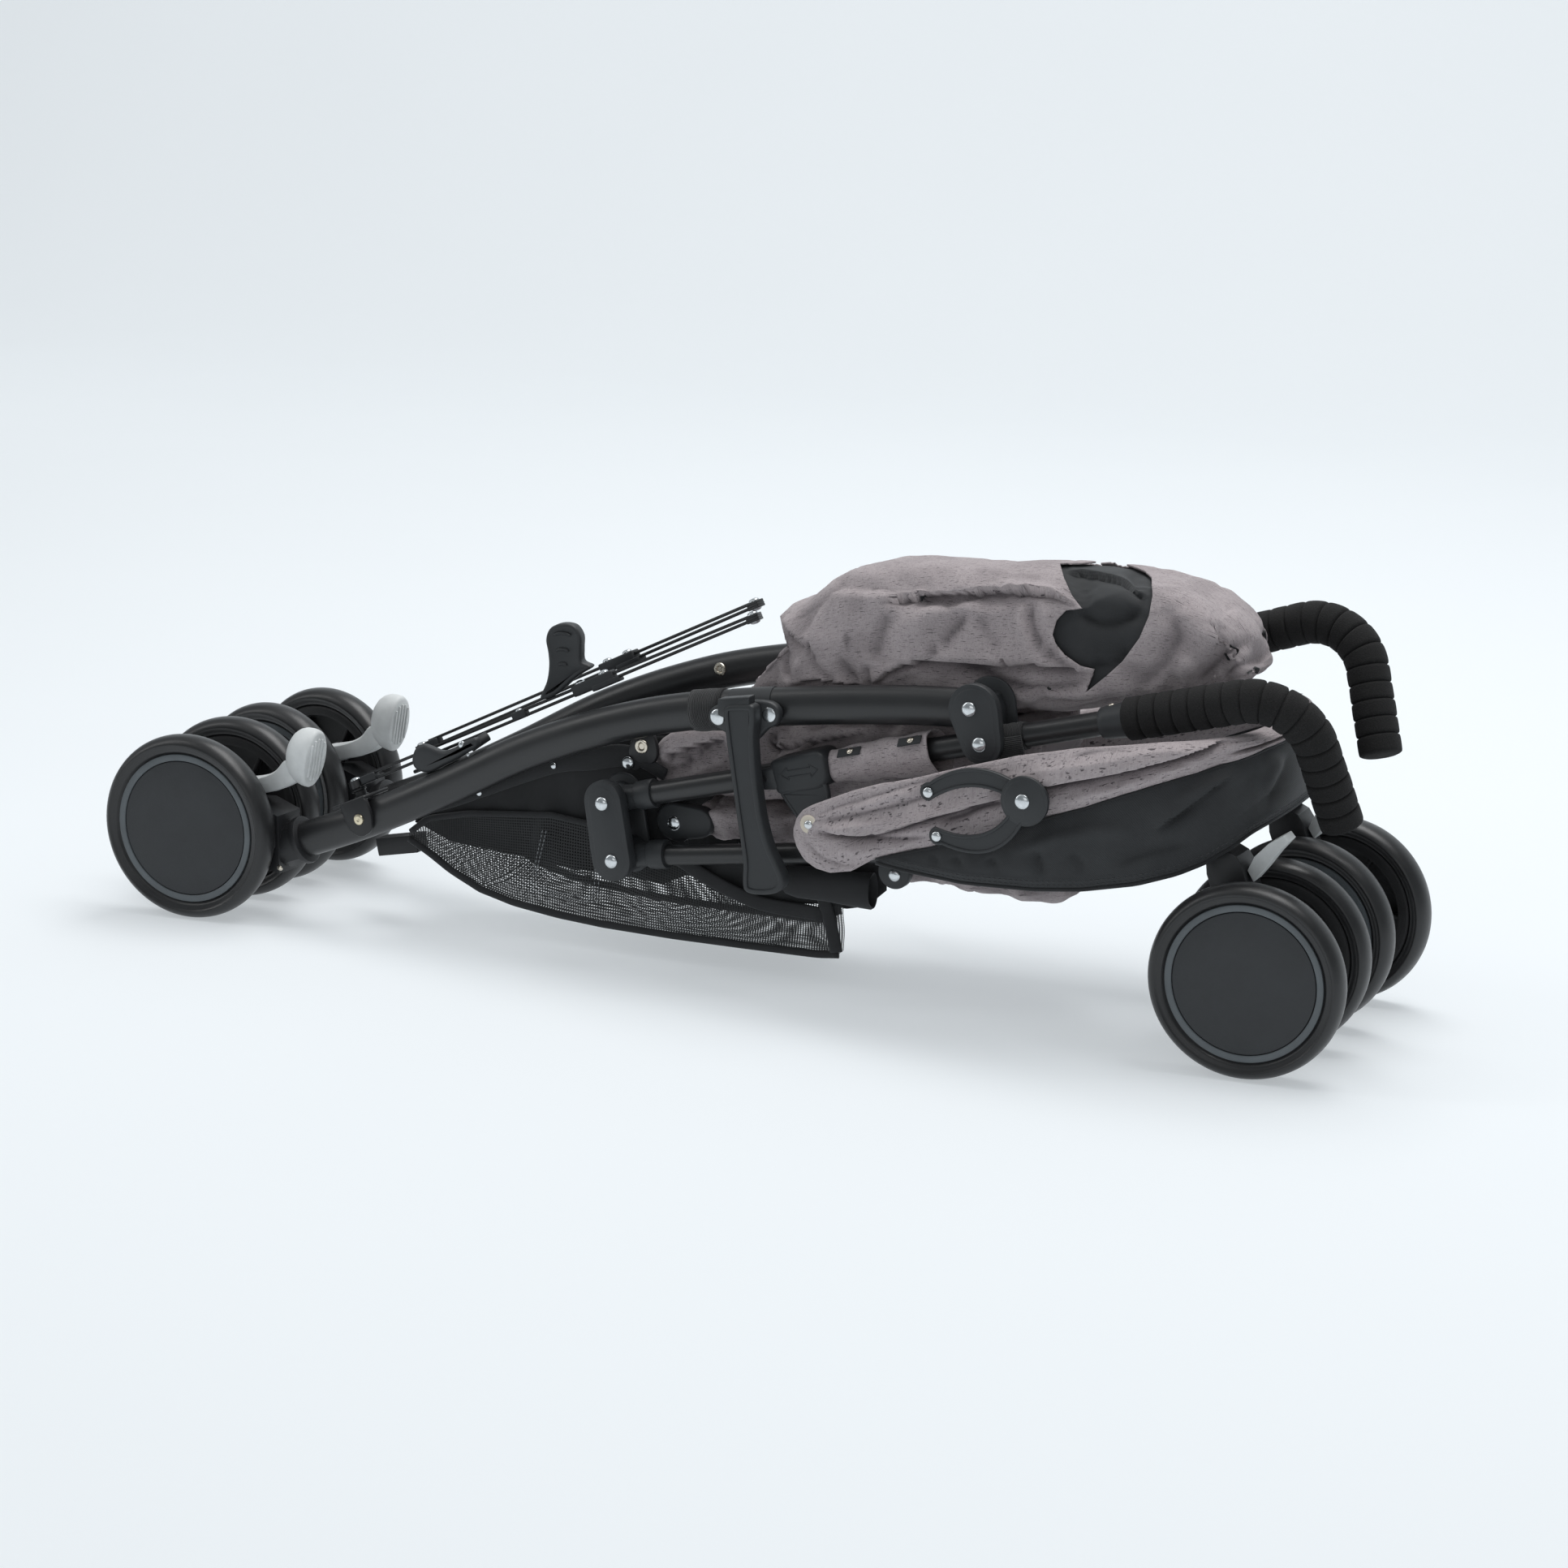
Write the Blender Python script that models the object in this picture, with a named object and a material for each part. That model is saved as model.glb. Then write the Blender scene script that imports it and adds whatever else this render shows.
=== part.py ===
"""Folded umbrella stroller, lying on its eight wheels with the back of the seat up.

All lengths below are millimetres in the part's own frame: X runs from the rear
wheels to the handles, Y from the near side to the far side, Z up from the floor.
The near side has negative Y. Every builder draws the near side, and a matrix puts
the same drawing on the far side.
"""

import math

import bmesh
import bpy
from mathutils import Matrix, Vector

MM = 0.001
GAP = 0.3

# Overall layout, measured from the rear axle.
REAR_AXLE_X = -424.8
SIDE_Y = -63.0
REAR_WHEEL_RADIUS = 73.0
FRONT_WHEEL_RADIUS = 67.0
REAR_AXLE = Vector((-2.0, SIDE_Y, REAR_WHEEL_RADIUS))
FRONT_AXLE = Vector((863.0, -66.0, FRONT_WHEEL_RADIUS))
REAR_TOE = 5.0
FRONT_TOE = 4.0
WHEEL_SPACING = 70.0
FRONT_SPACING = 71.0
WHEEL_WIDTH = 24.0
WHEEL_SIDES = 20

# A wheel's outline is flat between corners, and its flats lie at the true radius.
CORNER = 1.0 / math.cos(math.pi / WHEEL_SIDES)

# Joints of one side.
UPPER_PIVOT = Vector((649.0, SIDE_Y, 223.0))
LOWER_FIXED = Vector((364.0, SIDE_Y, 127.0))
LOWER_PIVOT = Vector((373.0, SIDE_Y, 86.0))
UPPER_FIXED = Vector((657.0, SIDE_Y, 200.0))
CANOPY_PIVOT = Vector((543.0, -105.0, 137.0))
FAR_HANDLE_TILT = 3.5

# Tubes.
LEG_HEIGHT = 28.0
LEG_WIDTH = 22.0
HANDLE_RADIUS = 8.5
FRONT_TUBE_RADIUS = 7.5
BORE_RADIUS = 8.85
AXLE_RADIUS = 4.0
AXLE_BORE = 4.3
PIN_RADIUS = 4.0
PIN_BORE = 4.3

# Foam grip: straight run, bend and drop of the hook.
GRIP_START = 411.5
FAR_GRIP_SHIFT = 12.0
GRIP_STRAIGHT = 80.0
GRIP_BEND_RADIUS = 42.0
GRIP_BEND = math.radians(90.0)
GRIP_DROP = 59.0
GRIP_RADIUS = 15.0
GRIP_GROOVE_RADIUS = 13.4
GRIP_SEGMENTS = 17
GRIP_TURN = 18.0
TUBE_IN_GRIP = 60.0

# Rear brace.
BRACE_HINGE = Vector((126.0, -50.0, 109.0))
BRACE_SLOPE = math.radians(25.0)
RELEASE_SHARE = 0.54
CATCH_X = 65.0
BRACE_LENGTH = 362.0
BRACE_LIFT_FAR = 8.8

# Soft parts keep inside this half width, so the legs can pass them.
SOFT_HALF_WIDTH = 47.5

PAINT = (0.022, 0.023, 0.025)


def clear_scene():
    for old in list(bpy.data.objects):
        bpy.data.objects.remove(old, do_unlink=True)


def material(name, color, roughness, metallic=0.0):
    made = bpy.data.materials.new(name)
    made.use_nodes = True
    shader = made.node_tree.nodes["Principled BSDF"]
    shader.inputs["Base Color"].default_value = (*color, 1.0)
    shader.inputs["Roughness"].default_value = roughness
    shader.inputs["Metallic"].default_value = metallic
    return made


# Placement of the four drawing frames.


def leg_pitch_of_far_side():
    """Turn of the far rear leg that brings its top to the tilted far handle."""
    tilt = Matrix.Rotation(-math.radians(FAR_HANDLE_TILT), 3, "Y")
    raised = LOWER_PIVOT + tilt @ (UPPER_PIVOT - LOWER_PIVOT)
    reach = (UPPER_PIVOT - REAR_AXLE).length
    near_angle = math.asin((UPPER_PIVOT.z - REAR_AXLE.z) / reach)
    far_angle = math.asin((raised.z - REAR_AXLE.z) / reach)
    slip = raised.x - REAR_AXLE.x - reach * math.cos(far_angle)
    return far_angle - near_angle, slip


MIRROR = Matrix.Scale(-1.0, 4, (0.0, 1.0, 0.0))
LEG_PITCH, LEG_SLIP = leg_pitch_of_far_side()


def about(point, turn):
    return Matrix.Translation(point) @ turn @ Matrix.Translation(-point)


def side_matrix(side, group):
    """Matrix from the near side's drawing to the place of one group of one side."""
    if side == "near":
        return Matrix.Identity(4)
    if group == "handle":
        turn = Matrix.Rotation(-math.radians(FAR_HANDLE_TILT), 4, "Y")
        return MIRROR @ about(LOWER_PIVOT, turn)
    if group == "rear_wheels":
        return MIRROR @ Matrix.Translation((LEG_SLIP, 0.0, 0.0))
    if group == "leg":
        turn = Matrix.Rotation(-LEG_PITCH, 4, "Y")
        return MIRROR @ Matrix.Translation((LEG_SLIP, 0.0, 0.0)) @ about(REAR_AXLE, turn)
    return MIRROR


# Mesh helpers. Each returns a bmesh in millimetres.


def ring_of(bm, points):
    return [bm.verts.new(point) for point in points]


def bridge(bm, first, second):
    count = len(first)
    for i in range(count):
        j = (i + 1) % count
        bm.faces.new((first[i], first[j], second[j], second[i]))


def outward(bm):
    bmesh.ops.recalc_face_normals(bm, faces=bm.faces)
    return bm


def prism(outline, y_low, y_high):
    """Flat plate: an outline of (x, z) points, filled from y_low to y_high."""
    bm = bmesh.new()
    low = ring_of(bm, [(x, y_low, z) for x, z in outline])
    high = ring_of(bm, [(x, y_high, z) for x, z in outline])
    bm.faces.new(low)
    bm.faces.new(high)
    bridge(bm, low, high)
    return outward(bm)


def turned(profile, sides, matrix):
    """Solid of revolution about local Z. The profile is (radius, height) points."""
    bm = bmesh.new()
    closed = profile[0][0] > 0.0
    rings = []
    for radius, height in profile:
        if radius == 0.0:
            rings.append([bm.verts.new((0.0, 0.0, height))])
            continue
        steps = [2.0 * math.pi * (i + 0.5) / sides for i in range(sides)]
        rings.append(ring_of(bm, [(radius * math.cos(a), radius * math.sin(a), height) for a in steps]))
    pairs = list(zip(rings, rings[1:]))
    if closed:
        pairs.append((rings[-1], rings[0]))
    for first, second in pairs:
        if len(first) == 1 or len(second) == 1:
            tip, rim = (first[0], second) if len(first) == 1 else (second[0], first)
            for i in range(sides):
                bm.faces.new((tip, rim[i], rim[(i + 1) % sides]))
        else:
            bridge(bm, first, second)
    bm.transform(matrix)
    return outward(bm)


def swept(centres, sections):
    """Tube through centres. Each section is a list of offsets round its centre."""
    bm = bmesh.new()
    rings = [
        ring_of(bm, [centre + offset for offset in section])
        for centre, section in zip(centres, sections)
    ]
    for first, second in zip(rings, rings[1:]):
        bridge(bm, first, second)
    bm.faces.new(rings[0])
    bm.faces.new(rings[-1])
    return outward(bm)


def cylinder(start, end, radius, sides=12):
    along = (end - start).normalized()
    across = along.cross(Vector((0.0, 1.0, 0.0)))
    if across.length < 0.1:
        across = Vector((1.0, 0.0, 0.0))
    across.normalize()
    up = along.cross(across)
    steps = [2.0 * math.pi * (i + 0.5) / sides for i in range(sides)]
    section = [(across * math.cos(a) + up * math.sin(a)) * radius for a in steps]
    return swept([start, end], [section, section])


def block(centre, size, matrix=None):
    bm = bmesh.new()
    bmesh.ops.create_cube(bm, size=1.0)
    bmesh.ops.scale(bm, vec=size, verts=bm.verts)
    if matrix is not None:
        bm.transform(matrix)
    bmesh.ops.translate(bm, vec=centre, verts=bm.verts)
    return outward(bm)


def arc(centre, radius, start, end, count):
    """Points of an arc in the XZ plane, angles in degrees."""
    points = []
    for i in range(count):
        angle = math.radians(start + (end - start) * i / (count - 1))
        points.append((centre[0] + radius * math.cos(angle), centre[1] + radius * math.sin(angle)))
    return points


def stadium(first, second, r_first, r_second, count=7):
    """Outline round two circles, given as (x, z) centres."""
    dx, dz = second[0] - first[0], second[1] - first[1]
    heading = math.degrees(math.atan2(dz, dx))
    lean = math.degrees(math.asin((r_first - r_second) / math.hypot(dx, dz)))
    head = arc(second, r_second, heading - 90.0 + lean, heading + 90.0 - lean, count)
    tail = arc(first, r_first, heading + 90.0 - lean, heading + 270.0 + lean, count)
    return head + tail


# Objects.


def tool(name, bm):
    mesh = bpy.data.meshes.new(name)
    bm.to_mesh(mesh)
    bm.free()
    made = bpy.data.objects.new(name, mesh)
    bpy.context.scene.collection.objects.link(made)
    return made


def shape(name, base, joined=(), cut=()):
    """One solid in millimetres: base, with other solids joined on and cut away."""
    made = tool(name, base)
    helpers = []
    for operation, solids in (("UNION", joined), ("DIFFERENCE", cut)):
        for solid in solids:
            helper = tool(name + "_helper", solid)
            helpers.append(helper)
            step = made.modifiers.new("step", "BOOLEAN")
            step.operation = operation
            step.object = helper
    bpy.context.view_layer.update()
    graph = bpy.context.evaluated_depsgraph_get()
    result = bpy.data.meshes.new_from_object(made.evaluated_get(graph))
    made.modifiers.clear()
    made.data = result
    for helper in helpers:
        bpy.data.objects.remove(helper, do_unlink=True)
    return made


def place(made, finish, origin, matrix, smooth_angle=35.0):
    """Moves a finished solid from drawing millimetres to its place in metres."""
    origin = matrix @ Vector(origin)
    made.data.transform(Matrix.Translation(-origin) @ matrix)
    if matrix.determinant() < 0.0:
        made.data.flip_normals()
    made.data.transform(Matrix.Scale(MM, 4))
    made.location = (origin + Vector((REAR_AXLE_X, 0.0, 0.0))) * MM
    made.data.materials.clear()
    made.data.materials.append(finish)
    made.data.shade_smooth()
    made.data.set_sharp_from_angle(angle=math.radians(smooth_angle))
    return made


# Frame directions.

HANDLE_ALONG = (UPPER_FIXED - LOWER_FIXED).normalized()
HANDLE_DOWN = Vector((HANDLE_ALONG.z, 0.0, -HANDLE_ALONG.x))
ACROSS = Vector((0.0, 1.0, 0.0))


def handle_point(along, down=0.0, y=SIDE_Y):
    """Point beside the handle tube's axis, measured from its lower rivet."""
    point = LOWER_FIXED + HANDLE_ALONG * along + HANDLE_DOWN * down
    return Vector((point.x, y, point.z))


# Wheels.


def wheel_matrix(axle, toe, spacing, place_in_pair):
    """Local +Z points out of the pair, place_in_pair is +1 outside, -1 inside."""
    angle = math.radians(toe)
    out = Vector((math.sin(angle), -math.cos(angle), 0.0))
    centre = axle + out * (0.5 * spacing * place_in_pair)
    face = out * place_in_pair
    up = Vector((0.0, 0.0, 1.0))
    side = up.cross(face)
    turn = Matrix((side, up, face)).transposed().to_4x4()
    return Matrix.Translation(centre) @ turn


def tyre_solid(radius, matrix):
    seat = radius - 16.3
    half = 0.5 * WHEEL_WIDTH
    profile = [
        (seat, -half + 2.5),
        (radius - 10.0, -half),
        (radius - 3.0, -half + 3.5),
        (radius, -3.0),
        (radius, 3.0),
        (radius - 3.0, half - 3.5),
        (radius - 10.0, half),
        (seat, half - 2.5),
    ]
    return turned([(r * CORNER, h) for r, h in profile], WHEEL_SIDES, matrix)


def hub_solid(radius, matrix):
    rim = radius - 16.3 - GAP
    half = 0.5 * WHEEL_WIDTH
    disc = rim - 6.0
    profile = [
        (0.0, half - 3.0),
        (disc * CORNER, half - 3.0),
        (rim * CORNER, half - 4.2),
        (rim * CORNER, -half + 3.0),
        ((rim - 8.0) * CORNER, -half + 3.0),
        ((rim - 10.0) * CORNER, half - 8.0),
        (9.0, half - 8.0),
        (9.0, -half),
        (AXLE_BORE, -half),
        (AXLE_BORE, half - 8.0),
        (0.0, half - 8.0),
    ]
    return turned(profile, WHEEL_SIDES, matrix)


def wheels(axle_name, axle, radius, toe, spacing, finishes, side):
    matrix = side_matrix(side, "rear_wheels" if axle_name == "rear" else "front")
    for label, place_in_pair in (("outer", 1.0), ("inner", -1.0)):
        local = wheel_matrix(axle, toe, spacing, place_in_pair)
        centre = local.translation
        tyre = shape(f"{axle_name}_tyre_{side}_{label}", tyre_solid(radius, local))
        hub = shape(f"{axle_name}_hub_{side}_{label}", hub_solid(radius, local))
        place(tyre, finishes["tyre"], centre, matrix)
        place(hub, finishes["hub"], centre, matrix)


def axle_pin(axle, toe, spacing):
    """Steel pin of one pair of wheels. It ends inside the hub caps."""
    angle = math.radians(toe)
    out = Vector((math.sin(angle), -math.cos(angle), 0.0))
    reach = 0.5 * spacing + 3.0
    return cylinder(axle - out * reach, axle + out * reach, AXLE_RADIUS, 10)


# Rear leg, its axle housing, brake and brackets.

LEG_CENTRES = [
    (72.0, 59.0),
    (142.0, 86.0),
    (216.0, 120.0),
    (289.0, 156.0),
    (359.0, 182.0),
    (426.0, 199.0),
    (525.0, 213.0),
    (600.0, 220.5),
    (649.0, 223.0),
]


def leg_section(along, height, width, sides=12):
    """Oval section square to the leg, flatter across the buggy than it is tall."""
    up = ACROSS.cross(along).normalized()
    if up.z < 0.0:
        up = -up
    section = []
    for i in range(sides):
        angle = 2.0 * math.pi * (i + 0.5) / sides
        section.append(up * (0.5 * height * math.sin(angle)) + ACROSS * (0.5 * width * math.cos(angle)))
    return section


def leg_path():
    points = [Vector((x, SIDE_Y, z)) for x, z in LEG_CENTRES]
    sections = []
    for i, point in enumerate(points):
        before = points[max(i - 1, 0)]
        after = points[min(i + 1, len(points) - 1)]
        along = (after - before).normalized()
        sections.append(leg_section(along, LEG_HEIGHT, LEG_WIDTH))
    return points, sections


def leg_frame(x, z):
    """Local frame on the lower leg: X along the tube, Z square to it."""
    first, second = Vector((72.0, 0.0, 59.0)), Vector((216.0, 0.0, 120.0))
    along = (second - first).normalized()
    up = Vector((-along.z, 0.0, along.x))
    turn = Matrix((along, ACROSS, up)).transposed().to_4x4()
    return Matrix.Translation((x, SIDE_Y, z)) @ turn


def rear_leg(side, finish):
    points, sections = leg_path()
    tube = swept(points, sections)
    half = 0.5 * LEG_WIDTH
    eye = cylinder(UPPER_PIVOT - ACROSS * half, UPPER_PIVOT + ACROSS * half, 0.5 * LEG_HEIGHT, 14)
    bore = cylinder(UPPER_PIVOT - ACROSS * 20.0, UPPER_PIVOT + ACROSS * 20.0, PIN_BORE, 10)
    made = shape(f"rear_leg_{side}", tube, joined=[eye], cut=[bore])
    place(made, finish, UPPER_PIVOT, side_matrix(side, "leg"))


def axle_housing(side, finish):
    axle = (REAR_AXLE.x, REAR_AXLE.z)
    outline = arc(axle, 15.0, 95.0, 265.0, 7) + [(40.0, 44.0), (70.0, 38.0), (70.0, 84.0), (48.0, 92.0)]
    body = prism(outline, SIDE_Y - 15.0, SIDE_Y + 15.0)
    along = Vector((70.0, 0.0, 27.0)).normalized()
    start = Vector((67.0, SIDE_Y, 57.0))
    end = start + along * 20.0
    collar = swept([start, end], [leg_section(along, LEG_HEIGHT + 7.0, LEG_WIDTH + 7.0)] * 2)
    root = start - along * 12.0
    socket_start = Vector((72.0, SIDE_Y, 59.0)) - along * GAP
    hollow = leg_section(along, LEG_HEIGHT + 1.2, LEG_WIDTH + 1.2)
    socket = swept([socket_start, end + along * 10.0], [hollow, hollow])
    filler = swept([root, start], [leg_section(along, LEG_HEIGHT, LEG_WIDTH)] * 2)
    ear_outline = arc((26.0, 98.0), 9.0, 20.0, 200.0, 6) + [(17.0, 84.0), (36.0, 84.0)]
    ear_near = prism(ear_outline, SIDE_Y - 14.5, SIDE_Y - 9.5)
    ear_far = prism(ear_outline, SIDE_Y + 9.5, SIDE_Y + 14.5)
    pin = axle_pin(REAR_AXLE, REAR_TOE, WHEEL_SPACING)
    joined = [filler, collar, ear_near, ear_far, pin]
    made = shape(f"axle_housing_{side}", body, joined=joined, cut=[socket])
    place(made, finish, REAR_AXLE, side_matrix(side, "leg"))


PEDAL_PIVOT = Vector((26.0, SIDE_Y, 98.0))


def brake_pedal(side, finish):
    """Arm from the housing's ears, with a rounded foot pad at its end."""
    arm_outline = arc((26.0, 98.0), 6.5, 100.0, 250.0, 5) + [(74.0, 108.0), (84.0, 118.0), (72.0, 124.0)]
    arm = prism(arm_outline, SIDE_Y - 8.0, SIDE_Y + 8.0)
    lean = Matrix.Rotation(math.radians(12.0), 4, "Y")
    pad = bmesh.new()
    bmesh.ops.create_uvsphere(pad, u_segments=12, v_segments=8, radius=1.0)
    bmesh.ops.scale(pad, vec=(15.5, 15.0, 25.0), verts=pad.verts)
    bmesh.ops.rotate(pad, cent=(0.0, 0.0, 0.0), matrix=lean.to_3x3(), verts=pad.verts)
    bmesh.ops.translate(pad, vec=(88.0, SIDE_Y, 131.0), verts=pad.verts)
    face = block((113.0, SIDE_Y, 128.0), (30.0, 60.0, 90.0), lean)
    made = shape(f"brake_pedal_{side}", arm, joined=[pad], cut=[face])
    place(made, finish, PEDAL_PIVOT, side_matrix(side, "leg"))


def brace_bracket(side, finish):
    """Saddle on the leg: a plate with a screw on the outside and a hinge post on top."""
    frame = leg_frame(146.0, 88.0)
    plate = block((0.0, -13.2, 5.0), (25.0, 3.0, 26.0))
    cap = block((-4.0, 2.3, 16.5), (33.0, 34.0, 3.0))
    lift, tall = 0.0, 9.5
    if side == "far":
        frame = MIRROR @ side_matrix(side, "leg") @ frame
        lift, tall = BRACE_LIFT_FAR, 13.0
    for solid in (plate, cap):
        solid.transform(frame)
    normal = brace_normal()
    top = BRACE_HINGE + normal * (lift - 2.8)
    post = cylinder(top - normal * tall, top, 6.0, 10)
    pin = cylinder(top - normal * 2.0, top + normal * 9.0, 2.2, 8)
    made = shape(f"brace_bracket_{side}", plate, joined=[cap, post, pin])
    place(made, finish, BRACE_HINGE, MIRROR if side == "far" else Matrix.Identity(4))


# Folding brace between the rear legs.


def brace_along():
    return Vector((math.cos(BRACE_SLOPE), 0.0, math.sin(BRACE_SLOPE)))


def brace_normal():
    return Vector((-math.sin(BRACE_SLOPE), 0.0, math.cos(BRACE_SLOPE)))


def brace_frame(lift):
    """Local frame of one bar: X along it in plan, Z square to the brace's plane."""
    tip = BRACE_HINGE + brace_along() * BRACE_LENGTH + ACROSS * 46.0
    along = (tip - BRACE_HINGE).normalized()
    side = brace_normal().cross(along)
    turn = Matrix((along, side, brace_normal())).transposed().to_4x4()
    return Matrix.Translation(BRACE_HINGE + brace_normal() * lift) @ turn


def brace_bar(side, finish):
    """Two flat strips one above the other, held apart by the end and clip blocks."""
    lift = 0.0 if side == "near" else BRACE_LIFT_FAR
    length = math.hypot(BRACE_LENGTH, 46.0)
    low = block((0.5 * length, 0.0, -0.7), (length, 5.0, 1.4))
    high = block((0.5 * length + 4.0, 0.0, 3.3), (length - 16.0, 5.0, 1.4))
    parts = []
    for x, size in ((length - 5.0, 10.0), (0.62 * length, 30.0), (0.42 * length, 12.0), (13.0, 14.0)):
        parts.append(block((x, 0.0, 1.3), (size, 9.0 if size > 11.0 else 8.0, 5.8)))
    eye = cylinder(Vector((0.0, 0.0, -1.8)), Vector((0.0, 0.0, 4.0)), 6.0, 10)
    neck = block((7.0, 0.0, 1.3), (12.0, 7.0, 5.6))
    bore = cylinder(Vector((0.0, 0.0, -9.0)), Vector((0.0, 0.0, 12.0)), 2.6, 8)
    made = shape(f"brace_bar_{side}", low, joined=[high, *parts, eye, neck], cut=[bore])
    made.data.transform(brace_frame(lift))
    place(made, finish, BRACE_HINGE, MIRROR if side == "far" else Matrix.Identity(4))


def release_pedal(finish):
    """Upright foot pedal that unlocks the fold, hinged on the near brace bar."""
    outline = [
        (-20.0, -9.0), (-15.0, 12.0), (-12.0, 26.0), (-14.0, 37.0), (-11.0, 46.0), (-2.0, 50.0),
        (8.0, 49.5), (13.5, 43.0), (12.5, 30.0), (15.0, 20.0), (21.0, 18.5), (21.0, 16.0), (0.0, 0.0),
    ]
    plate = prism(outline, -5.0, 5.0)
    plate.transform(release_frame())
    made = shape("release_pedal", plate)
    place(made, finish, release_frame().translation, Matrix.Identity(4))


def release_frame():
    length = math.hypot(BRACE_LENGTH, 46.0)
    frame = brace_frame(0.0)
    foot = frame @ Vector((RELEASE_SHARE * length, 0.0, 5.4))
    along = frame.to_3x3() @ Vector((1.0, 0.0, 0.0))
    return Matrix.Translation(foot) @ Matrix.Rotation(math.atan2(along.y, along.x), 4, "Z")


def foot_catch(finish):
    """Round paddle lying along the near bar, the second catch of the fold."""
    frame = brace_frame(0.0)
    paddle = cylinder(Vector((0.0, 0.0, -4.0)), Vector((0.0, 0.0, 4.0)), 10.0, 12)
    arm = block((22.0, 0.0, 0.0), (44.0, 8.0, 6.0))
    made = shape("foot_catch", paddle, joined=[arm])
    made.data.transform(frame @ Matrix.Translation((CATCH_X, -14.5, 1.6)))
    pivot = frame @ Vector((CATCH_X + 40.0, -14.5, 1.6))
    place(made, finish, pivot, Matrix.Identity(4))


# Side latch.

LATCH_PIVOT = Vector((482.0, -89.0, 204.0))


def latch_bracket(finish):
    """Plate wrapped on the near leg that carries the latch arm."""
    outline = [
        (462.0, 196.0), (470.0, 191.0), (500.0, 193.5), (514.0, 201.0),
        (516.0, 213.0), (508.0, 221.0), (470.0, 216.0), (461.0, 208.0),
    ]
    plate = prism(outline, -82.6, -74.4)
    made = shape("latch_bracket", plate)
    place(made, finish, (482.0, -77.0, 204.0), Matrix.Identity(4))


def latch_arm(finish):
    outline = [
        (470.0, 213.0), (495.0, 216.0), (494.0, 190.0), (497.0, 155.0), (505.0, 116.0),
        (517.0, 96.0), (518.0, 88.0), (512.0, 80.0), (490.0, 77.0), (484.0, 82.0),
        (486.0, 100.0), (480.0, 135.0), (473.0, 180.0),
    ]
    arm = prism(outline, -95.0, -83.0)
    made = shape("latch_arm", arm)
    place(made, finish, LATCH_PIVOT, Matrix.Identity(4))


# Handle side: tube, joints, clip, collar and grip.


def handle_tube(side, finish):
    """Straight tube with a lug at its lower rivet and a collar below the grip."""
    start = handle_point(20.0)
    end = handle_point(grip_start(side) + TUBE_IN_GRIP)
    tube = cylinder(start, end, HANDLE_RADIUS, 14)
    eye = cylinder(LOWER_FIXED - ACROSS * 9.5, LOWER_FIXED + ACROSS * 9.5, 11.5, 12)
    neck = cylinder(handle_point(4.0), handle_point(34.0), 10.5, 12)
    collar_start = grip_start(side) - 19.0
    turn = Matrix((ACROSS, -HANDLE_DOWN, HANDLE_ALONG)).transposed().to_4x4()
    base = Matrix.Translation(handle_point(collar_start)) @ turn
    profile = [(0.0, 0.0), (10.4, 0.0), (11.0, 2.0), (12.4, 19.0 - GAP), (0.0, 19.0 - GAP)]
    collar = turned(profile, 14, base)
    made = shape(f"handle_tube_{side}", tube, joined=[eye, neck, collar])
    place(made, finish, LOWER_FIXED, side_matrix(side, "handle"))


def pivot_pin(centre, y_low, y_high):
    """Shank of the rivet through a pivot, from plate to plate."""
    start = Vector((centre.x, y_low, centre.z))
    end = Vector((centre.x, y_high, centre.z))
    return cylinder(start, end, PIN_RADIUS, 10)


def upper_joint(side, finish):
    """Two teardrop plates and the web between them, clamped on the handle tube."""
    outline = stadium((657.0, 226.0), (664.0, 205.0), 18.5, 15.0, 9)
    outer = prism(outline, -82.5, -74.7)
    inner = prism(outline, -51.3, -48.4)
    web_outline = [
        (664.5, 206.0), (668.0, 192.0), (676.0, 198.0), (675.5, 226.0),
        (670.0, 236.0), (665.5, 236.0), (664.6, 214.0),
    ]
    web = prism(web_outline, -76.0, -50.0)
    bore = cylinder(handle_point(200.0), handle_point(420.0), BORE_RADIUS, 14)
    pin = pivot_pin(UPPER_PIVOT, -80.0, -50.0)
    made = shape(f"upper_joint_{side}", outer, joined=[inner, web, pin], cut=[bore])
    place(made, finish, UPPER_PIVOT, side_matrix(side, "handle"))


def lower_joint(side, finish):
    """Stadium plates at the front joint, tied by a spacer clear of both lugs."""
    outline = stadium((371.0, 85.0), (366.0, 131.0), 17.0, 17.0, 8)
    outer = prism(outline, -84.0, -73.3)
    inner = prism(outline, -52.7, -49.0)
    spacer = block((356.5, SIDE_Y, 106.0), (8.0, 24.0, 12.0))
    pin = pivot_pin(LOWER_PIVOT, -80.0, -50.0)
    made = shape(f"lower_joint_{side}", outer, joined=[inner, spacer, pin])
    place(made, finish, LOWER_PIVOT, side_matrix(side, "handle"))


def canopy_clip(side, finish):
    """Clip on the handle tube. The near one's tongue carries the canopy's pivot."""
    middle = 164.0
    origin = handle_point(middle)
    turn = Matrix((HANDLE_ALONG, ACROSS, -HANDLE_DOWN)).transposed().to_4x4()
    frame = Matrix.Translation(origin) @ turn
    body = block((-2.0, -3.5, 0.0), (38.0, 26.0, 25.0))
    tab = block((-26.0, -14.0, 0.0), (12.0, 5.0, 15.0))
    tongue = prism([(-14.0, -8.0), (16.0, -8.0), (17.0, -26.0), (13.0, -38.0), (2.0, -38.0), (-8.0, -20.0)],
                   -16.5, -11.5)
    bore = cylinder(Vector((-40.0, 0.0, 0.0)), Vector((40.0, 0.0, 0.0)), BORE_RADIUS, 14)
    joined = [tab, tongue] if side == "near" else [tab]
    made = shape(f"canopy_clip_{side}", body, joined=joined, cut=[bore])
    made.data.transform(frame)
    place(made, finish, origin, side_matrix(side, "handle"))


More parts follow.
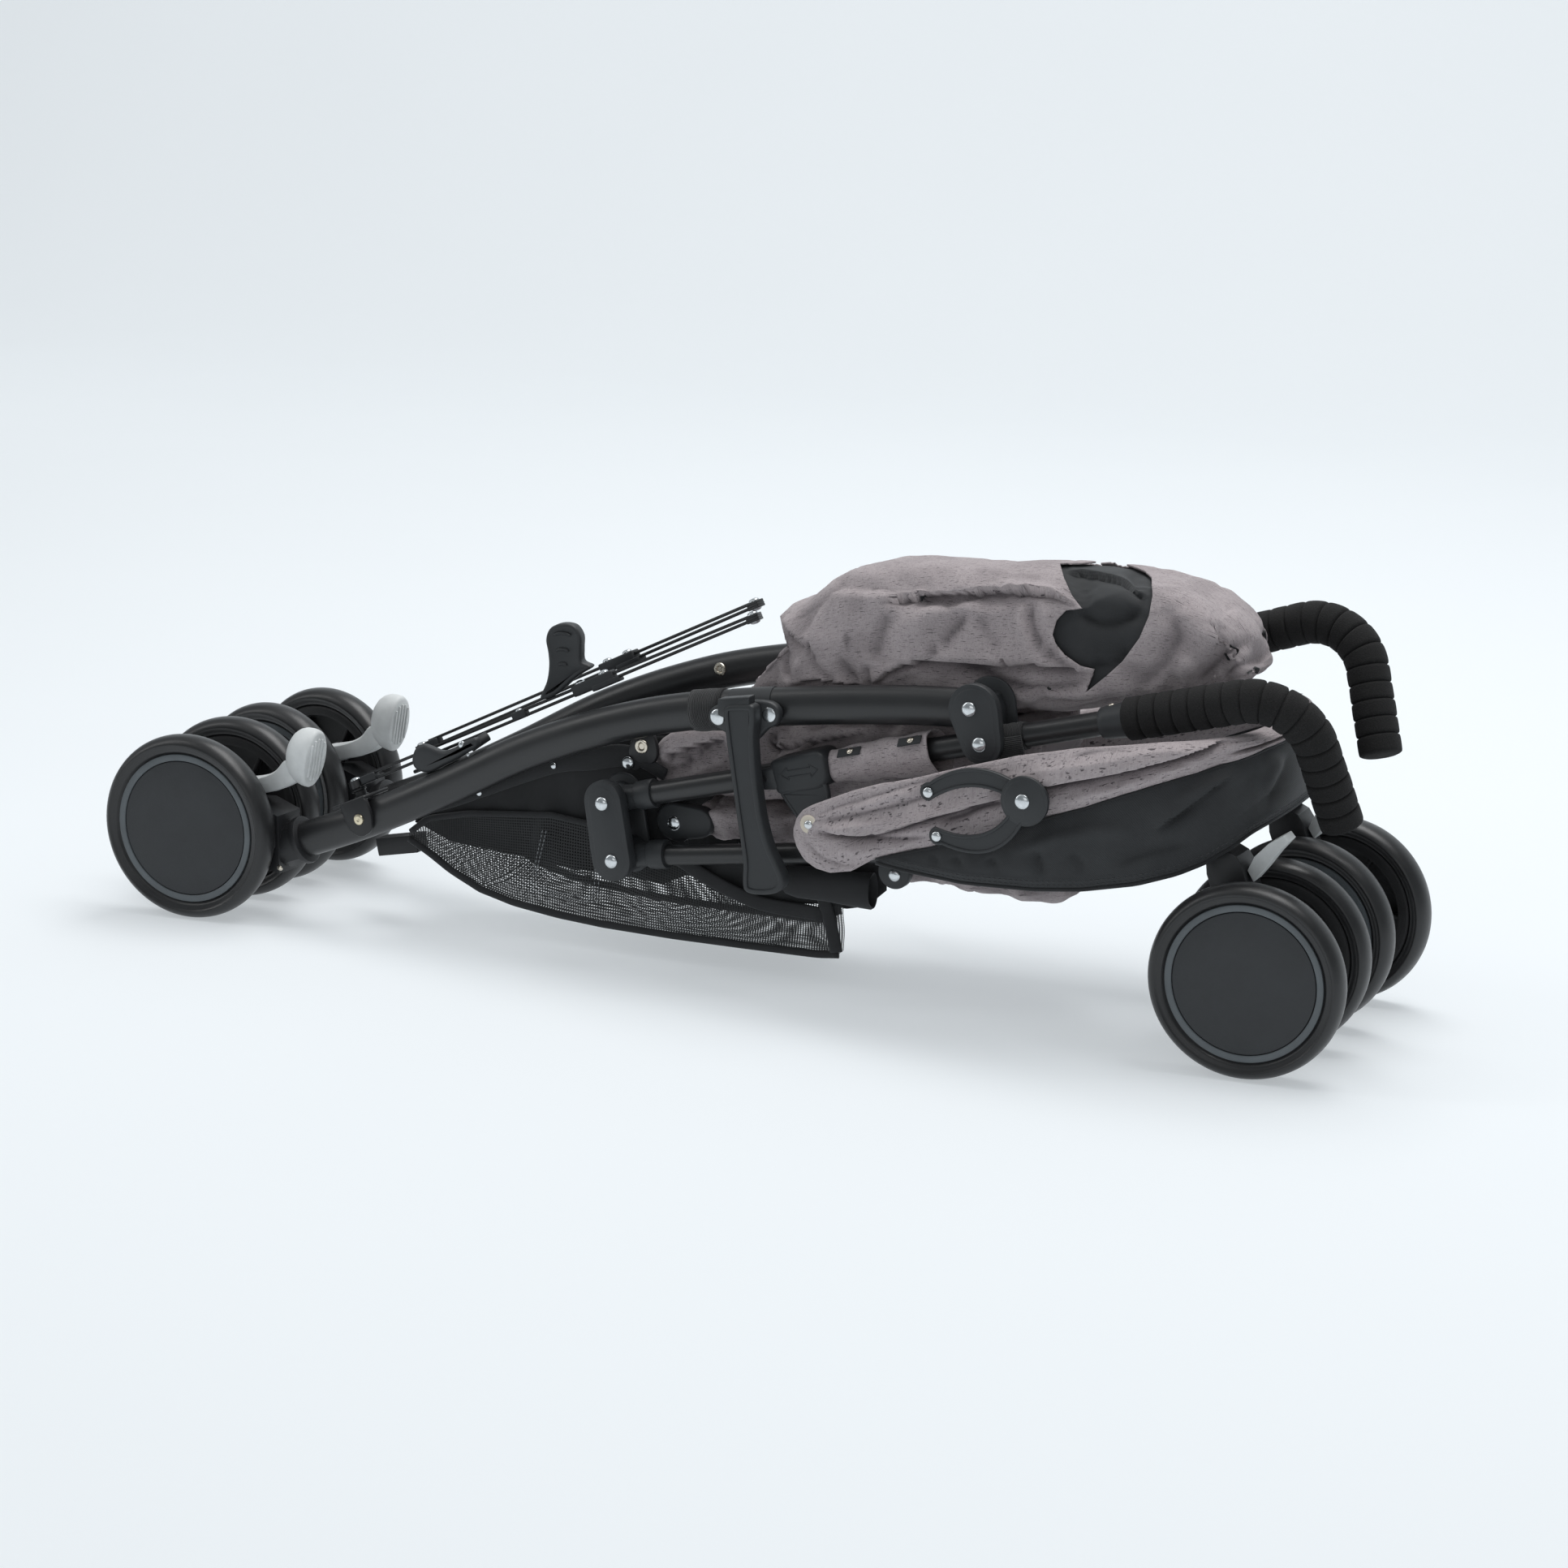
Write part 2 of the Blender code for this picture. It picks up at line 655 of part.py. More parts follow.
def grip_start(side):
    """Distance along the tube where a side's foam starts."""
    return GRIP_START + (FAR_GRIP_SHIFT if side == "far" else 0.0)


def grip_point(distance):
    """Point on the hook's centreline and its direction, in the hook's own plane."""
    bend_length = GRIP_BEND_RADIUS * GRIP_BEND
    if distance <= GRIP_STRAIGHT:
        return distance, 0.0, 0.0
    turned_by = min((distance - GRIP_STRAIGHT) / GRIP_BEND_RADIUS, GRIP_BEND)
    along = GRIP_STRAIGHT + GRIP_BEND_RADIUS * math.sin(turned_by)
    down = GRIP_BEND_RADIUS * (1.0 - math.cos(turned_by))
    rest = max(distance - GRIP_STRAIGHT - bend_length, 0.0)
    return along + rest * math.cos(turned_by), down + rest * math.sin(turned_by), turned_by


def grip(side, finish):
    """Foam hook with ring grooves. The hook's plane leans in towards the other one."""
    total = GRIP_STRAIGHT + GRIP_BEND_RADIUS * GRIP_BEND + GRIP_DROP
    pitch = total / GRIP_SEGMENTS
    lean = Matrix.Rotation(math.radians(GRIP_TURN), 3, HANDLE_ALONG)
    down_axis = lean @ HANDLE_DOWN
    if down_axis.y < 0.0:
        down_axis = lean.transposed() @ HANDLE_DOWN
    stations = [(0.0, GRIP_RADIUS - 1.5)]
    for i in range(GRIP_SEGMENTS):
        stations.append((i * pitch + 1.6, GRIP_RADIUS))
        stations.append(((i + 1) * pitch - 1.0, GRIP_RADIUS))
        if i + 1 < GRIP_SEGMENTS:
            stations.append(((i + 1) * pitch + 0.3, GRIP_GROOVE_RADIUS))
    stations.append((total + 1.0, GRIP_RADIUS - 4.0))
    centres, sections = [], []
    side_axis = HANDLE_ALONG.cross(down_axis).normalized()
    for distance, radius in stations:
        along, down, angle = grip_point(min(distance, total))
        extra = max(distance - total, 0.0)
        heading = HANDLE_ALONG * math.cos(angle) + down_axis * math.sin(angle)
        outer = down_axis * math.cos(angle) - HANDLE_ALONG * math.sin(angle)
        centre = handle_point(grip_start(side)) + HANDLE_ALONG * along + down_axis * down + heading * extra
        centres.append(centre)
        steps = [2.0 * math.pi * (i + 0.5) / 10 for i in range(10)]
        sections.append([(outer * math.cos(a) + side_axis * math.sin(a)) * radius for a in steps])
    bore_start = handle_point(grip_start(side) - 10.0)
    bore_end = handle_point(grip_start(side) + TUBE_IN_GRIP + 1.0)
    bore = cylinder(bore_start, bore_end, BORE_RADIUS, 14)
    made = shape(f"grip_{side}", swept(centres, sections), cut=[bore])
    place(made, finish, handle_point(grip_start(side)), side_matrix(side, "handle"), 50.0)


# Front leg and caster.

CASTER_HEAD = Vector((838.0, SIDE_Y, 139.0))
LOCK_PIVOT = Vector((858.0, SIDE_Y - 3.0, 130.0))


def front_leg(side, finish):
    start = LOWER_PIVOT + Vector((16.0, 0.0, 1.5))
    middle = Vector((515.0, SIDE_Y, 104.0))
    end = Vector((822.0, SIDE_Y, 141.5))
    first = cylinder(start, middle, FRONT_TUBE_RADIUS, 12)
    second = cylinder(middle, end, FRONT_TUBE_RADIUS, 12)
    knee = bmesh.new()
    bmesh.ops.create_uvsphere(knee, u_segments=10, v_segments=6, radius=FRONT_TUBE_RADIUS)
    bmesh.ops.translate(knee, vec=middle, verts=knee.verts)
    eye = cylinder(LOWER_PIVOT - ACROSS * 9.8, LOWER_PIVOT + ACROSS * 9.8, 12.5, 14)
    neck = cylinder(LOWER_PIVOT + Vector((4.0, 0.0, 0.5)), LOWER_PIVOT + Vector((34.0, 0.0, 3.5)), 9.8, 12)
    bore = cylinder(LOWER_PIVOT - ACROSS * 20.0, LOWER_PIVOT + ACROSS * 20.0, PIN_BORE, 10)
    made = shape(f"front_leg_{side}", first, joined=[second, knee, eye, neck], cut=[bore])
    place(made, finish, LOWER_PIVOT, side_matrix(side, "front"))


def caster_fork(side, finish):
    """Swivel housing and fork between the two front wheels."""
    axle = (FRONT_AXLE.x, FRONT_AXLE.z)
    outline = stadium((CASTER_HEAD.x + 1.0, CASTER_HEAD.z - 5.0), axle, 13.0, 12.0, 7)
    middle_y = 0.5 * (SIDE_Y + FRONT_AXLE.y)
    body = prism(outline, middle_y - 13.0, middle_y + 13.0)
    pin = axle_pin(FRONT_AXLE, FRONT_TOE, FRONT_SPACING)
    made = shape(f"caster_fork_{side}", body, joined=[pin])
    place(made, finish, CASTER_HEAD, side_matrix(side, "front"))


def swivel_lock(side, finish):
    """Light lever that locks the caster, sticking up between the wheels."""
    outline = [
        (858.0, 126.5), (865.5, 136.0), (873.5, 147.5), (881.5, 157.0),
        (878.0, 161.0), (867.5, 154.0), (858.0, 144.0), (853.5, 134.0),
    ]
    middle_y = 0.5 * (SIDE_Y + FRONT_AXLE.y)
    made = shape(f"swivel_lock_{side}", prism(outline, middle_y - 8.0, middle_y + 8.0))
    place(made, finish, LOCK_PIVOT, side_matrix(side, "front"))


# Canopy.


def canopy_path():
    """Plan of the canopy's folded wall: along the near side, round the end, back."""
    near = [
        (536.0, -100.0), (575.0, -101.0), (630.0, -101.0), (700.0, -101.0), (760.0, -100.0),
        (799.0, -97.0), (824.0, -89.0), (839.0, -71.0), (847.0, -42.0), (850.0, -14.0),
    ]
    far = [(x, -y) for x, y in reversed(near)]
    return near + far


def along_profile(points, x):
    """Height at x on a line of (x, z) points."""
    if x <= points[0][0]:
        return points[0][1]
    for (x0, z0), (x1, z1) in zip(points, points[1:]):
        if x <= x1:
            return z0 + (z1 - z0) * (x - x0) / (x1 - x0)
    return points[-1][1]


CANOPY_THICKNESS = 19.0
CANOPY_TOP = [
    (536.0, 146.0), (560.0, 166.0), (611.0, 184.0), (700.0, 203.0),
    (806.0, 222.0), (838.0, 224.0), (870.0, 222.0),
]
CANOPY_SEAM = [
    (536.0, 133.0), (575.0, 122.0), (612.0, 122.0), (642.0, 136.0), (700.0, 160.0),
    (760.0, 184.0), (806.0, 203.0), (838.0, 211.0), (870.0, 215.0),
]
CANOPY_BOTTOM = [
    (575.0, 114.0), (661.0, 113.0), (732.0, 116.0), (799.0, 130.0),
    (824.0, 139.0), (837.0, 151.0), (844.0, 160.0), (850.0, 163.0),
]


def wall(path, low, add_low, high, add_high):
    """Closed wall standing on a plan line, between two lines of heights along X."""
    centres, sections = [], []
    for i, (x, y) in enumerate(path):
        before, after = path[max(i - 1, 0)], path[min(i + 1, len(path) - 1)]
        along = Vector((after[0] - before[0], after[1] - before[1], 0.0)).normalized()
        square = Vector((along.y, -along.x, 0.0))
        z_low = along_profile(low, x) + add_low
        z_high = along_profile(high, x) + add_high
        half = 0.5 * CANOPY_THICKNESS
        up_low, up_high = Vector((0.0, 0.0, z_low)), Vector((0.0, 0.0, z_high))
        middle = 0.5 * (up_low + up_high)
        centres.append(Vector((x, y, 0.0)))
        edge, belly = square * half * 0.55, square * half
        sections.append([
            up_low + edge, middle + belly, up_high + edge,
            up_high - edge, middle - belly, up_low - edge,
        ])
    return swept(centres, sections)


def canopy(fabric, black):
    path = canopy_path()
    fans = wall(path, CANOPY_SEAM, 0.6, CANOPY_TOP, 0.0)
    nose = cylinder(Vector((545.0, -109.0, 137.0)), Vector((545.0, -92.0, 137.0)), 14.0, 14)
    nose_far = cylinder(Vector((545.0, 92.0, 137.0)), Vector((545.0, 109.0, 137.0)), 14.0, 14)
    made = shape("canopy_fans", fans, joined=[nose, nose_far])
    place(made, fabric, CANOPY_PIVOT, Matrix.Identity(4))
    visor_path = [(x, y) for x, y in path if x > 600.0]
    visor_path = [(596.0, -101.0)] + visor_path + [(596.0, 101.0)]
    visor = wall(visor_path, CANOPY_BOTTOM, 0.0, CANOPY_SEAM, -0.6)
    made = shape("canopy_visor", visor)
    place(made, black, CANOPY_PIVOT, Matrix.Identity(4))


def canopy_hinge_far(finish):
    """Hinge disc on the canopy's far nose, where its bow is pinned."""
    start = Vector((CANOPY_PIVOT.x, 110.4, CANOPY_PIVOT.z))
    made = shape("canopy_hinge_far", cylinder(start, start + ACROSS * 4.0, 11.0, 14))
    place(made, finish, start, Matrix.Identity(4))


STAY_UPPER = Vector((640.0, -116.5, 174.0))
STAY_ELBOW = Vector((712.0, -116.5, 176.0))
STAY_LOWER = Vector((649.0, -116.5, 145.0))


def stay_outline(start, end, bulge, half_width):
    """Curved arm from start to end, bowed by bulge, as an (x, z) outline."""
    outer, inner = [], []
    chord = Vector((end.x - start.x, end.z - start.z))
    square = Vector((-chord.y, chord.x)).normalized()
    for i in range(7):
        share = i / 6.0
        point = Vector((start.x, start.z)) + chord * share + square * (bulge * 4.0 * share * (1.0 - share))
        outer.append(point + square * half_width)
        inner.append(point - square * half_width)
    return [(p.x, p.y) for p in outer + inner[::-1]]


def stay_arm(name, bulge, foot_at, disc_radius, y_low, finish, origin, matrix):
    """Curved arm with its elbow disc and its foot, 4.2 mm thick."""
    y_high = y_low + 4.2
    arm = prism(stay_outline(STAY_ELBOW, foot_at, bulge, 5.5), y_low, y_high)
    ends = []
    for centre, radius, sides in ((STAY_ELBOW, disc_radius, 16), (foot_at, 7.0, 10)):
        start = Vector((centre.x, y_low, centre.z))
        ends.append(cylinder(start, Vector((centre.x, y_high, centre.z)), radius, sides))
    made = shape(name, arm, joined=ends)
    place(made, finish, origin, matrix)


def stays(side, finish):
    """Two curved arms joined at an elbow disc, one layer above the other."""
    matrix = side_matrix(side, "front")
    upper, lower = f"stay_upper_{side}", f"stay_lower_{side}"
    stay_arm(upper, -12.0, STAY_UPPER, 15.0, -116.2, finish, STAY_UPPER, matrix)
    stay_arm(lower, 16.0, STAY_LOWER, 17.0, -120.8, finish, STAY_ELBOW, matrix)

# Soft parts.


def soft_loft(stations, half_width, roundness=0.55):
    """Pillow lofted along X. A station is (x, z low, z high, share of half width)."""
    centres, sections = [], []
    for x, low, high, share in stations:
        half = half_width * share
        middle, rise = 0.5 * (low + high), 0.5 * (high - low)
        section = []
        for i in range(12):
            angle = 2.0 * math.pi * (i + 0.5) / 12
            c, s = math.cos(angle), math.sin(angle)
            y = math.copysign(abs(c) ** roundness, c) * half
            z = math.copysign(abs(s) ** roundness, s) * rise
            section.append(Vector((0.0, y, middle + z)))
        centres.append(Vector((x, 0.0, 0.0)))
        sections.append(section)
    return swept(centres, sections)


BAG_STATIONS = [
    (455.0, 206.0, 213.0, 0.5), (466.0, 204.0, 228.0, 0.75), (475.0, 203.0, 252.0, 0.88),
    (487.0, 202.0, 269.0, 0.95), (505.0, 200.0, 285.0, 1.0), (522.0, 201.0, 298.0, 1.0),
    (548.0, 204.0, 307.0, 1.0), (578.0, 207.0, 312.0, 1.0), (622.0, 211.0, 313.0, 0.98),
    (686.0, 222.0, 314.0, 0.98), (752.0, 236.0, 313.0, 1.0), (780.0, 242.0, 309.0, 1.0),
    (802.0, 247.0, 300.0, 0.95), (820.0, 250.0, 288.0, 0.85), (834.0, 253.0, 271.0, 0.65),
    (841.0, 255.0, 262.0, 0.4),
]
LOWER_SEAT_STATIONS = [
    (392.0, 134.0, 158.0, 0.8), (405.0, 126.0, 178.0, 1.0),
    (450.0, 128.0, 196.0, 1.0), (520.0, 134.0, 197.0, 1.0),
    (600.0, 144.0, 203.0, 1.0), (660.0, 156.0, 212.0, 1.0), (690.0, 170.0, 214.0, 0.9),
]
CALF_STATIONS = [
    (420.0, 97.0, 118.0, 0.8), (440.0, 94.0, 122.0, 0.95),
    (520.0, 92.0, 128.0, 1.0), (600.0, 91.0, 136.0, 1.0),
    (660.0, 88.0, 134.0, 1.0), (700.0, 91.0, 122.0, 0.9), (716.0, 96.0, 112.0, 0.7),
]
BASKET_STATIONS = [
    (168.0, 60.0, 74.0, 0.9), (186.0, 50.0, 86.0, 1.0), (223.0, 34.0, 96.0, 1.0), (296.0, 18.0, 104.0, 1.0),
    (350.0, 16.0, 100.0, 1.0), (402.0, 17.0, 86.0, 1.0), (460.0, 17.0, 84.0, 1.0), (500.0, 19.0, 82.0, 1.0),
    (520.0, 28.0, 80.0, 0.95), (534.0, 50.0, 76.0, 0.8),
]


def seat_bag(fabric):
    made = shape("seat_bag", soft_loft(BAG_STATIONS, SOFT_HALF_WIDTH))
    place(made, fabric, (650.0, 0.0, 260.0), Matrix.Identity(4), 60.0)


def lower_seat(fabric):
    made = shape("lower_seat", soft_loft(LOWER_SEAT_STATIONS, SOFT_HALF_WIDTH))
    place(made, fabric, (540.0, 0.0, 170.0), Matrix.Identity(4), 60.0)


KNUCKLE = Vector((408.0, 0.0, 107.0))


def calf_rest(fabric):
    pad = soft_loft(CALF_STATIONS, SOFT_HALF_WIDTH)
    made = shape("calf_rest", pad)
    place(made, fabric, (560.0, 0.0, 108.0), Matrix.Identity(4), 60.0)


def calf_bar(finish):
    """Cross bar of the calf rest, with a round ratchet knuckle at each end."""
    bar = cylinder(KNUCKLE - ACROSS * 44.0, KNUCKLE + ACROSS * 44.0, 5.5, 10)
    near = cylinder(KNUCKLE - ACROSS * 48.5, KNUCKLE - ACROSS * 40.0, 11.0, 14)
    far = cylinder(KNUCKLE + ACROSS * 40.0, KNUCKLE + ACROSS * 48.5, 11.0, 14)
    made = shape("calf_bar", bar, joined=[near, far])
    place(made, finish, KNUCKLE, Matrix.Identity(4))


def basket(mesh_finish):
    made = shape("basket", soft_loft(BASKET_STATIONS, SOFT_HALF_WIDTH, 0.7))
    place(made, mesh_finish, (350.0, 0.0, 60.0), Matrix.Identity(4), 60.0)


def basket_rail(finish):
    """Small square tube that sticks out of the basket's rear edge."""
    bar = block((146.0, -20.0, 58.0), (38.0, 16.0, 14.0), Matrix.Rotation(math.radians(-11.0), 4, "Y"))
    made = shape("basket_rail", bar)
    place(made, finish, (146.0, -20.0, 58.0), Matrix.Identity(4))


def build_side(side, finishes):
    wheels("rear", REAR_AXLE, REAR_WHEEL_RADIUS, REAR_TOE, WHEEL_SPACING, finishes, side)
    wheels("front", FRONT_AXLE, FRONT_WHEEL_RADIUS, FRONT_TOE, FRONT_SPACING, finishes, side)
    rear_leg(side, finishes["paint"])
    axle_housing(side, finishes["plastic"])
    brake_pedal(side, finishes["grey"])
    brace_bracket(side, finishes["plastic"])
    brace_bar(side, finishes["paint"])
    handle_tube(side, finishes["paint"])
    upper_joint(side, finishes["plastic"])
    lower_joint(side, finishes["plastic"])
    canopy_clip(side, finishes["plastic"])
    grip(side, finishes["foam"])
    front_leg(side, finishes["paint"])
    caster_fork(side, finishes["plastic"])
    swivel_lock(side, finishes["grey"])
    stays(side, finishes["plastic"])


def main():
    clear_scene()
    finishes = {
        "tyre": material("tyre", (0.03, 0.03, 0.032), 0.6),
        "hub": material("hub", (0.035, 0.037, 0.04), 0.45),
        "plastic": material("black_plastic", (0.025, 0.027, 0.03), 0.5),
        "grey": material("grey_plastic", (0.36, 0.38, 0.39), 0.5),
        "paint": material("frame_paint", PAINT, 0.4),
        "foam": material("foam", (0.02, 0.02, 0.021), 0.9),
        "melange": material("melange_fabric", (0.3, 0.26, 0.27), 0.95),
        "black_fabric": material("black_fabric", (0.03, 0.031, 0.033), 0.9),
        "mesh": material("mesh_fabric", (0.05, 0.05, 0.05), 0.9),
    }
    for side in ("near", "far"):
        build_side(side, finishes)
    release_pedal(finishes["plastic"])
    foot_catch(finishes["plastic"])
    latch_bracket(finishes["plastic"])
    latch_arm(finishes["plastic"])
    canopy(finishes["melange"], finishes["black_fabric"])
    canopy_hinge_far(finishes["plastic"])
    seat_bag(finishes["melange"])
    lower_seat(finishes["melange"])
    calf_rest(finishes["melange"])
    calf_bar(finishes["plastic"])
    basket(finishes["mesh"])
    basket_rail(finishes["paint"])


main()
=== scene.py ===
import math

import bmesh
import bpy
import numpy as np
from mathutils import Matrix, Vector, noise


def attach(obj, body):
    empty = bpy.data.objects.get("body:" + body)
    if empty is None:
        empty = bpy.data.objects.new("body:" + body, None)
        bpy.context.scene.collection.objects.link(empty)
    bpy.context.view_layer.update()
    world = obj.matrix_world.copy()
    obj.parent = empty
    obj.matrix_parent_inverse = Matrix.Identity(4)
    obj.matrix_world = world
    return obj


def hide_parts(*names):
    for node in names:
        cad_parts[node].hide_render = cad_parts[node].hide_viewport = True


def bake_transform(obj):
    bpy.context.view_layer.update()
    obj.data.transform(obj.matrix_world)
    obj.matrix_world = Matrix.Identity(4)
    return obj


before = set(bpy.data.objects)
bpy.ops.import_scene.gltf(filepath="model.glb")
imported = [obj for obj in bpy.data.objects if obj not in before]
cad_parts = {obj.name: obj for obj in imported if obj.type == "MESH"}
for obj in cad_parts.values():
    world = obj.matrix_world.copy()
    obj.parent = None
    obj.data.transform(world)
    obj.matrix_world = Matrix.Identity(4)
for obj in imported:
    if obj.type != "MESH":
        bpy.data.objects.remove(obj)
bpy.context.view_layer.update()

# Drawing frame: millimetres, x from the rear axle, near side at negative y.
MM = 0.001
AXLE_X = -424.8
SIDE_Y = -63
ACROSS = Vector((0, 1, 0))
UP = Vector((0, 0, 1))
SIDES = ((-1, "near"), (1, "far"))
IDENTITY = Matrix.Identity(4)

UPPER_PIVOT = Vector((649, SIDE_Y, 223))
LOWER_FIXED = Vector((364, SIDE_Y, 127))
LOWER_PIVOT = Vector((373, SIDE_Y, 86))
UPPER_FIXED = Vector((657, SIDE_Y, 200))
REAR_AXLE = Vector((-2, SIDE_Y, 73))
FRONT_AXLE = Vector((863, -66, 67))
FAR_TILT = math.radians(3.5)
HANDLE_ALONG = (UPPER_FIXED - LOWER_FIXED).normalized()
HANDLE_DOWN = Vector((HANDLE_ALONG.z, 0, -HANDLE_ALONG.x))

# The photograph's camera, used to place what was measured in its pixels.
PHOTO = 1932
LENS = 74.53
SENSOR = 36
FOCAL = LENS / SENSOR * PHOTO
EYE = Vector((1527.1, -2073.5, 691))
YAW = math.radians(27)
PITCH = math.radians(13.4)
VIEW_RIGHT = Vector((math.cos(YAW), math.sin(YAW), 0))
VIEW_AHEAD = Vector((-math.sin(YAW) * math.cos(PITCH), math.cos(YAW) * math.cos(PITCH), -math.sin(PITCH)))
VIEW_UP = VIEW_RIGHT.cross(VIEW_AHEAD)


def about(point, turn):
    """The turn, made about a point."""
    return Matrix.Translation(point) @ turn @ Matrix.Translation(-point)


def far_leg_placement():
    """Pitch and slip that bring the far leg's top to the tilted far handle."""
    raised = LOWER_PIVOT + Matrix.Rotation(-FAR_TILT, 3, "Y") @ (UPPER_PIVOT - LOWER_PIVOT)
    reach = (UPPER_PIVOT - REAR_AXLE).length
    near_angle = math.asin((UPPER_PIVOT.z - REAR_AXLE.z) / reach)
    far_angle = math.asin((raised.z - REAR_AXLE.z) / reach)
    return far_angle - near_angle, raised.x - REAR_AXLE.x - reach * math.cos(far_angle)


MIRROR = Matrix.Scale(-1, 4, (0, 1, 0))
LEG_PITCH, LEG_SLIP = far_leg_placement()


def side_matrix(side, group):
    """From the near side's drawing to the place of one group on one side."""
    if side == "near":
        return IDENTITY
    if group == "handle":
        return MIRROR @ about(LOWER_PIVOT, Matrix.Rotation(-FAR_TILT, 4, "Y"))
    if group == "rear_wheels":
        return MIRROR @ Matrix.Translation((LEG_SLIP, 0, 0))
    if group == "leg":
        turn = about(REAR_AXLE, Matrix.Rotation(-LEG_PITCH, 4, "Y"))
        return MIRROR @ Matrix.Translation((LEG_SLIP, 0, 0)) @ turn
    return MIRROR


def handle_point(along, down=0, y=SIDE_Y):
    """Drawing point at a distance along the near handle tube and below its middle."""
    point = LOWER_FIXED + HANDLE_ALONG * along + HANDLE_DOWN * down
    return Vector((point.x, y, point.z))


# Materials.


class Recipe:
    """A material being put together: a Principled shader and short calls for nodes."""

    def __init__(self, name, color, roughness, **sockets):
        self.material = bpy.data.materials.new(name)
        self.material.use_nodes = True
        self.tree = self.material.node_tree
        self.shader = self.tree.nodes["Principled BSDF"]
        self.shader.inputs["Base Color"].default_value = (*color, 1)
        self.shader.inputs["Roughness"].default_value = roughness
        for socket, value in sockets.items():
            self.shader.inputs[socket.replace("_", " ")].default_value = value
        self.normal = None

    def node(self, kind, **settings):
        made = self.tree.nodes.new(kind)
        for key, value in settings.items():
            setattr(made, key, value)
        return made

    def link(self, source, target):
        self.tree.links.new(source, target)

    def space(self, source="Object", scale=(1, 1, 1), turn=(0, 0, 0)):
        coordinates = self.node("ShaderNodeTexCoord")
        mapping = self.node("ShaderNodeMapping")
        mapping.inputs["Scale"].default_value = scale
        mapping.inputs["Rotation"].default_value = turn
        self.link(coordinates.outputs[source], mapping.inputs["Vector"])
        return mapping.outputs["Vector"]

    def noise(self, where, scale, detail=3, rough=0.55):
        made = self.node("ShaderNodeTexNoise")
        made.inputs["Scale"].default_value = scale
        made.inputs["Detail"].default_value = detail
        made.inputs["Roughness"].default_value = rough
        self.link(where, made.inputs["Vector"])
        return made.outputs["Fac"]

    def cells(self, where, scale):
        made = self.node("ShaderNodeTexVoronoi")
        made.inputs["Scale"].default_value = scale
        self.link(where, made.inputs["Vector"])
        return made.outputs["Distance"]

    def stripes(self, where, scale, direction):
        made = self.node("ShaderNodeTexWave", wave_type="BANDS", bands_direction=direction)
        made.inputs["Scale"].default_value = scale
        self.link(where, made.inputs["Vector"])
        return made.outputs["Fac"]

    def spread(self, value, low, high, to_low=0, to_high=1):
        made = self.node("ShaderNodeMapRange")
        made.inputs["From Min"].default_value = low
        made.inputs["From Max"].default_value = high
        made.inputs["To Min"].default_value = to_low
        made.inputs["To Max"].default_value = to_high
        self.link(value, made.inputs["Value"])
        return made.outputs["Result"]

    def sum(self, first, second, share=1, operation="ADD"):
        """First output with a share of the second one added, or multiplied."""
        scaled = self.node("ShaderNodeMath", operation="MULTIPLY")
        self.link(second, scaled.inputs[0])
        scaled.inputs[1].default_value = share
        made = self.node("ShaderNodeMath", operation=operation)
        self.link(first, made.inputs[0])
        self.link(scaled.outputs[0], made.inputs[1])
        return made.outputs[0]

    def mix(self, factor, first, second):
        """Colour between two, each a tuple or an output."""
        made = self.node("ShaderNodeMix", data_type="RGBA")
        self.link(factor, made.inputs["Factor"])
        for label, value in (("A", first), ("B", second)):
            socket = next(s for s in made.inputs if s.name == label and s.type == "RGBA")
            if isinstance(value, tuple):
                socket.default_value = (*value, 1)
            else:
                self.link(value, socket)
        return next(s for s in made.outputs if s.type == "RGBA")

    def color(self, output):
        self.link(output, self.shader.inputs["Base Color"])

    def painted_fold_shading(self, output, deep, pale):
        """Painted shade where the cloth's fold attribute is high, and a painted highlight where it is below
        zero on raised folds: deep is the shade colour, pale the highlight colour.
        """
        painted_fold_shade = self.node("ShaderNodeAttribute", attribute_name="painted_fold_shade").outputs["Fac"]
        shaded = self.mix(self.spread(painted_fold_shade, 0, 1, 0, 0.8), output, deep)
        return self.mix(self.spread(painted_fold_shade, 0, -1, 0, 0.35), shaded, pale)

    def roughness(self, output):
        self.link(output, self.shader.inputs["Roughness"])

    def bump(self, height, strength, distance):
        made = self.node("ShaderNodeBump")
        made.inputs["Strength"].default_value = strength
        made.inputs["Distance"].default_value = distance
        self.link(height, made.inputs["Height"])
        if self.normal is not None:
            self.link(self.normal, made.inputs["Normal"])
        self.normal = made.outputs["Normal"]
        self.link(self.normal, self.shader.inputs["Normal"])


def tone(color, share):
    """A colour made darker or lighter."""
    return tuple(c * share for c in color)


def moulded(name, color, rough, grain=0.25, grain_scale=2600, dust=0.12):
    """Moulded plastic: fine spark grain, slow gloss change, a little pale dust."""
    made = Recipe(name, color, rough, Specular_IOR_Level=0.45)
    where = made.space()
    cloud = made.noise(where, 38, 4)
    fine = made.noise(where, grain_scale, 2)
    specks = made.noise(where, 900, 4, 0.7)
    tint = made.mix(made.spread(cloud, 0.35, 0.7), tone(color, 0.88), tone(color, 1.14))
    pale = tuple(c * 0.5 + 0.16 for c in color)
    made.color(made.mix(made.spread(specks, 0.70, 0.86, 0, dust), tint, pale))
    made.roughness(made.spread(made.sum(cloud, fine, 0.35), 0.3, 1.05, rough - 0.07, rough + 0.13))
    made.bump(fine, grain, 0.00025)
    return made.material


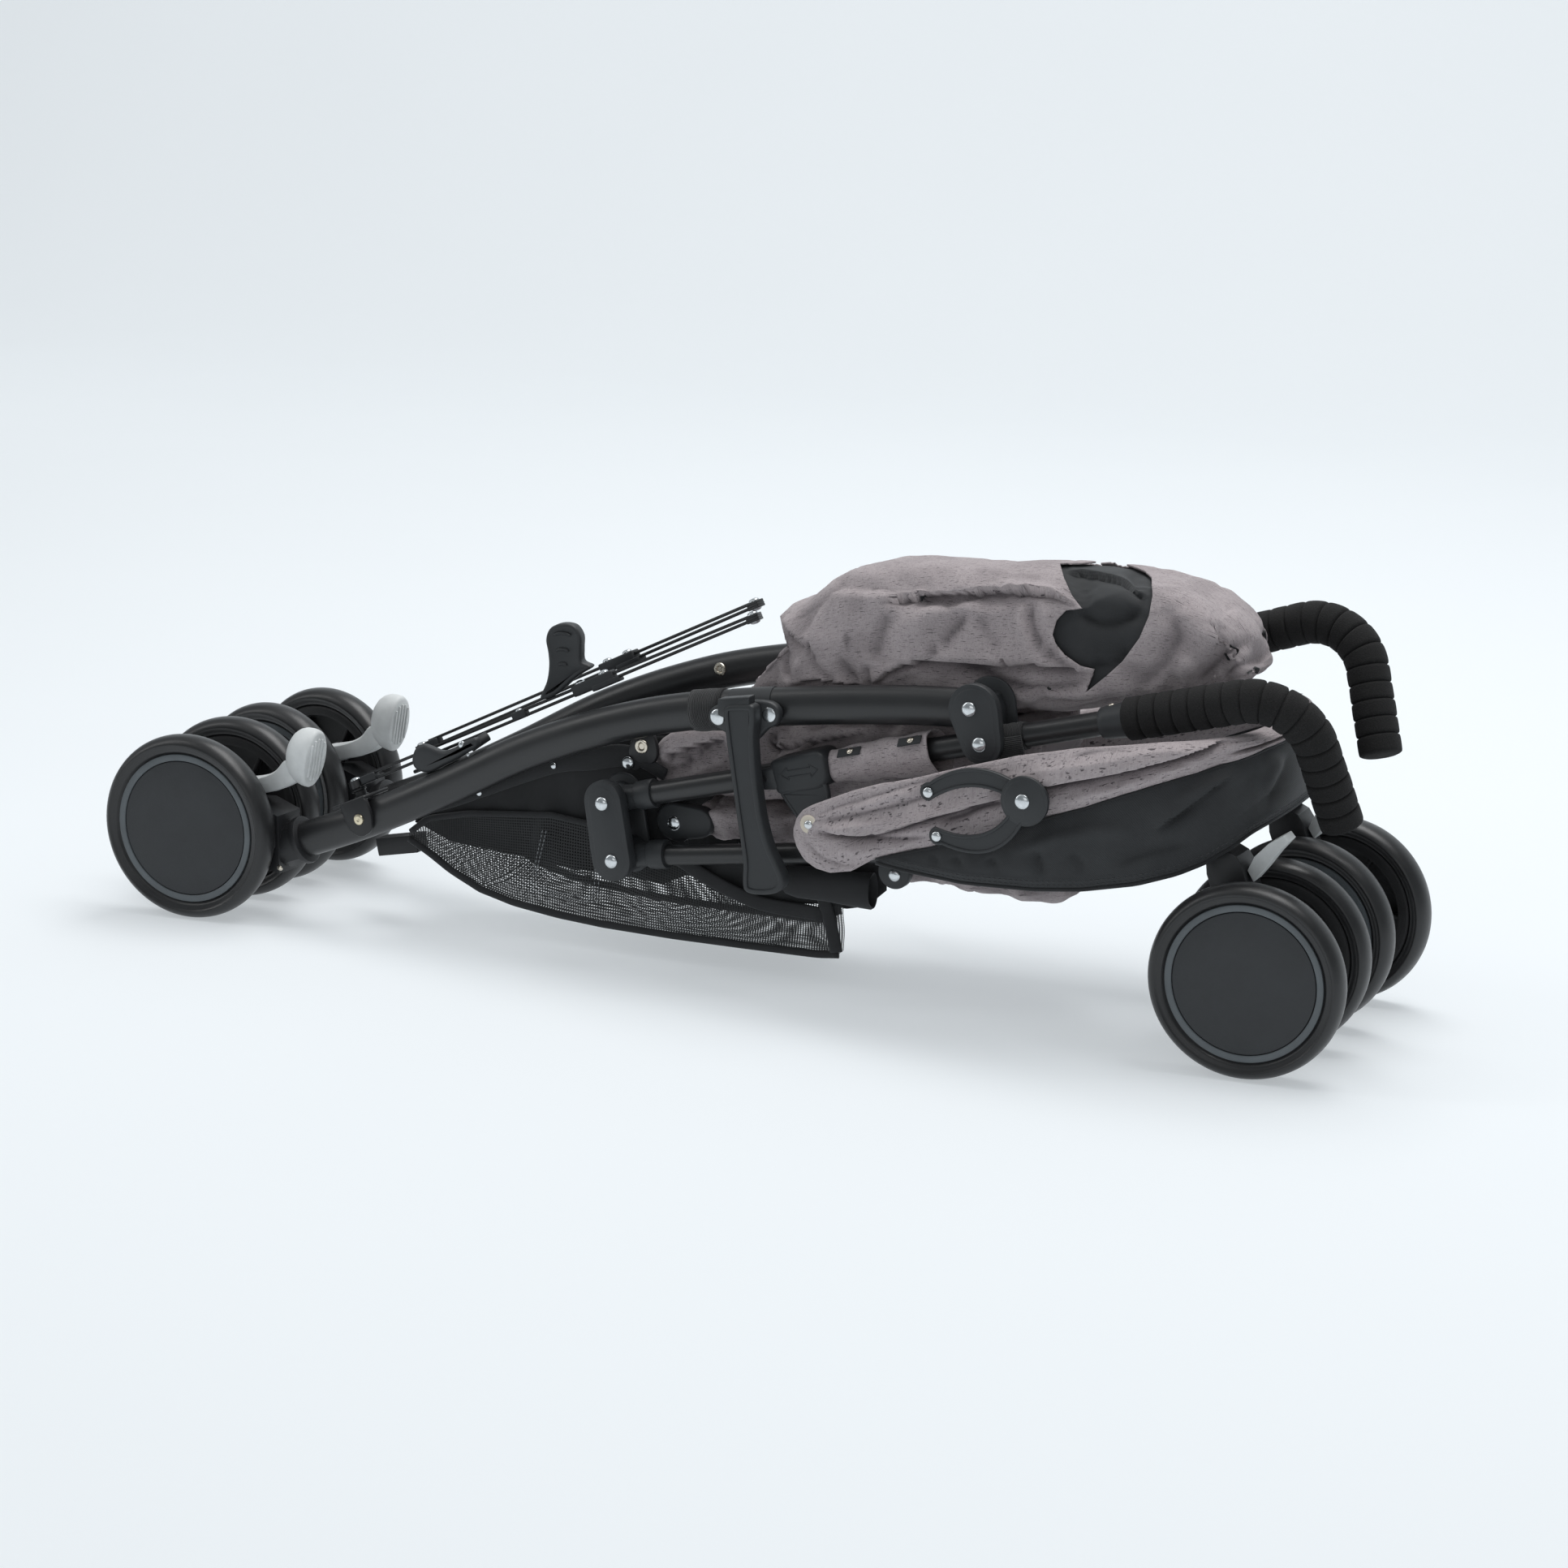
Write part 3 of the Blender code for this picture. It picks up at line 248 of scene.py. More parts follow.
def painted(name, color, rough):
    """Satin powder coat: orange peel, faint dust and rubbed streaks."""
    made = Recipe(name, color, rough, Specular_IOR_Level=0.5, Coat_Weight=0.15, Coat_Roughness=0.3)
    where = made.space()
    peel = made.noise(where, 620, 2)
    cloud = made.noise(where, 24, 4)
    specks = made.noise(where, 1300, 3, 0.7)
    made.color(made.mix(made.spread(specks, 0.72, 0.9, 0, 0.16),
                        made.mix(made.spread(cloud, 0.3, 0.7), tone(color, 0.85), tone(color, 1.2)),
                        (0.18, 0.18, 0.18)))
    made.roughness(made.spread(made.sum(cloud, specks, 0.5), 0.4, 1.1, rough - 0.06, rough + 0.14))
    made.bump(peel, 0.18, 0.0003)
    return made.material


def rubber(name, color):
    """Tyre rubber: cloudy gloss, grey scuffs and a fine grain."""
    made = Recipe(name, color, 0.36, Specular_IOR_Level=0.5)
    where = made.space()
    cloud = made.noise(where, 30, 5, 0.6)
    scuff = made.noise(made.space(turn=(0.6, 0.2, 0.9)), 210, 5, 0.75)
    fine = made.noise(where, 2100, 2)
    dusty = made.mix(made.spread(cloud, 0.35, 0.75), tone(color, 0.8), tone(color, 1.25))
    made.color(made.mix(made.spread(scuff, 0.62, 0.8, 0, 0.16), dusty, (0.13, 0.125, 0.12)))
    made.roughness(made.spread(made.sum(cloud, scuff, 0.5), 0.45, 1.1, 0.27, 0.46))
    made.bump(fine, 0.16, 0.00025)
    made.bump(scuff, 0.10, 0.0004)
    return made.material


def foam(name, color):
    """Closed foam: small pores and no gloss."""
    made = Recipe(name, color, 0.92, Specular_IOR_Level=0.2,
                  Sheen_Weight=0.06, Sheen_Roughness=0.5, Sheen_Tint=(0.5, 0.5, 0.52, 1))
    where = made.space()
    pores = made.cells(where, 1500)
    cloud = made.noise(where, 45, 4)
    shade = made.spread(made.sum(pores, cloud, 0.6), 0.35, 1.1)
    made.color(made.mix(shade, tone(color, 0.7), tone(color, 1.35)))
    made.bump(pores, 0.55, 0.0006)
    return made.material


def melange(name, base, dark, pale):
    """Plain weave of mixed yarn: short dark slubs both ways over a warm grey."""
    made = Recipe(name, base, 0.93, Specular_IOR_Level=0.18,
                  Sheen_Weight=0.12, Sheen_Roughness=0.6, Sheen_Tint=(0.9, 0.86, 0.87, 1))
    cloth = made.space("UV")
    weft = made.noise(made.space("UV", scale=(230, 1500, 1)), 1, 3, 0.6)
    warp = made.noise(made.space("UV", scale=(1500, 250, 1)), 1, 3, 0.6)
    long_slub = made.noise(made.space("UV", scale=(120, 1350, 1)), 1, 2, 0.5)
    cloud = made.noise(cloth, 26, 4)
    yarn = made.mix(made.spread(made.sum(weft, warp), 0.75, 1.3), tone(base, 0.86), pale)
    slub = made.mix(made.spread(weft, 0.57, 0.68, 0, 0.9), yarn, dark)
    slub = made.mix(made.spread(warp, 0.60, 0.70, 0, 0.8), slub, dark)
    slub = made.mix(made.spread(long_slub, 0.62, 0.69, 0, 0.95), slub, tone(dark, 0.6))
    mottled = made.mix(made.spread(cloud, 0.3, 0.75, 0, 0.22), slub, tone(base, 0.72))
    # Painted shade in the creases and a painted highlight on the fold crests, from the cloth's fold
    # attribute.
    made.color(made.painted_fold_shading(mottled, tone(dark, 0.7), tone(pale, 1.12)))
    across = made.stripes(cloth, 330, "X")
    along = made.stripes(cloth, 330, "Y")
    made.bump(made.sum(across, along, 1, "MULTIPLY"), 0.35, 0.00035)
    made.bump(made.sum(weft, warp), 0.4, 0.0006)
    return made.material


def black_cloth(name, color, pitch=420, rough=0.78, twill=True):
    """Dense black polyester: fine diagonal weave with a soft sheen."""
    made = Recipe(name, color, rough, Specular_IOR_Level=0.3,
                  Sheen_Weight=0.18, Sheen_Roughness=0.45, Sheen_Tint=(0.75, 0.78, 0.8, 1))
    cloth = made.space("UV")
    weave = made.stripes(cloth, pitch, "DIAGONAL" if twill else "X")
    cross = made.stripes(cloth, pitch, "Y")
    cloud = made.noise(cloth, 30, 5)
    lint = made.noise(made.space("UV", scale=(500, 500, 1)), 1, 5, 0.8)
    shade = made.mix(made.spread(cloud, 0.3, 0.7), tone(color, 0.86), tone(color, 1.16))
    linted = made.mix(made.spread(lint, 0.72, 0.85, 0, 0.14), shade, (0.2, 0.2, 0.21))
    # Painted shade in the creases and a painted highlight on the fold crests, from the cloth's fold
    # attribute.
    made.color(made.painted_fold_shading(linted, tone(color, 0.25), tone(color, 1.9)))
    made.bump(made.sum(weave, cross, 0.6), 0.3, 0.0003)
    made.bump(cloud, 0.25, 0.0015)
    return made.material


def webbing(name, color):
    """Woven band with raised ribs."""
    made = Recipe(name, color, 0.75, Specular_IOR_Level=0.3, Sheen_Weight=0.2)
    cloth = made.space("UV")
    ribs = made.stripes(cloth, 250, "X")
    cross = made.stripes(cloth, 520, "Y")
    made.color(made.mix(made.sum(ribs, cross, 0.5, "MULTIPLY"), tone(color, 0.5), tone(color, 1.6)))
    made.bump(ribs, 0.8, 0.0006)
    made.bump(cross, 0.5, 0.0004)
    return made.material


def bright(name, color, rough):
    """Plated steel with small scratches."""
    made = Recipe(name, color, rough, Metallic=1)
    where = made.space(turn=(0.3, 0.5, 0.8))
    scratch = made.noise(made.space(scale=(300, 4000, 900)), 1, 3)
    cloud = made.noise(where, 400, 4)
    made.roughness(made.spread(made.sum(cloud, scratch, 0.6), 0.5, 1.2, rough, rough + 0.18))
    made.color(made.mix(made.spread(cloud, 0.4, 0.7), tone(color, 0.86), color))
    made.bump(scratch, 0.08, 0.0002)
    return made.material


TYRE = rubber("tyre_rubber", (0.017, 0.0173, 0.0183))
DISC = moulded("hub_disc", (0.031, 0.0335, 0.0365), 0.55, 0.45, 1500, 0.05)
RING = moulded("hub_ring", (0.104, 0.118, 0.127), 0.42, 0.2)
HUB_BACK = moulded("hub_back", (0.018, 0.018, 0.019), 0.5)
PLASTIC = moulded("black_moulding", (0.026, 0.0285, 0.031), 0.45)
DARK_PLASTIC = moulded("dark_moulding", (0.014, 0.0145, 0.016), 0.4)
GREY = moulded("grey_moulding", (0.66, 0.68, 0.68), 0.42, 0.2, 2600, 0)
PAINT = painted("satin_black_paint", (0.0135, 0.014, 0.015), 0.33)
FOAM = foam("grip_foam", (0.0168, 0.0165, 0.0165))
MELANGE = melange("melange_cloth", (0.385, 0.338, 0.346), (0.062, 0.052, 0.06), (0.52, 0.465, 0.475))
BLACK = black_cloth("black_cloth", (0.033, 0.0345, 0.0365))
BINDING = black_cloth("black_binding", (0.018, 0.0185, 0.02), 900, 0.7, False)
NET = black_cloth("net_yarn", (0.02, 0.021, 0.022), 1200, 0.5, False)
WEBBING = webbing("black_webbing", (0.02, 0.0205, 0.022))
STEEL = bright("plated_steel", (0.72, 0.75, 0.77), 0.12)
NICKEL = bright("warm_nickel", (0.74, 0.68, 0.58), 0.18)
THREAD = moulded("grey_thread", (0.2, 0.21, 0.22), 0.5, 0.4, 3000)
DARK_THREAD = moulded("dark_thread", (0.045, 0.046, 0.048), 0.5, 0.4, 3000)
CREAM = moulded("cream_washer", (0.62, 0.56, 0.47), 0.45, 0.2, 2600, 0)
BRASS = bright("screw_brass", (0.78, 0.70, 0.52), 0.2)

# Materials that share a slot. Metal parts and the washers have none.
SLOTS = {
    "tyre": (TYRE,),
    "hub": (DISC, RING, HUB_BACK),
    "black_plastic": (PLASTIC, DARK_PLASTIC),
    "grey_plastic": (GREY,),
    "frame_paint": (PAINT,),
    "foam": (FOAM,),
    "melange_fabric": (MELANGE,),
    "black_fabric": (BLACK, BINDING, WEBBING, DARK_THREAD),
    "mesh_fabric": (NET, THREAD),
}


# Mesh helpers. Meshes are drawn in millimetres and placed by piece().


def rows_mesh(rows, round_rows=True, caps=True):
    """Surface through rows of points. round_rows closes each row on itself."""
    bm = bmesh.new()
    layer = bm.loops.layers.uv.new("UVMap")
    grid = [[bm.verts.new(p) for p in row] for row in rows]
    count = len(rows[0])
    last = count if round_rows else count - 1
    along = [0]
    for first, second in zip(rows, rows[1:]):
        steps = [(Vector(b) - Vector(a)).length for a, b in zip(first, second)]
        along.append(along[-1] + sum(steps) / len(steps))
    middle = rows[len(rows) // 2]
    round_up = [0]
    for i in range(count):
        step = (Vector(middle[(i + 1) % count]) - Vector(middle[i])).length
        round_up.append(round_up[-1] + step)
    for i in range(len(rows) - 1):
        for j in range(last):
            k = (j + 1) % count
            corners = (grid[i][j], grid[i][k], grid[i + 1][k], grid[i + 1][j])
            face = bm.faces.new(corners)
            places = ((i, j), (i, j + 1), (i + 1, j + 1), (i + 1, j))
            for loop, (a, b) in zip(face.loops, places):
                loop[layer].uv = (along[a] * MM, round_up[b] * MM)
    if caps and round_rows:
        for row in (grid[0], grid[-1]):
            if len({tuple(round(c, 4) for c in v.co) for v in row}) > 2:
                bm.faces.new(row)
    bmesh.ops.remove_doubles(bm, verts=bm.verts, dist=1e-4)
    bmesh.ops.recalc_face_normals(bm, faces=bm.faces)
    return bm


def lathe(profile, sides, matrix):
    """Turned solid from (radius, height) points. Radius 0 closes an end."""
    rows = []
    for radius, height in profile:
        row = []
        for i in range(sides):
            a = 2 * math.pi * i / sides
            row.append(Vector((radius * math.cos(a), radius * math.sin(a), height)))
        rows.append(row)
    bm = rows_mesh(rows, True, False)
    bm.transform(matrix)
    return bm


def ring_lathe(profile, sides, matrix):
    """Turned ring: the profile closes on itself."""
    return lathe(list(profile) + [profile[0]], sides, matrix)


def span_points(a, b, c, d, steps):
    """Points from b towards c on the smooth curve through a, b, c and d."""
    found = []
    for s in range(steps):
        t = s / steps
        found.append(0.5 * ((2 * b) + (c - a) * t + (2 * a - 5 * b + 4 * c - d) * t * t
                            + (3 * b - a - 3 * c + d) * t ** 3))
    return found


def smooth_line(points, steps):
    """Curve through points, steps to each span."""
    points = [Vector(p) for p in points]
    padded = [points[0] * 2 - points[1]] + points + [points[-1] * 2 - points[-2]]
    found = []
    for i in range(1, len(padded) - 2):
        found += span_points(*padded[i - 1:i + 3], steps)
    return found + [points[-1]]


def smooth_loop(points, steps):
    """Closed curve through points."""
    points = [Vector(p) for p in points]
    count = len(points)
    found = []
    for i in range(count):
        found += span_points(*(points[(i + k) % count] for k in (-1, 0, 1, 2)), steps)
    return found


def round_angles(count):
    """Even angles once round."""
    return np.linspace(0, 2 * math.pi, count, endpoint=False)


def headings(path):
    """Direction of travel at each point of a path."""
    found = []
    for i in range(len(path)):
        found.append((path[min(i + 1, len(path) - 1)] - path[max(i - 1, 0)]).normalized())
    return found


def tube_rows(path, radius, sides, across):
    """Rows round a path. radius is a number, a pair (up, across) or a function of the row."""
    rows = []
    for i, (point, along) in enumerate(zip(path, headings(path))):
        size = radius(i) if callable(radius) else radius
        tall, wide = size if isinstance(size, tuple) else (size, size)
        up = across.cross(along).normalized()
        side = along.cross(up).normalized()
        rows.append([point + up * (tall * math.sin(2 * math.pi * j / sides))
                     + side * (wide * math.cos(2 * math.pi * j / sides)) for j in range(sides)])
    return rows


def tube(path, radius, sides, across=ACROSS):
    return rows_mesh(tube_rows([Vector(p) for p in path], radius, sides, across))


def rod(start, end, radius, sides):
    return tube([Vector(start), Vector(end)], radius, sides, best_across(Vector(end) - Vector(start)))


def best_across(heading):
    """A direction well across the heading."""
    return ACROSS if abs(heading.normalized().y) < 0.9 else Vector((1, 0, 0))


def merge(*parts):
    """One bmesh holding all the parts."""
    whole = bmesh.new()
    for part in parts:
        mesh = bpy.data.meshes.new("part")
        part.to_mesh(mesh)
        part.free()
        whole.from_mesh(mesh)
        bpy.data.meshes.remove(mesh)
    return whole


def offset_outline(outline, distance):
    """Outline moved inwards by distance, along the mean normal at each corner."""
    count = len(outline)
    area = sum(outline[i][0] * outline[(i + 1) % count][1] - outline[(i + 1) % count][0] * outline[i][1]
               for i in range(count))
    turn = 1 if area > 0 else -1
    found = []
    for i in range(count):
        before, here, after = (Vector(outline[(i + k) % count][:2]) for k in (-1, 0, 1))
        first, second = (here - before).normalized(), (after - here).normalized()
        normal = Vector((-(first + second).y, (first + second).x))
        if normal.length < 1e-6:
            normal = Vector((-first.y, first.x))
        normal = normal.normalized() * turn
        stretch = 1 / max(0.45, Vector((-first.y, first.x)).dot(normal) * turn)
        moved = here + normal * distance * min(stretch, 1.6)
        found.append((moved.x, moved.y))
    return found


def slab(outline, levels):
    """Plate drawn in the xz plane. levels are (inset, y) rings from back to front."""
    rows = []
    for inset, y in levels:
        rows.append([Vector((x, y, z)) for x, z in offset_outline(outline, inset)])
    return rows_mesh(rows)


def soft_slab(outline, y_back, y_front, edge):
    """Plate with rounded edges on both faces."""
    step = edge if y_front > y_back else -edge
    levels = [(edge, y_back), (edge * 0.35, y_back + step * 0.35), (0, y_back + step), (0, y_front - step),
              (edge * 0.35, y_front - step * 0.35), (edge, y_front)]
    return slab(outline, levels)


def arc(centre, radius, start, end, count):
    """Points of a circle from one angle to another, in degrees."""
    found = []
    for i in range(count):
        a = math.radians(start + (end - start) * i / (count - 1))
        found.append((centre[0] + radius * math.cos(a), centre[1] + radius * math.sin(a)))
    return found


def stadium(first, second, r_first, r_second, count):
    """Outline round two circles, given as (x, z) centres."""
    dx, dz = second[0] - first[0], second[1] - first[1]
    heading = math.degrees(math.atan2(dz, dx))
    lean = math.degrees(math.asin((r_first - r_second) / math.hypot(dx, dz)))
    head = arc(second, r_second, heading - 90 + lean, heading + 90 - lean, count)
    tail = arc(first, r_first, heading + 90 - lean, heading + 270 + lean, count)
    return head + tail


def rounded_box(size, radius, matrix, cuts=3):
    """Box whose edges are rounded."""
    bm = bmesh.new()
    bmesh.ops.create_cube(bm, size=1)
    bmesh.ops.scale(bm, vec=size, verts=bm.verts)
    bmesh.ops.bevel(bm, geom=list(bm.edges), offset=radius, segments=cuts, profile=0.5, affect="EDGES")
    bm.transform(matrix)
    return bm


def facing(centre, heading):
    """Matrix at centre whose +Z points along heading."""
    z = Vector(heading).normalized()
    x = UP.cross(z)
    if x.length < 1e-4:
        x = Vector((1, 0, 0)).cross(z)
    x.normalize()
    turn = Matrix((x, z.cross(x), z)).transposed().to_4x4()
    return Matrix.Translation(centre) @ turn


def dome(centre, heading, radius=5.4, height=2.9):
    """Domed rivet head standing on a face."""
    profile = [(0, height)]
    for i in range(1, 9):
        a = math.pi * 0.5 * i / 8
        profile.append((radius * math.sin(a), 0.925 * height * math.cos(a) + 0.3))
    profile[0] = (0, profile[1][1] + 0.04)
    profile += [(radius, 0), (radius * 0.4, -0.6), (0, -0.6)]
    return lathe(profile, 28, facing(centre, heading))


def eyelet(centre, heading, radius, hole):
    """Rolled eyelet with a sunk middle."""
    profile = [(radius, -0.4), (radius, 0.3), (radius * 0.93, 0.85), (radius * 0.75, 1.1),
               (hole * 1.25, 0.95), (hole, 0.35), (hole * 0.96, -0.4)]
    sunk = lathe([(0, 0.1), (hole * 0.9, 0.1), (hole, -0.4), (0, -0.4)], 20, facing(centre, heading))
    return merge(ring_lathe(profile, 28, facing(centre, heading)), sunk)


def screw(centre, heading, radius):
    """Pan head with a cross recess."""
    head = [(0, 1.15), (0.5, 1.15), (0.9, 1.5), (radius * 0.6, 1.7), (radius * 0.9, 1.2), (radius, 0.35),
            (radius, -0.5), (0, -0.5)]
    return lathe(head, 24, facing(centre, heading))


def to_object(name, bm, matrix=IDENTITY):
    """Object in the row frame from a drawing in millimetres."""
    mesh = bpy.data.meshes.new(name)
    bm.transform(matrix)
    if matrix.determinant() < 0:
        bmesh.ops.reverse_faces(bm, faces=bm.faces)
    bm.transform(Matrix.Scale(MM, 4) @ Matrix.Translation((AXLE_X, 0, 0)))
    bm.to_mesh(mesh)
    bm.free()
    made = bpy.data.objects.new(name, mesh)
    bpy.context.scene.collection.objects.link(made)
    return made


def declare(material, replaces):
    """Finds the slot of the piece's material, which is not kept, and hides the CAD node that the piece
    replaces.
    """
    slot = next((name for name, members in SLOTS.items() if material in members), None)
    if replaces:
        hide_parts(replaces)


def piece(name, bm, material, body, matrix=IDENTITY, replaces=None, angle=38):
    """Finished piece riding on a body. bm is a bmesh in drawing millimetres."""
    made = to_object(name, bm, matrix)
    made.data.materials.append(material)
    made.data.shade_smooth()
    if angle < 180:
        made.data.set_sharp_from_angle(angle=math.radians(angle))
    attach(made, body)
    declare(material, replaces)
    return made


def dress(node, material, width):
    """Better finish for a CAD node that stays: rounded edges and its material."""
    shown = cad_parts[node]
    shown.data.materials.clear()
    shown.data.materials.append(material)
    weld = shown.modifiers.new("weld", "WELD")
    weld.merge_threshold = 0.00002
    edge = shown.modifiers.new("edge", "BEVEL")
    edge.width = width * MM
    edge.segments = 3
    edge.limit_method = "ANGLE"
    edge.angle_limit = math.radians(28)
    edge.use_clamp_overlap = True
    edge.harden_normals = True
    shown.data.shade_smooth()


# Wheels. Each set: axle, radius, toe in degrees and spacing of the pair.

WHEEL_SETS = (("rear", REAR_AXLE, 73, 5, 70), ("front", FRONT_AXLE, 67, 4, 71))
WHEEL_SIDES = 112
HUB_RIBS = 6


def wheel_matrix(axle, toe, spacing, place_in_pair):
    """Place of one wheel of a pair, its outer face along +Z."""
    angle = math.radians(toe)
    out = Vector((math.sin(angle), -math.cos(angle), 0))
    centre = axle + out * (0.5 * spacing * place_in_pair)
    face = out * place_in_pair
    turn = Matrix((UP.cross(face), UP, face)).transposed().to_4x4()
    return Matrix.Translation(centre) @ turn


def tyre(radius, matrix):
    """Hollow-shouldered tyre: flat side wall, a fine ridge, then the round crown."""
    half = [(0.800, 7.6), (0.822, 7.9), (0.829, 9.3), (0.842, 10.1), (0.868, 10.6), (0.893, 11),
            (0.900, 11.7), (0.909, 12), (0.925, 11.7), (0.945, 10.7), (0.964, 9.2), (0.980, 7.2),
            (0.991, 4.9), (0.998, 2.4), (1, 0)]
    profile = [(radius * r, h) for r, h in half] + [(radius * r, -h) for r, h in half[-2::-1]]
    return ring_lathe(profile, WHEEL_SIDES, matrix)


def hub_parts(radius, matrix):
    """Flat disc, pale ring with grooves each side, and the ribbed hollow back."""
    disc_edge, ring_edge = 0.728 * radius, 0.812 * radius
    disc = lathe([
        (0, 8.55), (disc_edge * 0.5, 8.5), (disc_edge - 1, 8.35), (disc_edge - 0.3, 8.1), (disc_edge, 7.4),
        (disc_edge, 6.6), (0, 6.6),
    ], WHEEL_SIDES, matrix)
    ring = ring_lathe([
        (disc_edge + 0.5, 6.4), (disc_edge + 0.5, 8.2), (disc_edge + 1, 8.75), (ring_edge - 1.4, 9.1),
        (ring_edge - 0.7, 8.8), (ring_edge - 0.4, 8.2), (ring_edge - 0.4, 6.4),
    ], WHEEL_SIDES, matrix)
    rim = 0.798 * radius
    back = lathe([
        (0, 6.3), (ring_edge - 0.6, 6.3), (ring_edge - 0.6, 7.2), (rim, 7), (rim, -7),
        (ring_edge - 0.2, -7.4), (ring_edge, -8.4), (ring_edge - 1.2, -9.6), (rim - 4.5, -9.9),
        (rim - 6.5, -9.2), (rim - 7.6, -6), (rim - 8.4, 1.2), (rim - 10.5, 2.8), (16, 2.8), (14.5, 1.2),
        (12.8, -9.6), (11.6, -11), (5.4, -11), (4.4, -10.2), (4.4, 2.6), (0, 2.6),
    ], WHEEL_SIDES, matrix)
    ribs = []
    for i in range(HUB_RIBS):
        turn = Matrix.Rotation(2 * math.pi * i / HUB_RIBS, 4, "Z")
        length = rim - 8.5 - 12
        place = matrix @ turn @ Matrix.Translation((12 + 0.5 * length, 0, -0.6))
        ribs.append(rounded_box((length, 2.6, 7), 0.5, place, 2))
    return disc, ring, merge(back, *ribs)


def wheels(axle_name, axle, radius, toe, spacing, side):
    """Pair of wheels on one axle of one side."""
    matrix = side_matrix(side, "rear_wheels" if axle_name == "rear" else "front")
    for label, place_in_pair in (("outer", 1), ("inner", -1)):
        local = wheel_matrix(axle, toe, spacing, place_in_pair)
        body = f"{axle_name}_wheel_{side}_{label}"
        stem = f"{axle_name}_{side}_{label}"
        piece(f"tyre_{stem}", tyre(radius, local), TYRE, body, matrix,
              replaces=f"{axle_name}_tyre_{side}_{label}", angle=60)
        disc, ring, back = hub_parts(radius, local)
        piece(f"disc_{stem}", disc, DISC, body, matrix, replaces=f"{axle_name}_hub_{side}_{label}",
              angle=30)
        piece(f"ring_{stem}", ring, RING, body, matrix, angle=40)
        piece(f"hub_back_{stem}", back, HUB_BACK, body, matrix, angle=40)


for _, side in SIDES:
    for wheel_set in WHEEL_SETS:
        wheels(*wheel_set, side)


# Tubes.

LEG_CENTRES = [
    (72, 59), (142, 86), (216, 120), (289, 156), (359, 182), (426, 199), (525, 213), (600, 220.5),
    (649, 223),
]


LEG_RADII = (14, 11)


def rear_leg(side):
    """Curved oval tube with its pivot eye."""
    path = smooth_line([(x, SIDE_Y, z) for x, z in LEG_CENTRES], 8)
    tall, wide = LEG_RADII
    body = tube(path, LEG_RADII, 40)
    eye = rod(UPPER_PIVOT - ACROSS * wide, UPPER_PIVOT + ACROSS * wide, tall, 40)
    piece(f"leg_tube_{side}", merge(body, eye), PAINT, f"rear_leg_{side}", side_matrix(side, "leg"),
          replaces=f"rear_leg_{side}", angle=50)


HANDLE_RADIUS = 8.5
FRONT_RADIUS = 7.5

# Foam hook, in distances along the handle tube and along the hook.
GRIP_START = 411.5
FAR_GRIP_SHIFT = 12
GRIP_STRAIGHT = 80
GRIP_BEND_RADIUS = 42
GRIP_BEND = math.radians(90)
GRIP_DROP = 59
GRIP_RADIUS = 15
GRIP_SEGMENTS = 17
GRIP_TURN = 18
GRIP_SIDES = 44
GRIP_STEPS = 12
GROOVE_DEPTH = 1.7


def grip_start(side):
    return GRIP_START + (FAR_GRIP_SHIFT if side == "far" else 0)


def handle_tube(side):
    """Straight tube from the lower joint into the grip."""
    start, end = handle_point(20), handle_point(grip_start(side) + 40)
    tube_part = tube(smooth_line([start, end], 6), HANDLE_RADIUS, 36)
    piece(f"handle_bar_{side}", tube_part, PAINT, f"{side}_frame", side_matrix(side, "handle"),
          replaces=f"handle_tube_{side}", angle=50)


def grip_path(distance, side):
    """Centre, heading and outward direction of the hook at a distance."""
    turn = Matrix.Rotation(math.radians(GRIP_TURN), 3, HANDLE_ALONG)
    down_axis = turn @ HANDLE_DOWN
    side_axis = HANDLE_ALONG.cross(down_axis)
    bend = GRIP_BEND_RADIUS * GRIP_BEND
    total = GRIP_STRAIGHT + bend + GRIP_DROP
    along = min(distance, GRIP_STRAIGHT)
    angle = min(max(distance - GRIP_STRAIGHT, 0), bend) / GRIP_BEND_RADIUS
    extra = max(distance - GRIP_STRAIGHT - bend, 0)
    heading = HANDLE_ALONG * math.cos(angle) + down_axis * math.sin(angle)
    outer = down_axis * math.cos(angle) - HANDLE_ALONG * math.sin(angle)
    centre = (handle_point(grip_start(side)) + HANDLE_ALONG * (along + GRIP_BEND_RADIUS * math.sin(angle))
              + down_axis * (GRIP_BEND_RADIUS * (1 - math.cos(angle))) + heading * extra)
    return centre, heading, outer, side_axis, total


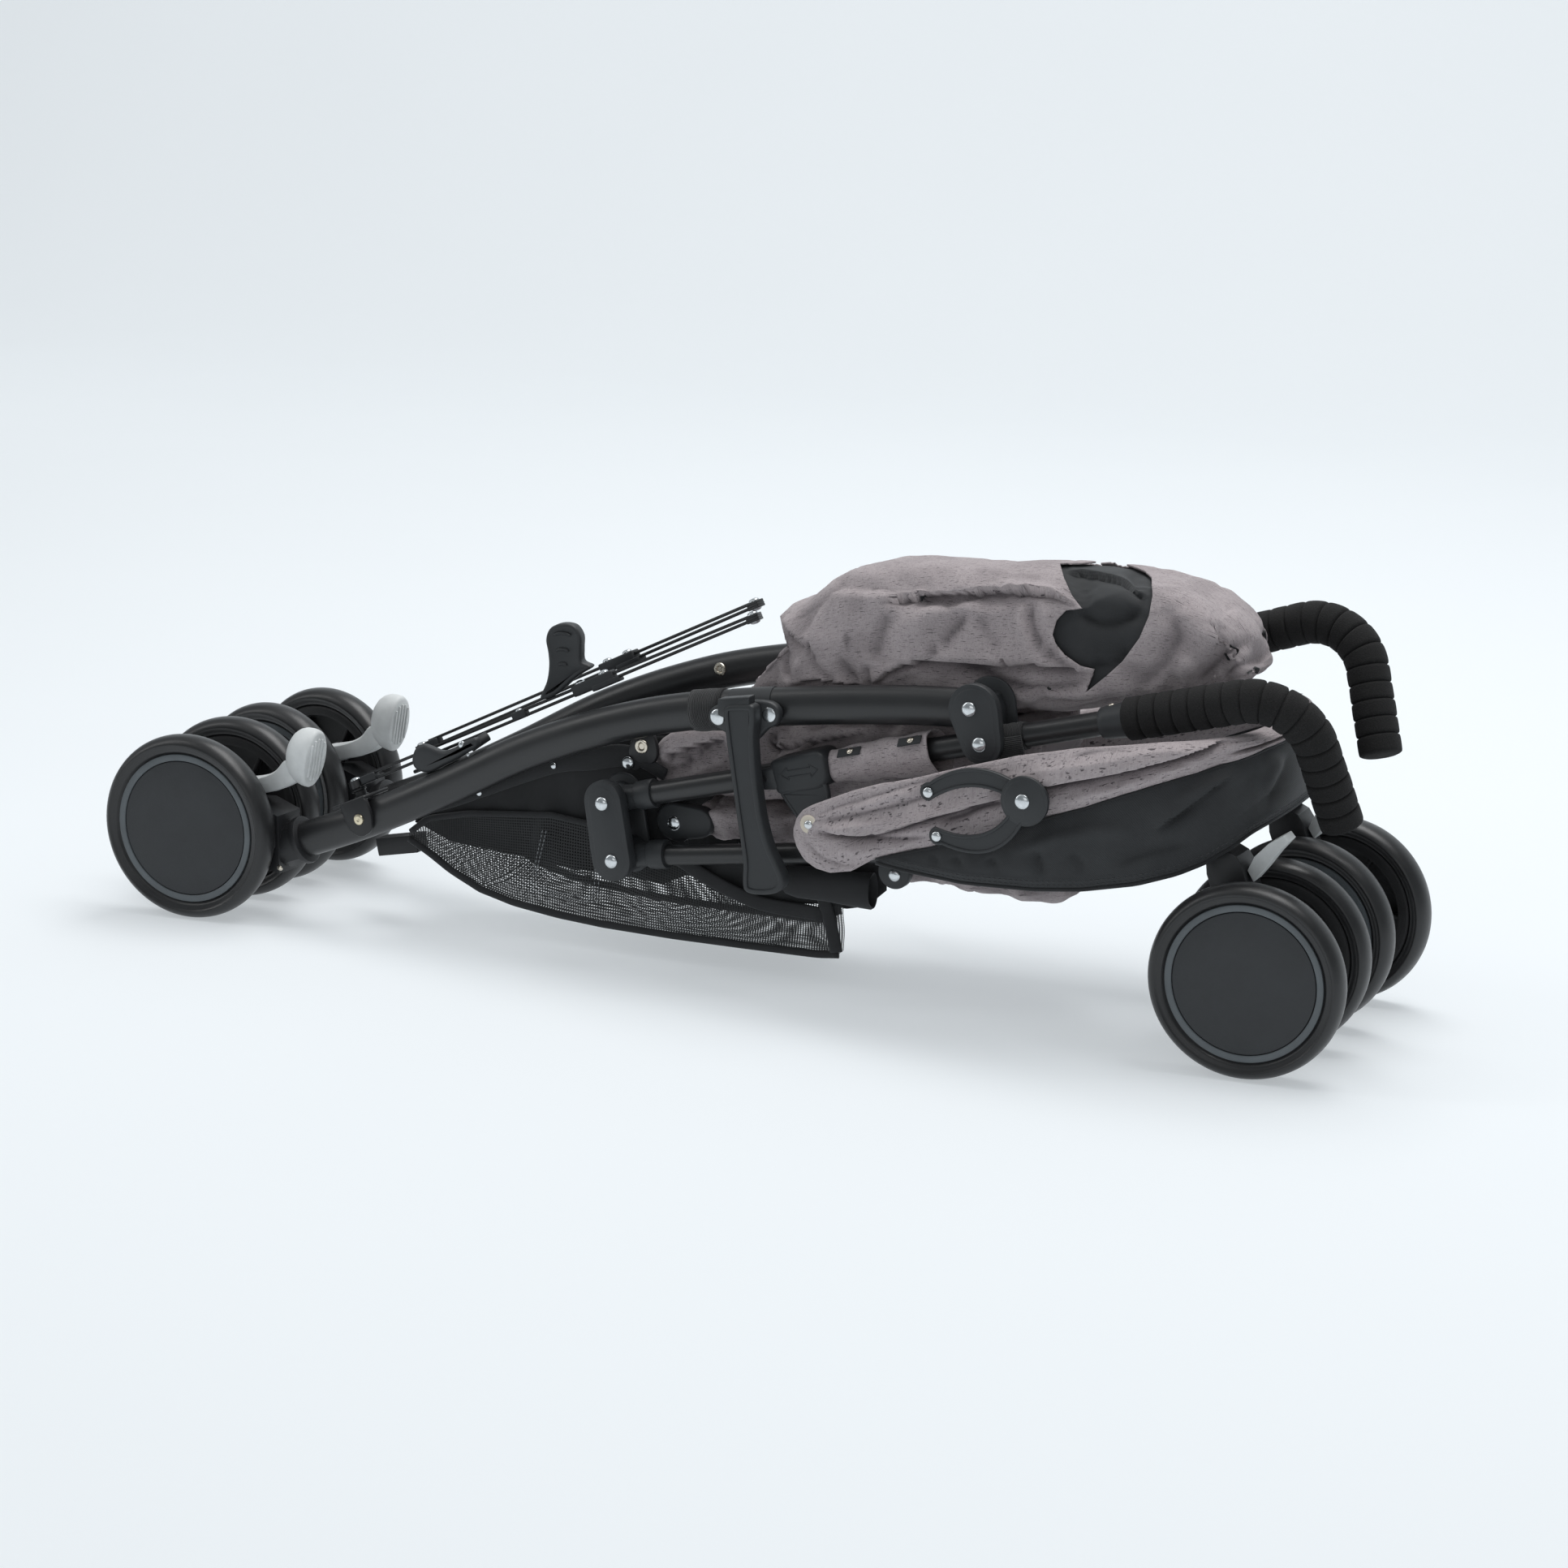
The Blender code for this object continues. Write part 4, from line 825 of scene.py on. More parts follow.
def grip(side):
    """Foam hook: soft bulges between fine ring grooves, rounded at its end."""
    total = grip_path(0, side)[4]
    pitch = total / GRIP_SEGMENTS
    rows = []
    for radius, back in ((9.2, -0.2), (12.4, -0.2), (14, 0.1)):
        centre, heading, outer, across, _ = grip_path(max(back, 0), side)
        rows.append([centre + heading * back + (outer * math.cos(a) + across * math.sin(a)) * radius
                     for a in round_angles(GRIP_SIDES)])
    for i in range(GRIP_SEGMENTS * GRIP_STEPS + 1):
        distance = total * i / (GRIP_SEGMENTS * GRIP_STEPS)
        if distance < 0.8:
            continue
        phase = (distance % pitch) / pitch
        to_groove = min(phase, 1 - phase) * pitch
        at_end = distance < 0.5 * pitch or distance > total - 0.5 * pitch
        groove = 0 if at_end else GROOVE_DEPTH * math.exp(-(to_groove / 0.7) ** 2)
        bulge = 0.4 * math.sin(math.pi * phase) ** 0.35
        worn = 0.22 * noise.noise(Vector((distance * 0.06, 3, 7)))
        radius = GRIP_RADIUS - 0.5 + bulge - groove + worn
        centre, heading, outer, across, _ = grip_path(distance, side)
        rows.append([centre + (outer * math.cos(a) + across * math.sin(a))
                     * (radius + 0.12 * noise.noise(centre * 0.09 + Vector((math.cos(a), math.sin(a), 0))))
                     for a in round_angles(GRIP_SIDES)])
    centre, heading, outer, across, _ = grip_path(total, side)
    for step, radius in ((0.9, 13.6), (1.9, 11.6), (2.4, 8), (2.6, 3)):
        rows.append([centre + heading * step * 0.8 + (outer * math.cos(a) + across * math.sin(a)) * radius
                     for a in round_angles(GRIP_SIDES)])
    piece(f"foam_grip_{side}", rows_mesh(rows), FOAM, f"{side}_frame", side_matrix(side, "handle"),
          replaces=f"grip_{side}", angle=60)
    base = handle_point(grip_start(side) - 19)
    collar = lathe([(8.6, 0), (10.3, 0.2), (10.9, 1), (11.3, 5), (12.2, 16), (12.6, 18.2), (12.1, 18.9),
                    (8.6, 18.9)], 44, facing(base, HANDLE_ALONG))
    pin = dome(base + HANDLE_ALONG * 9 - HANDLE_DOWN * 11.3, -HANDLE_DOWN, 2.3, 1)
    piece(f"grip_collar_{side}", collar, PLASTIC, f"{side}_frame", side_matrix(side, "handle"))
    piece(f"collar_pin_{side}", pin, NICKEL, f"{side}_frame", side_matrix(side, "handle"))


FRONT_BEND = Vector((515, SIDE_Y, 104))
FRONT_END = Vector((822, SIDE_Y, 141.5))
FRONT_BEND_REACH = 26


def front_leg(side):
    """Bent tube of the front leg with its moulded eye."""
    start = LOWER_PIVOT + Vector((30, 0, 3))
    before = FRONT_BEND + (start - FRONT_BEND).normalized() * FRONT_BEND_REACH
    after = FRONT_BEND + (FRONT_END - FRONT_BEND).normalized() * FRONT_BEND_REACH
    bend = [before.lerp(FRONT_BEND, t).lerp(FRONT_BEND.lerp(after, t), t) for t in np.linspace(0, 1, 9)]
    bar = tube([start, *bend, FRONT_END], FRONT_RADIUS, 32)
    eye = rod(LOWER_PIVOT - ACROSS * 9.8, LOWER_PIVOT + ACROSS * 9.8, 12.5, 36)
    piece(f"front_bar_{side}", bar, PAINT, f"front_leg_{side}", side_matrix(side, "front"),
          replaces=f"front_leg_{side}", angle=50)
    socket = socket_end(LOWER_PIVOT, (FRONT_BEND - LOWER_PIVOT).normalized())
    piece(f"front_knuckle_{side}", merge(eye, socket), PLASTIC, f"front_leg_{side}",
          side_matrix(side, "front"))


def socket_end(pivot, heading):
    """Moulded end on a tube: waist by the rivet, step, then the sleeve over the tube."""
    path, sizes = [], []
    for distance, tall, wide in ((5, 9.6, 9.3), (14, 9.2, 9.2), (20, 8.9, 9.2), (21, 10.6, 10.4),
                                 (27, 10.9, 10.7), (33.5, 10.9, 10.7), (34.5, 10.3, 10.2), (34.8, 8, 8)):
        path.append(pivot + heading * distance)
        sizes.append((tall, wide))
    return tube(path, lambda i: sizes[i], 32)


for _, side in SIDES:
    rear_leg(side)
    handle_tube(side)
    grip(side)
    front_leg(side)


# Joint plates, sockets and rivets.


def panel_plate(outline, y_back, y_front, rim=3.6, relief=0.7):
    """Plate with a rounded edge and a raised inner panel on its front."""
    out = -1 if y_front < y_back else 1
    levels = [(1.2, y_back), (0.3, y_back + out * 0.5), (0, y_back + out * 1.3), (0, y_front - out * 1.9),
              (0.35, y_front - out * 0.9), (1.2, y_front - out * (relief + 0.1)),
              (rim - 0.5, y_front - out * relief), (rim, y_front - out * relief * 0.5),
              (rim + 0.6, y_front)]
    return slab(outline, levels)


def upper_joint(side):
    """Two teardrop plates over the leg's top, with a web and dome rivets."""
    matrix = side_matrix(side, "handle")
    outline = stadium((657, 225.5), (663, 203.5), 18.6, 15.4, 20)
    outer = panel_plate(outline, -74.7, -82.6)
    inner = soft_slab(outline, -48.4, -51.3, 0.9)
    skirt = slab(offset_outline(outline, 1), [(0, -74.9), (0.3, -72.6), (3, -72)])
    web = soft_slab([(661.5, 208), (663.5, 197), (669, 201), (669.5, 224), (665, 233), (661.5, 234)],
                    -76, -50, 1)
    piece(f"upper_plate_{side}", merge(outer, inner, skirt, web), PLASTIC, f"{side}_frame", matrix,
          replaces=f"upper_joint_{side}", angle=40)
    rivets = [dome(Vector((x, y, z)), heading) for x, z in ((654.5, 226.5), (662.5, 202.5))
              for y, heading in ((-82.5, -ACROSS), (-48.5, ACROSS))]
    piece(f"upper_rivets_{side}", merge(*rivets), STEEL, f"{side}_frame", matrix)


def lower_joint(side):
    """Two stadium plates between the tubes, with a spacer and dome rivets."""
    matrix = side_matrix(side, "handle")
    outline = stadium((370.5, 86), (364, 129), 16.2, 15.6, 20)
    outer = panel_plate(outline, -73.3, -84, 4.4, 0.45)
    inner = soft_slab(outline, -49, -52.7, 0.9)
    spacer = rounded_box((8, 24, 12), 1, Matrix.Translation((356.5, SIDE_Y, 106)))
    piece(f"lower_plate_{side}", merge(outer, inner, spacer), PLASTIC, f"{side}_frame", matrix,
          replaces=f"lower_joint_{side}", angle=40)
    rivets = [dome(Vector((x, y, z)), heading) for x, z in ((364, 128), (371.5, 85.5))
              for y, heading in ((-83.9, -ACROSS), (-49.1, ACROSS))]
    piece(f"lower_rivets_{side}", merge(*rivets), STEEL, f"{side}_frame", matrix)
    eye = rod(LOWER_FIXED - ACROSS * 9.5, LOWER_FIXED + ACROSS * 9.5, 11.5, 36)
    socket = socket_end(LOWER_FIXED, HANDLE_ALONG)
    piece(f"handle_knuckle_{side}", merge(eye, socket), PLASTIC, f"{side}_frame", matrix)


for _, side in SIDES:
    upper_joint(side)
    lower_joint(side)


# Pieces whose CAD shape stays.

for _, side in SIDES:
    dress(f"axle_housing_{side}", DARK_PLASTIC, 1.4)
    dress(f"caster_fork_{side}", DARK_PLASTIC, 1.4)
    dress(f"swivel_lock_{side}", GREY, 0.8)
dress("calf_bar", DARK_PLASTIC, 1)
dress("basket_rail", DARK_PLASTIC, 1)
dress("canopy_hinge_far", PLASTIC, 1)


# Soft goods.


def blend_piece(name, bm, material, replaces=None, thickness=0):
    """Cloth piece with its material and an optional thickness, its placement baked into its mesh and joined
    to no body.
    """
    made = to_object(name, bm)
    made.data.materials.append(material)
    made.data.shade_smooth()
    if thickness:
        solid(made, thickness)
    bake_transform(made)
    declare(material, replaces)
    return made


def solid(made, thickness, offset=-1):
    """Gives a sheet its thickness in millimetres."""
    shell = made.modifiers.new("thickness", "SOLIDIFY")
    shell.thickness = thickness * MM
    shell.offset = offset
    shell.use_even_offset = False


def line_distance(points, line):
    """For each (u, v) point: distance to a polyline, share along it, and side (+ left of travel)."""
    line = np.array(line, float)
    best = np.full(len(points), 1e9)
    share = np.zeros(len(points))
    side = np.zeros(len(points))
    lengths = np.linalg.norm(np.diff(line, axis=0), axis=1)
    whole, before = lengths.sum(), 0
    for a, b, length in zip(line, line[1:], lengths):
        d = (b - a) / length
        t = np.clip((points - a) @ d, 0, length)
        gap = points - (a + t[:, None] * d)
        distance = np.linalg.norm(gap, axis=1)
        closer = distance < best
        best = np.where(closer, distance, best)
        share = np.where(closer, (before + t) / whole, share)
        side = np.where(closer, np.sign(d[0] * gap[:, 1] - d[1] * gap[:, 0]), side)
        before += length
    return best, share, side


def curved(line):
    """Smooth line through a few (u, v) points."""
    return [(p.x, p.y) for p in smooth_line([(x, y, 0) for x, y in line], 8)]


def pixels_of(points):
    """Photograph pixels of many drawing points."""
    d = points - np.array(EYE)
    depth = d @ np.array(VIEW_AHEAD)
    return np.stack([0.5 * PHOTO + FOCAL * (d @ np.array(VIEW_RIGHT)) / depth,
                     0.5 * PHOTO - FOCAL * (d @ np.array(VIEW_UP)) / depth], axis=1)


def grid_normals(grid, round_rows=True):
    """Unit normals of a rows-by-columns grid of points."""
    along = np.gradient(grid, axis=0)
    if round_rows:
        around = (np.roll(grid, -1, axis=1) - np.roll(grid, 1, axis=1)) * 0.5
    else:
        around = np.gradient(grid, axis=1)
    normal = np.cross(around, along)
    return normal / np.maximum(np.linalg.norm(normal, axis=2, keepdims=True), 1e-9)


def outward_normals(grid):
    """Unit normals of a closed grid, turned away from its middle."""
    normal = grid_normals(grid)
    centre = grid.mean(axis=1, keepdims=True)
    if ((grid - centre) * normal).sum() < 0:
        normal = -normal
    return normal


def fold_amount(points, folds):
    """Height added by folds. A fold is (line in pixels, kind, height mm, width px)."""
    total = np.zeros(len(points))
    for line, kind, height, width in folds:
        distance, share, side = line_distance(points, curved(line))
        fade = np.clip(np.sin(np.pi * np.clip(share, 0, 1)) * 1.6, 0, 1) ** 0.6
        if kind == "ridge":
            total += height * fade * np.exp(-(distance / width) ** 2)
        elif kind == "groove":
            total -= height * fade * np.exp(-(distance / width) ** 1.1)
        else:
            raised = np.exp(-(distance / (width * 1.5)) ** 1.2)
            sunk = -np.exp(-(distance / width) ** 1.1)
            total += height * fade * np.where(side < 0, raised, sunk)
    return total


def fold_shade(points, folds):
    """How deep in shadow the folds leave each point, and below zero on their crests."""
    total = np.zeros(len(points))
    for line, kind, height, width in folds:
        distance, share, side = line_distance(points, curved(line))
        fade = np.clip(np.sin(np.pi * np.clip(share, 0, 1)) * 2.2, 0, 1)
        depth = min(height / 5, 1) * fade
        if kind == "ridge":
            total -= 0.5 * depth * np.exp(-(distance / (0.7 * width)) ** 2)
        elif kind == "groove":
            total += 0.75 * depth * np.exp(-(distance / (0.6 * width)) ** 1.4)
        else:
            under = 0.95 * np.exp(-(distance / (0.62 * width)) ** 1.3)
            total += depth * np.where(side < 0, -0.5 * np.exp(-(distance / (0.4 * width)) ** 1.5), under)
    return np.clip(total, -1, 1)


def shade_folds(bm, values):
    """Keeps each point's painted fold shade, and below zero a painted highlight on the crests, as a float
    attribute of the cloth.
    """
    layer = bm.verts.layers.float.new("painted_fold_shade")
    for vert, value in zip(bm.verts, values):
        vert[layer] = float(value)


def cloudy(points, scale, seed):
    """Smooth noise at many drawing points."""
    return np.array([noise.noise(Vector(p) * scale + Vector((seed, seed * 1.7, seed * 0.3))) for p in points])


def pinch(points, scale, seed):
    """Creased noise: sharp valleys between rounded bulges."""
    return np.array([1 - abs(noise.noise(Vector(p) * scale + Vector((seed, 0, seed)))) * 2 for p in points])


def inside(points, polygon):
    """Which (u, v) points lie inside a polygon."""
    found = np.zeros(len(points), bool)
    x, y = points[:, 0], points[:, 1]
    for (x0, y0), (x1, y1) in zip(polygon, polygon[1:] + polygon[:1]):
        found ^= ((y0 > y) != (y1 > y)) & (x < (x1 - x0) * (y - y0) / ((y1 - y0) or 1e-9) + x0)
    return found


# Power that turns a circle into the covers' rounded box section.
ROUNDNESS = 0.6


def station_grid(stations, half_width, rows, columns):
    """Pillow grid through (x, z low, z high, share of half width), evenly spread."""
    table = np.array([tuple(s) for s in stations], float)
    curve = smooth_line([(s[0], s[1], s[2]) for s in table], 10)
    shares = smooth_line([(s[3], 0, 0) for s in table], 10)
    spots = np.array([(c.x, c.y, c.z, w.x) for c, w in zip(curve, shares)])
    run = np.concatenate([[0], np.cumsum(np.linalg.norm(np.diff(spots[:, :3], axis=0), axis=1))])
    even = np.linspace(0, run[-1], rows)
    spots = np.stack([np.interp(even, run, spots[:, k]) for k in range(4)], axis=1)
    grid = np.zeros((rows, columns, 3))
    angles = 2 * np.pi * (np.arange(columns) + 0.5) / columns
    c, s = np.cos(angles), np.sin(angles)
    for i, (x, low, high, share) in enumerate(spots):
        middle, rise = 0.5 * (low + high), max(0.5 * (high - low), 0.5)
        grid[i, :, 0] = x
        grid[i, :, 1] = np.sign(c) * np.abs(c) ** ROUNDNESS * half_width * min(max(share, 0.02), 1.05)
        grid[i, :, 2] = middle + np.sign(s) * np.abs(s) ** ROUNDNESS * rise
    return grid


def seen(origin, zoom, line):
    """Photograph pixels of points read off an enlarged part of it."""
    return [(origin[0] + x / zoom, origin[1] + y / zoom) for x, y in line]


def seen_folds(origin, zoom, folds):
    """Folds whose lines and widths were read off an enlarged part of the photograph."""
    return [(seen(origin, zoom, line), kind, height, width / zoom) for line, kind, height, width in folds]


SETTLE_FRAMES = 20
SLIDE_CAP = 3


def settled(grid, shrink, pressure, outward_cap, inward_cap):
    """Where a slack, lightly filled cover moves to in a short cloth simulation.

    Returns the move of each grid point in millimetres.
    """
    rows, columns, _ = grid.shape
    faces = [(i * columns + j, i * columns + (j + 1) % columns,
              (i + 1) * columns + (j + 1) % columns, (i + 1) * columns + j)
             for i in range(rows - 1) for j in range(columns)]
    faces.append(tuple(range(columns))[::-1])
    faces.append(tuple(range((rows - 1) * columns, rows * columns)))
    mesh = bpy.data.meshes.new("settling")
    mesh.from_pydata([tuple(p * MM) for p in grid.reshape(-1, 3)], [], faces)
    cover = bpy.data.objects.new("settling", mesh)
    bpy.context.scene.collection.objects.link(cover)
    cloth = cover.modifiers.new("cloth", "CLOTH")
    how = cloth.settings
    how.quality = 6
    how.mass = 0.15
    how.tension_stiffness = how.compression_stiffness = 12
    how.shear_stiffness = 4
    how.bending_stiffness = 0.25
    how.use_pressure = True
    how.uniform_pressure_force = pressure
    how.shrink_min = how.shrink_max = shrink
    how.effector_weights.gravity = 0
    cloth.collision_settings.use_collision = False
    cloth.point_cache.frame_start, cloth.point_cache.frame_end = 1, SETTLE_FRAMES
    scene = bpy.context.scene
    for number in range(1, SETTLE_FRAMES + 1):
        scene.frame_set(number)
    shown = cover.evaluated_get(bpy.context.evaluated_depsgraph_get())
    spots = np.zeros(rows * columns * 3)
    shown.data.vertices.foreach_get("co", spots)
    scene.frame_set(1)
    bpy.data.objects.remove(cover)
    bpy.data.meshes.remove(mesh)
    move = spots.reshape(rows, columns, 3) / MM - grid
    if not np.isfinite(move).all():
        return np.zeros_like(grid)
    move -= move.mean(axis=(0, 1))
    normal = outward_normals(grid)
    out = (move * normal).sum(axis=2, keepdims=True)
    sideways = move - out * normal
    length = np.linalg.norm(sideways, axis=2, keepdims=True)
    sideways *= np.minimum(1, SLIDE_CAP / np.maximum(length, 1e-6))
    return sideways + normal * np.clip(out, -inward_cap, outward_cap)


def finer_field(field, rows, columns):
    """Bilinear copy of a rows-by-columns field on a finer grid, closed across columns."""
    old_rows, old_columns = field.shape[:2]
    u = np.linspace(0, old_rows - 1, rows)
    v = (np.arange(columns) + 0.5) * old_columns / columns - 0.5
    i0 = np.minimum(u.astype(int), old_rows - 2)
    fu = (u - i0)[:, None, None]
    j0 = np.floor(v).astype(int)
    fv = (v - j0)[None, :, None]
    j1 = (j0 + 1) % old_columns
    j0 = j0 % old_columns
    top = field[i0][:, j0] * (1 - fv) + field[i0][:, j1] * fv
    low = field[i0 + 1][:, j0] * (1 - fv) + field[i0 + 1][:, j1] * fv
    return top * (1 - fu) + low * fu


def padded_grid(stations, half_width, rows, columns, shrink, pressure, caps):
    """Fine grid of a stuffed form after its cover has settled."""
    rough = station_grid(stations, half_width, rows // 2, columns // 2)
    fine = station_grid(stations, half_width, rows, columns)
    return fine + finer_field(settled(rough, shrink, pressure, *caps), rows, columns)


def across_middle(points):
    """The points mirrored from one side to the other."""
    return points * np.array([1, -1, 1])


def as_rows(grid):
    """Rows of Vectors for rows_mesh from a grid of points."""
    return [[Vector(p) for p in row] for row in grid]


def cut_out(bm, outline):
    """Cuts a shape drawn in the photograph out of the faces that look at the camera."""
    def ray(point):
        return VIEW_AHEAD * FOCAL + VIEW_RIGHT * (point[0] - 0.5 * PHOTO) - VIEW_UP * (point[1] - 0.5 * PHOTO)

    def seen_faces():
        faces = [f for f in bm.faces if f.normal.dot(VIEW_AHEAD) < 0.15]
        return faces, pixels_of(np.array([f.calc_center_median()[:] for f in faces]))

    reach = 4.5
    for a, b in zip(outline, outline[1:] + outline[:1]):
        faces, spots = seen_faces()
        distance, _, _ = line_distance(spots, [a, b])
        geom = set()
        for f in (f for f, d in zip(faces, distance) if d < reach):
            geom.update([f, *f.edges, *f.verts])
        normal = ray(a).cross(ray(b)).normalized()
        bmesh.ops.bisect_plane(bm, geom=list(geom), plane_co=EYE, plane_no=normal, dist=1e-5)
    faces, spots = seen_faces()
    gone = [f for f, within in zip(faces, inside(spots, outline)) if within]
    bmesh.ops.delete(bm, geom=gone, context="FACES")


# Seat back.

BAG_STATIONS = [
    (446, 203, 209, 0.35), (451, 199, 222, 0.7), (459, 198, 238, 0.86), (468, 199, 259, 0.94),
    (480, 200, 272, 0.97), (493, 200, 283, 0.98), (520, 201, 303, 1), (548, 204, 314, 1),
    (578, 206, 318.5, 1), (622, 208, 320, 1), (686, 210, 319, 1), (745, 218, 316, 1), (780, 226, 310, 1),
    (802, 234, 300, 0.97), (820, 243, 286, 0.88), (832, 249, 273, 0.74), (838, 254, 264, 0.5),
    (840, 256, 260, 0.2),
]

# Where the dark lining shows between the melange panels, in photograph pixels.
WINDOW = [
    (1306, 694), (1318, 693.5), (1330, 693.5), (1352, 691.5), (1374, 691), (1395, 697), (1412, 704),
    (1419, 711), (1420, 734), (1415.5, 759), (1404, 786), (1383, 815), (1363, 833), (1338, 853),
    (1340.5, 844), (1348.5, 825), (1330, 820), (1313, 809.5), (1302, 797), (1296.8, 782), (1302, 764),
    (1313, 752), (1333, 749.5), (1321, 734), (1311, 712),
]

# Folds seen on the near side: line, kind, height in millimetres and width. They were read off
# enlarged parts of the photograph, each given by its corner and its scale.
BAG_VIEW = ((880, 620), 1.96)
BAG_FOLDS = seen_folds(*BAG_VIEW, [
    ([(395, 238), (470, 224), (560, 219), (650, 214), (740, 211), (800, 216), (872, 243)], "step", 4.2, 30),
    ([(382, 446), (402, 425), (440, 398), (505, 384), (560, 386), (640, 392), (740, 388), (850, 400),
      (913, 406)], "step", 6.5, 27),
    ([(505, 382), (540, 352), (570, 318), (596, 285), (604, 262)], "groove", 5, 17),
    ([(420, 330), (470, 300), (520, 262), (560, 250)], "ridge", 3, 26),
    ([(770, 236), (764, 280), (776, 322), (806, 362), (868, 398)], "groove", 4.5, 14),
    ([(742, 240), (738, 290), (752, 340), (790, 385)], "ridge", 3, 12),
    ([(800, 250), (806, 300), (830, 345), (880, 380)], "ridge", 2.4, 12),
    ([(560, 388), (640, 412), (700, 438), (780, 452), (850, 446), (905, 428)], "groove", 4.5, 15),
    ([(655, 430), (720, 462), (800, 482), (900, 478), (960, 466)], "ridge", 2, 14),
    ([(166, 292), (196, 324), (240, 346), (290, 344), (330, 320)], "step", 3.4, 16),
    ([(180, 352), (172, 392), (188, 430)], "groove", 3.2, 10),
    ([(246, 348), (236, 380), (262, 412), (300, 432)], "groove", 3.6, 11),
    ([(300, 372), (318, 402), (352, 436)], "groove", 3.4, 11),
    ([(190, 436), (250, 428), (320, 436), (360, 440)], "step", 2.8, 9),
    ([(364, 392), (372, 420), (376, 448)], "groove", 3.4, 9),
    ([(404, 438), (440, 418), (500, 398)], "ridge", 2.6, 9),
    ([(330, 160), (290, 215), (230, 262), (180, 290)], "groove", 2, 24),
    ([(420, 262), (400, 320), (384, 380)], "groove", 3.2, 22),
    ([(640, 270), (660, 320), (700, 350)], "groove", 2.2, 20),
    ([(1092, 250), (1118, 320), (1066, 410), (1010, 450)], "groove", 3.6, 34),
    ([(1150, 240), (1196, 300), (1180, 360), (1120, 420)], "ridge", 2.6, 26),
    ([(1296, 330), (1240, 366), (1190, 412), (1162, 440)], "groove", 4.2, 18),
    ([(1340, 372), (1280, 390), (1230, 424)], "groove", 3.4, 14),
    ([(1240, 262), (1290, 300), (1326, 344)], "ridge", 1.8, 20),
    ([(700, 500), (800, 512), (920, 486), (1060, 470)], "groove", 3, 14),
    ([(610, 160), (700, 176), (822, 186)], "groove", 1.4, 20),
])
WINDOW_FOLDS = seen_folds(*BAG_VIEW, [
    ([(852, 158), (930, 168), (1000, 186), (1040, 222)], "step", 3, 14),
    ([(870, 262), (930, 292), (990, 282), (1016, 250)], "groove", 5, 18),
    ([(905, 392), (960, 388), (1010, 352)], "groove", 3.4, 14),
    ([(1010, 168), (1030, 230), (1000, 290)], "groove", 2.6, 14),
])


def looks_here(normal, base=0.3):
    """Share of each point's face that the camera sees."""
    return np.clip(-(normal.reshape(-1, 3) @ np.array(VIEW_AHEAD)) * 2.2 + base, 0, 1)


BAG_CORNER = [(1090, 690), (1041, 696), (1012, 719), (981, 740), (961, 759), (965, 777), (972, 795),
              (950, 818), (934, 836), (925, 851)]


def corner_tuck(grid, inset=0):
    """Pulls the left end in to the tucked corner that the photograph shows."""
    points = grid.reshape(-1, 3).copy()
    pixels = pixels_of(points)
    table = np.array(BAG_CORNER)
    limit = np.interp(pixels[:, 1], table[:, 1], table[:, 0])
    short = np.clip(limit - pixels[:, 0], 0, 70) / 1.5
    near = np.clip((520 - points[:, 0]) / 30, 0, 1)
    points[:, 0] += (short + inset * (short > 0)) * near
    return points.reshape(grid.shape)


# Half widths of the stuffed covers, and the highest and widest that the bag may reach.
BAG_HALF_WIDTH = 45.5
SEAT_HALF_WIDTH = 45.8
BAG_TOP, BAG_SIDE = 320.5, 51.5
LINING_PEAK, LINING_SIDE = 317, 48.5


def seat_bag():
    """Folded seat back: a slack melange bag over a dark lining that shows in its window."""
    rows, columns = 200, 176
    grid = padded_grid(BAG_STATIONS, BAG_HALF_WIDTH, rows, columns, -0.06, 3, (2, 6))
    normal = outward_normals(grid)
    points = grid.reshape(-1, 3)
    away = looks_here(normal)
    height = fold_amount(pixels_of(points), BAG_FOLDS) * away
    mirrored = across_middle(points)
    far_side = np.clip((points[:, 1] - 5) / 20, 0, 1)
    height += fold_amount(pixels_of(mirrored), BAG_FOLDS[1:]) * far_side * 0.8
    ends = np.clip(np.minimum((points[:, 0] - 446) / 16, (840 - points[:, 0]) / 10), 0, 1)
    slack = pinch(points, 0.022, 4) * 2.2 + pinch(points, 0.055, 7) * 1.2 + cloudy(points, 0.05, 9) * 1.2
    height = np.clip((height * 1.35 + slack - 1.6) * ends, -15, 5.5)
    top = np.clip((points[:, 2] - 302) / 14, 0, 1)
    height *= 1 - 0.75 * top * (1 - np.clip((np.abs(points[:, 1]) - 30) / 12, 0, 1) * 0.5)
    cover = grid + normal * height.reshape(rows, columns, 1)
    cover = corner_tuck(cover)
    cover[..., 2] = np.minimum(cover[..., 2], BAG_TOP)
    cover[..., 1] = np.clip(cover[..., 1], -BAG_SIDE, BAG_SIDE)
    bm = rows_mesh(as_rows(cover))
    # Painted shade in the folds and in the hollows of the slack, painted highlight on its bulges and on the
    # fold crests.
    shadow = fold_shade(pixels_of(points), BAG_FOLDS) * away
    shadow += fold_shade(pixels_of(mirrored), BAG_FOLDS[1:]) * far_side * 0.7
    shade_folds(bm, shadow + np.clip(-cloudy(points, 0.05, 9) * 0.35, -0.2, 0.2))
    cut_out(bm, WINDOW)
    made = blend_piece("seat_back_cover", bm, MELANGE, replaces="seat_bag",
                       thickness=1.3)
    dip = height - 3.2 + (fold_amount(pixels_of(points), WINDOW_FOLDS) - 0.6 * np.maximum(height, 0)) * away
    dip -= 5 * np.clip((600 - points[:, 0]) / 40, 0, 1)
    lining = grid + normal * dip.reshape(rows, columns, 1)
    lining = corner_tuck(lining, 4)
    lining[..., 2] = np.minimum(lining[..., 2], LINING_PEAK)
    lining[..., 1] = np.clip(lining[..., 1], -LINING_SIDE, LINING_SIDE)
    under = rows_mesh(as_rows(lining))
    shade_folds(under, fold_shade(pixels_of(points), WINDOW_FOLDS) * away)
    inner = blend_piece("seat_back_lining", under, BLACK)


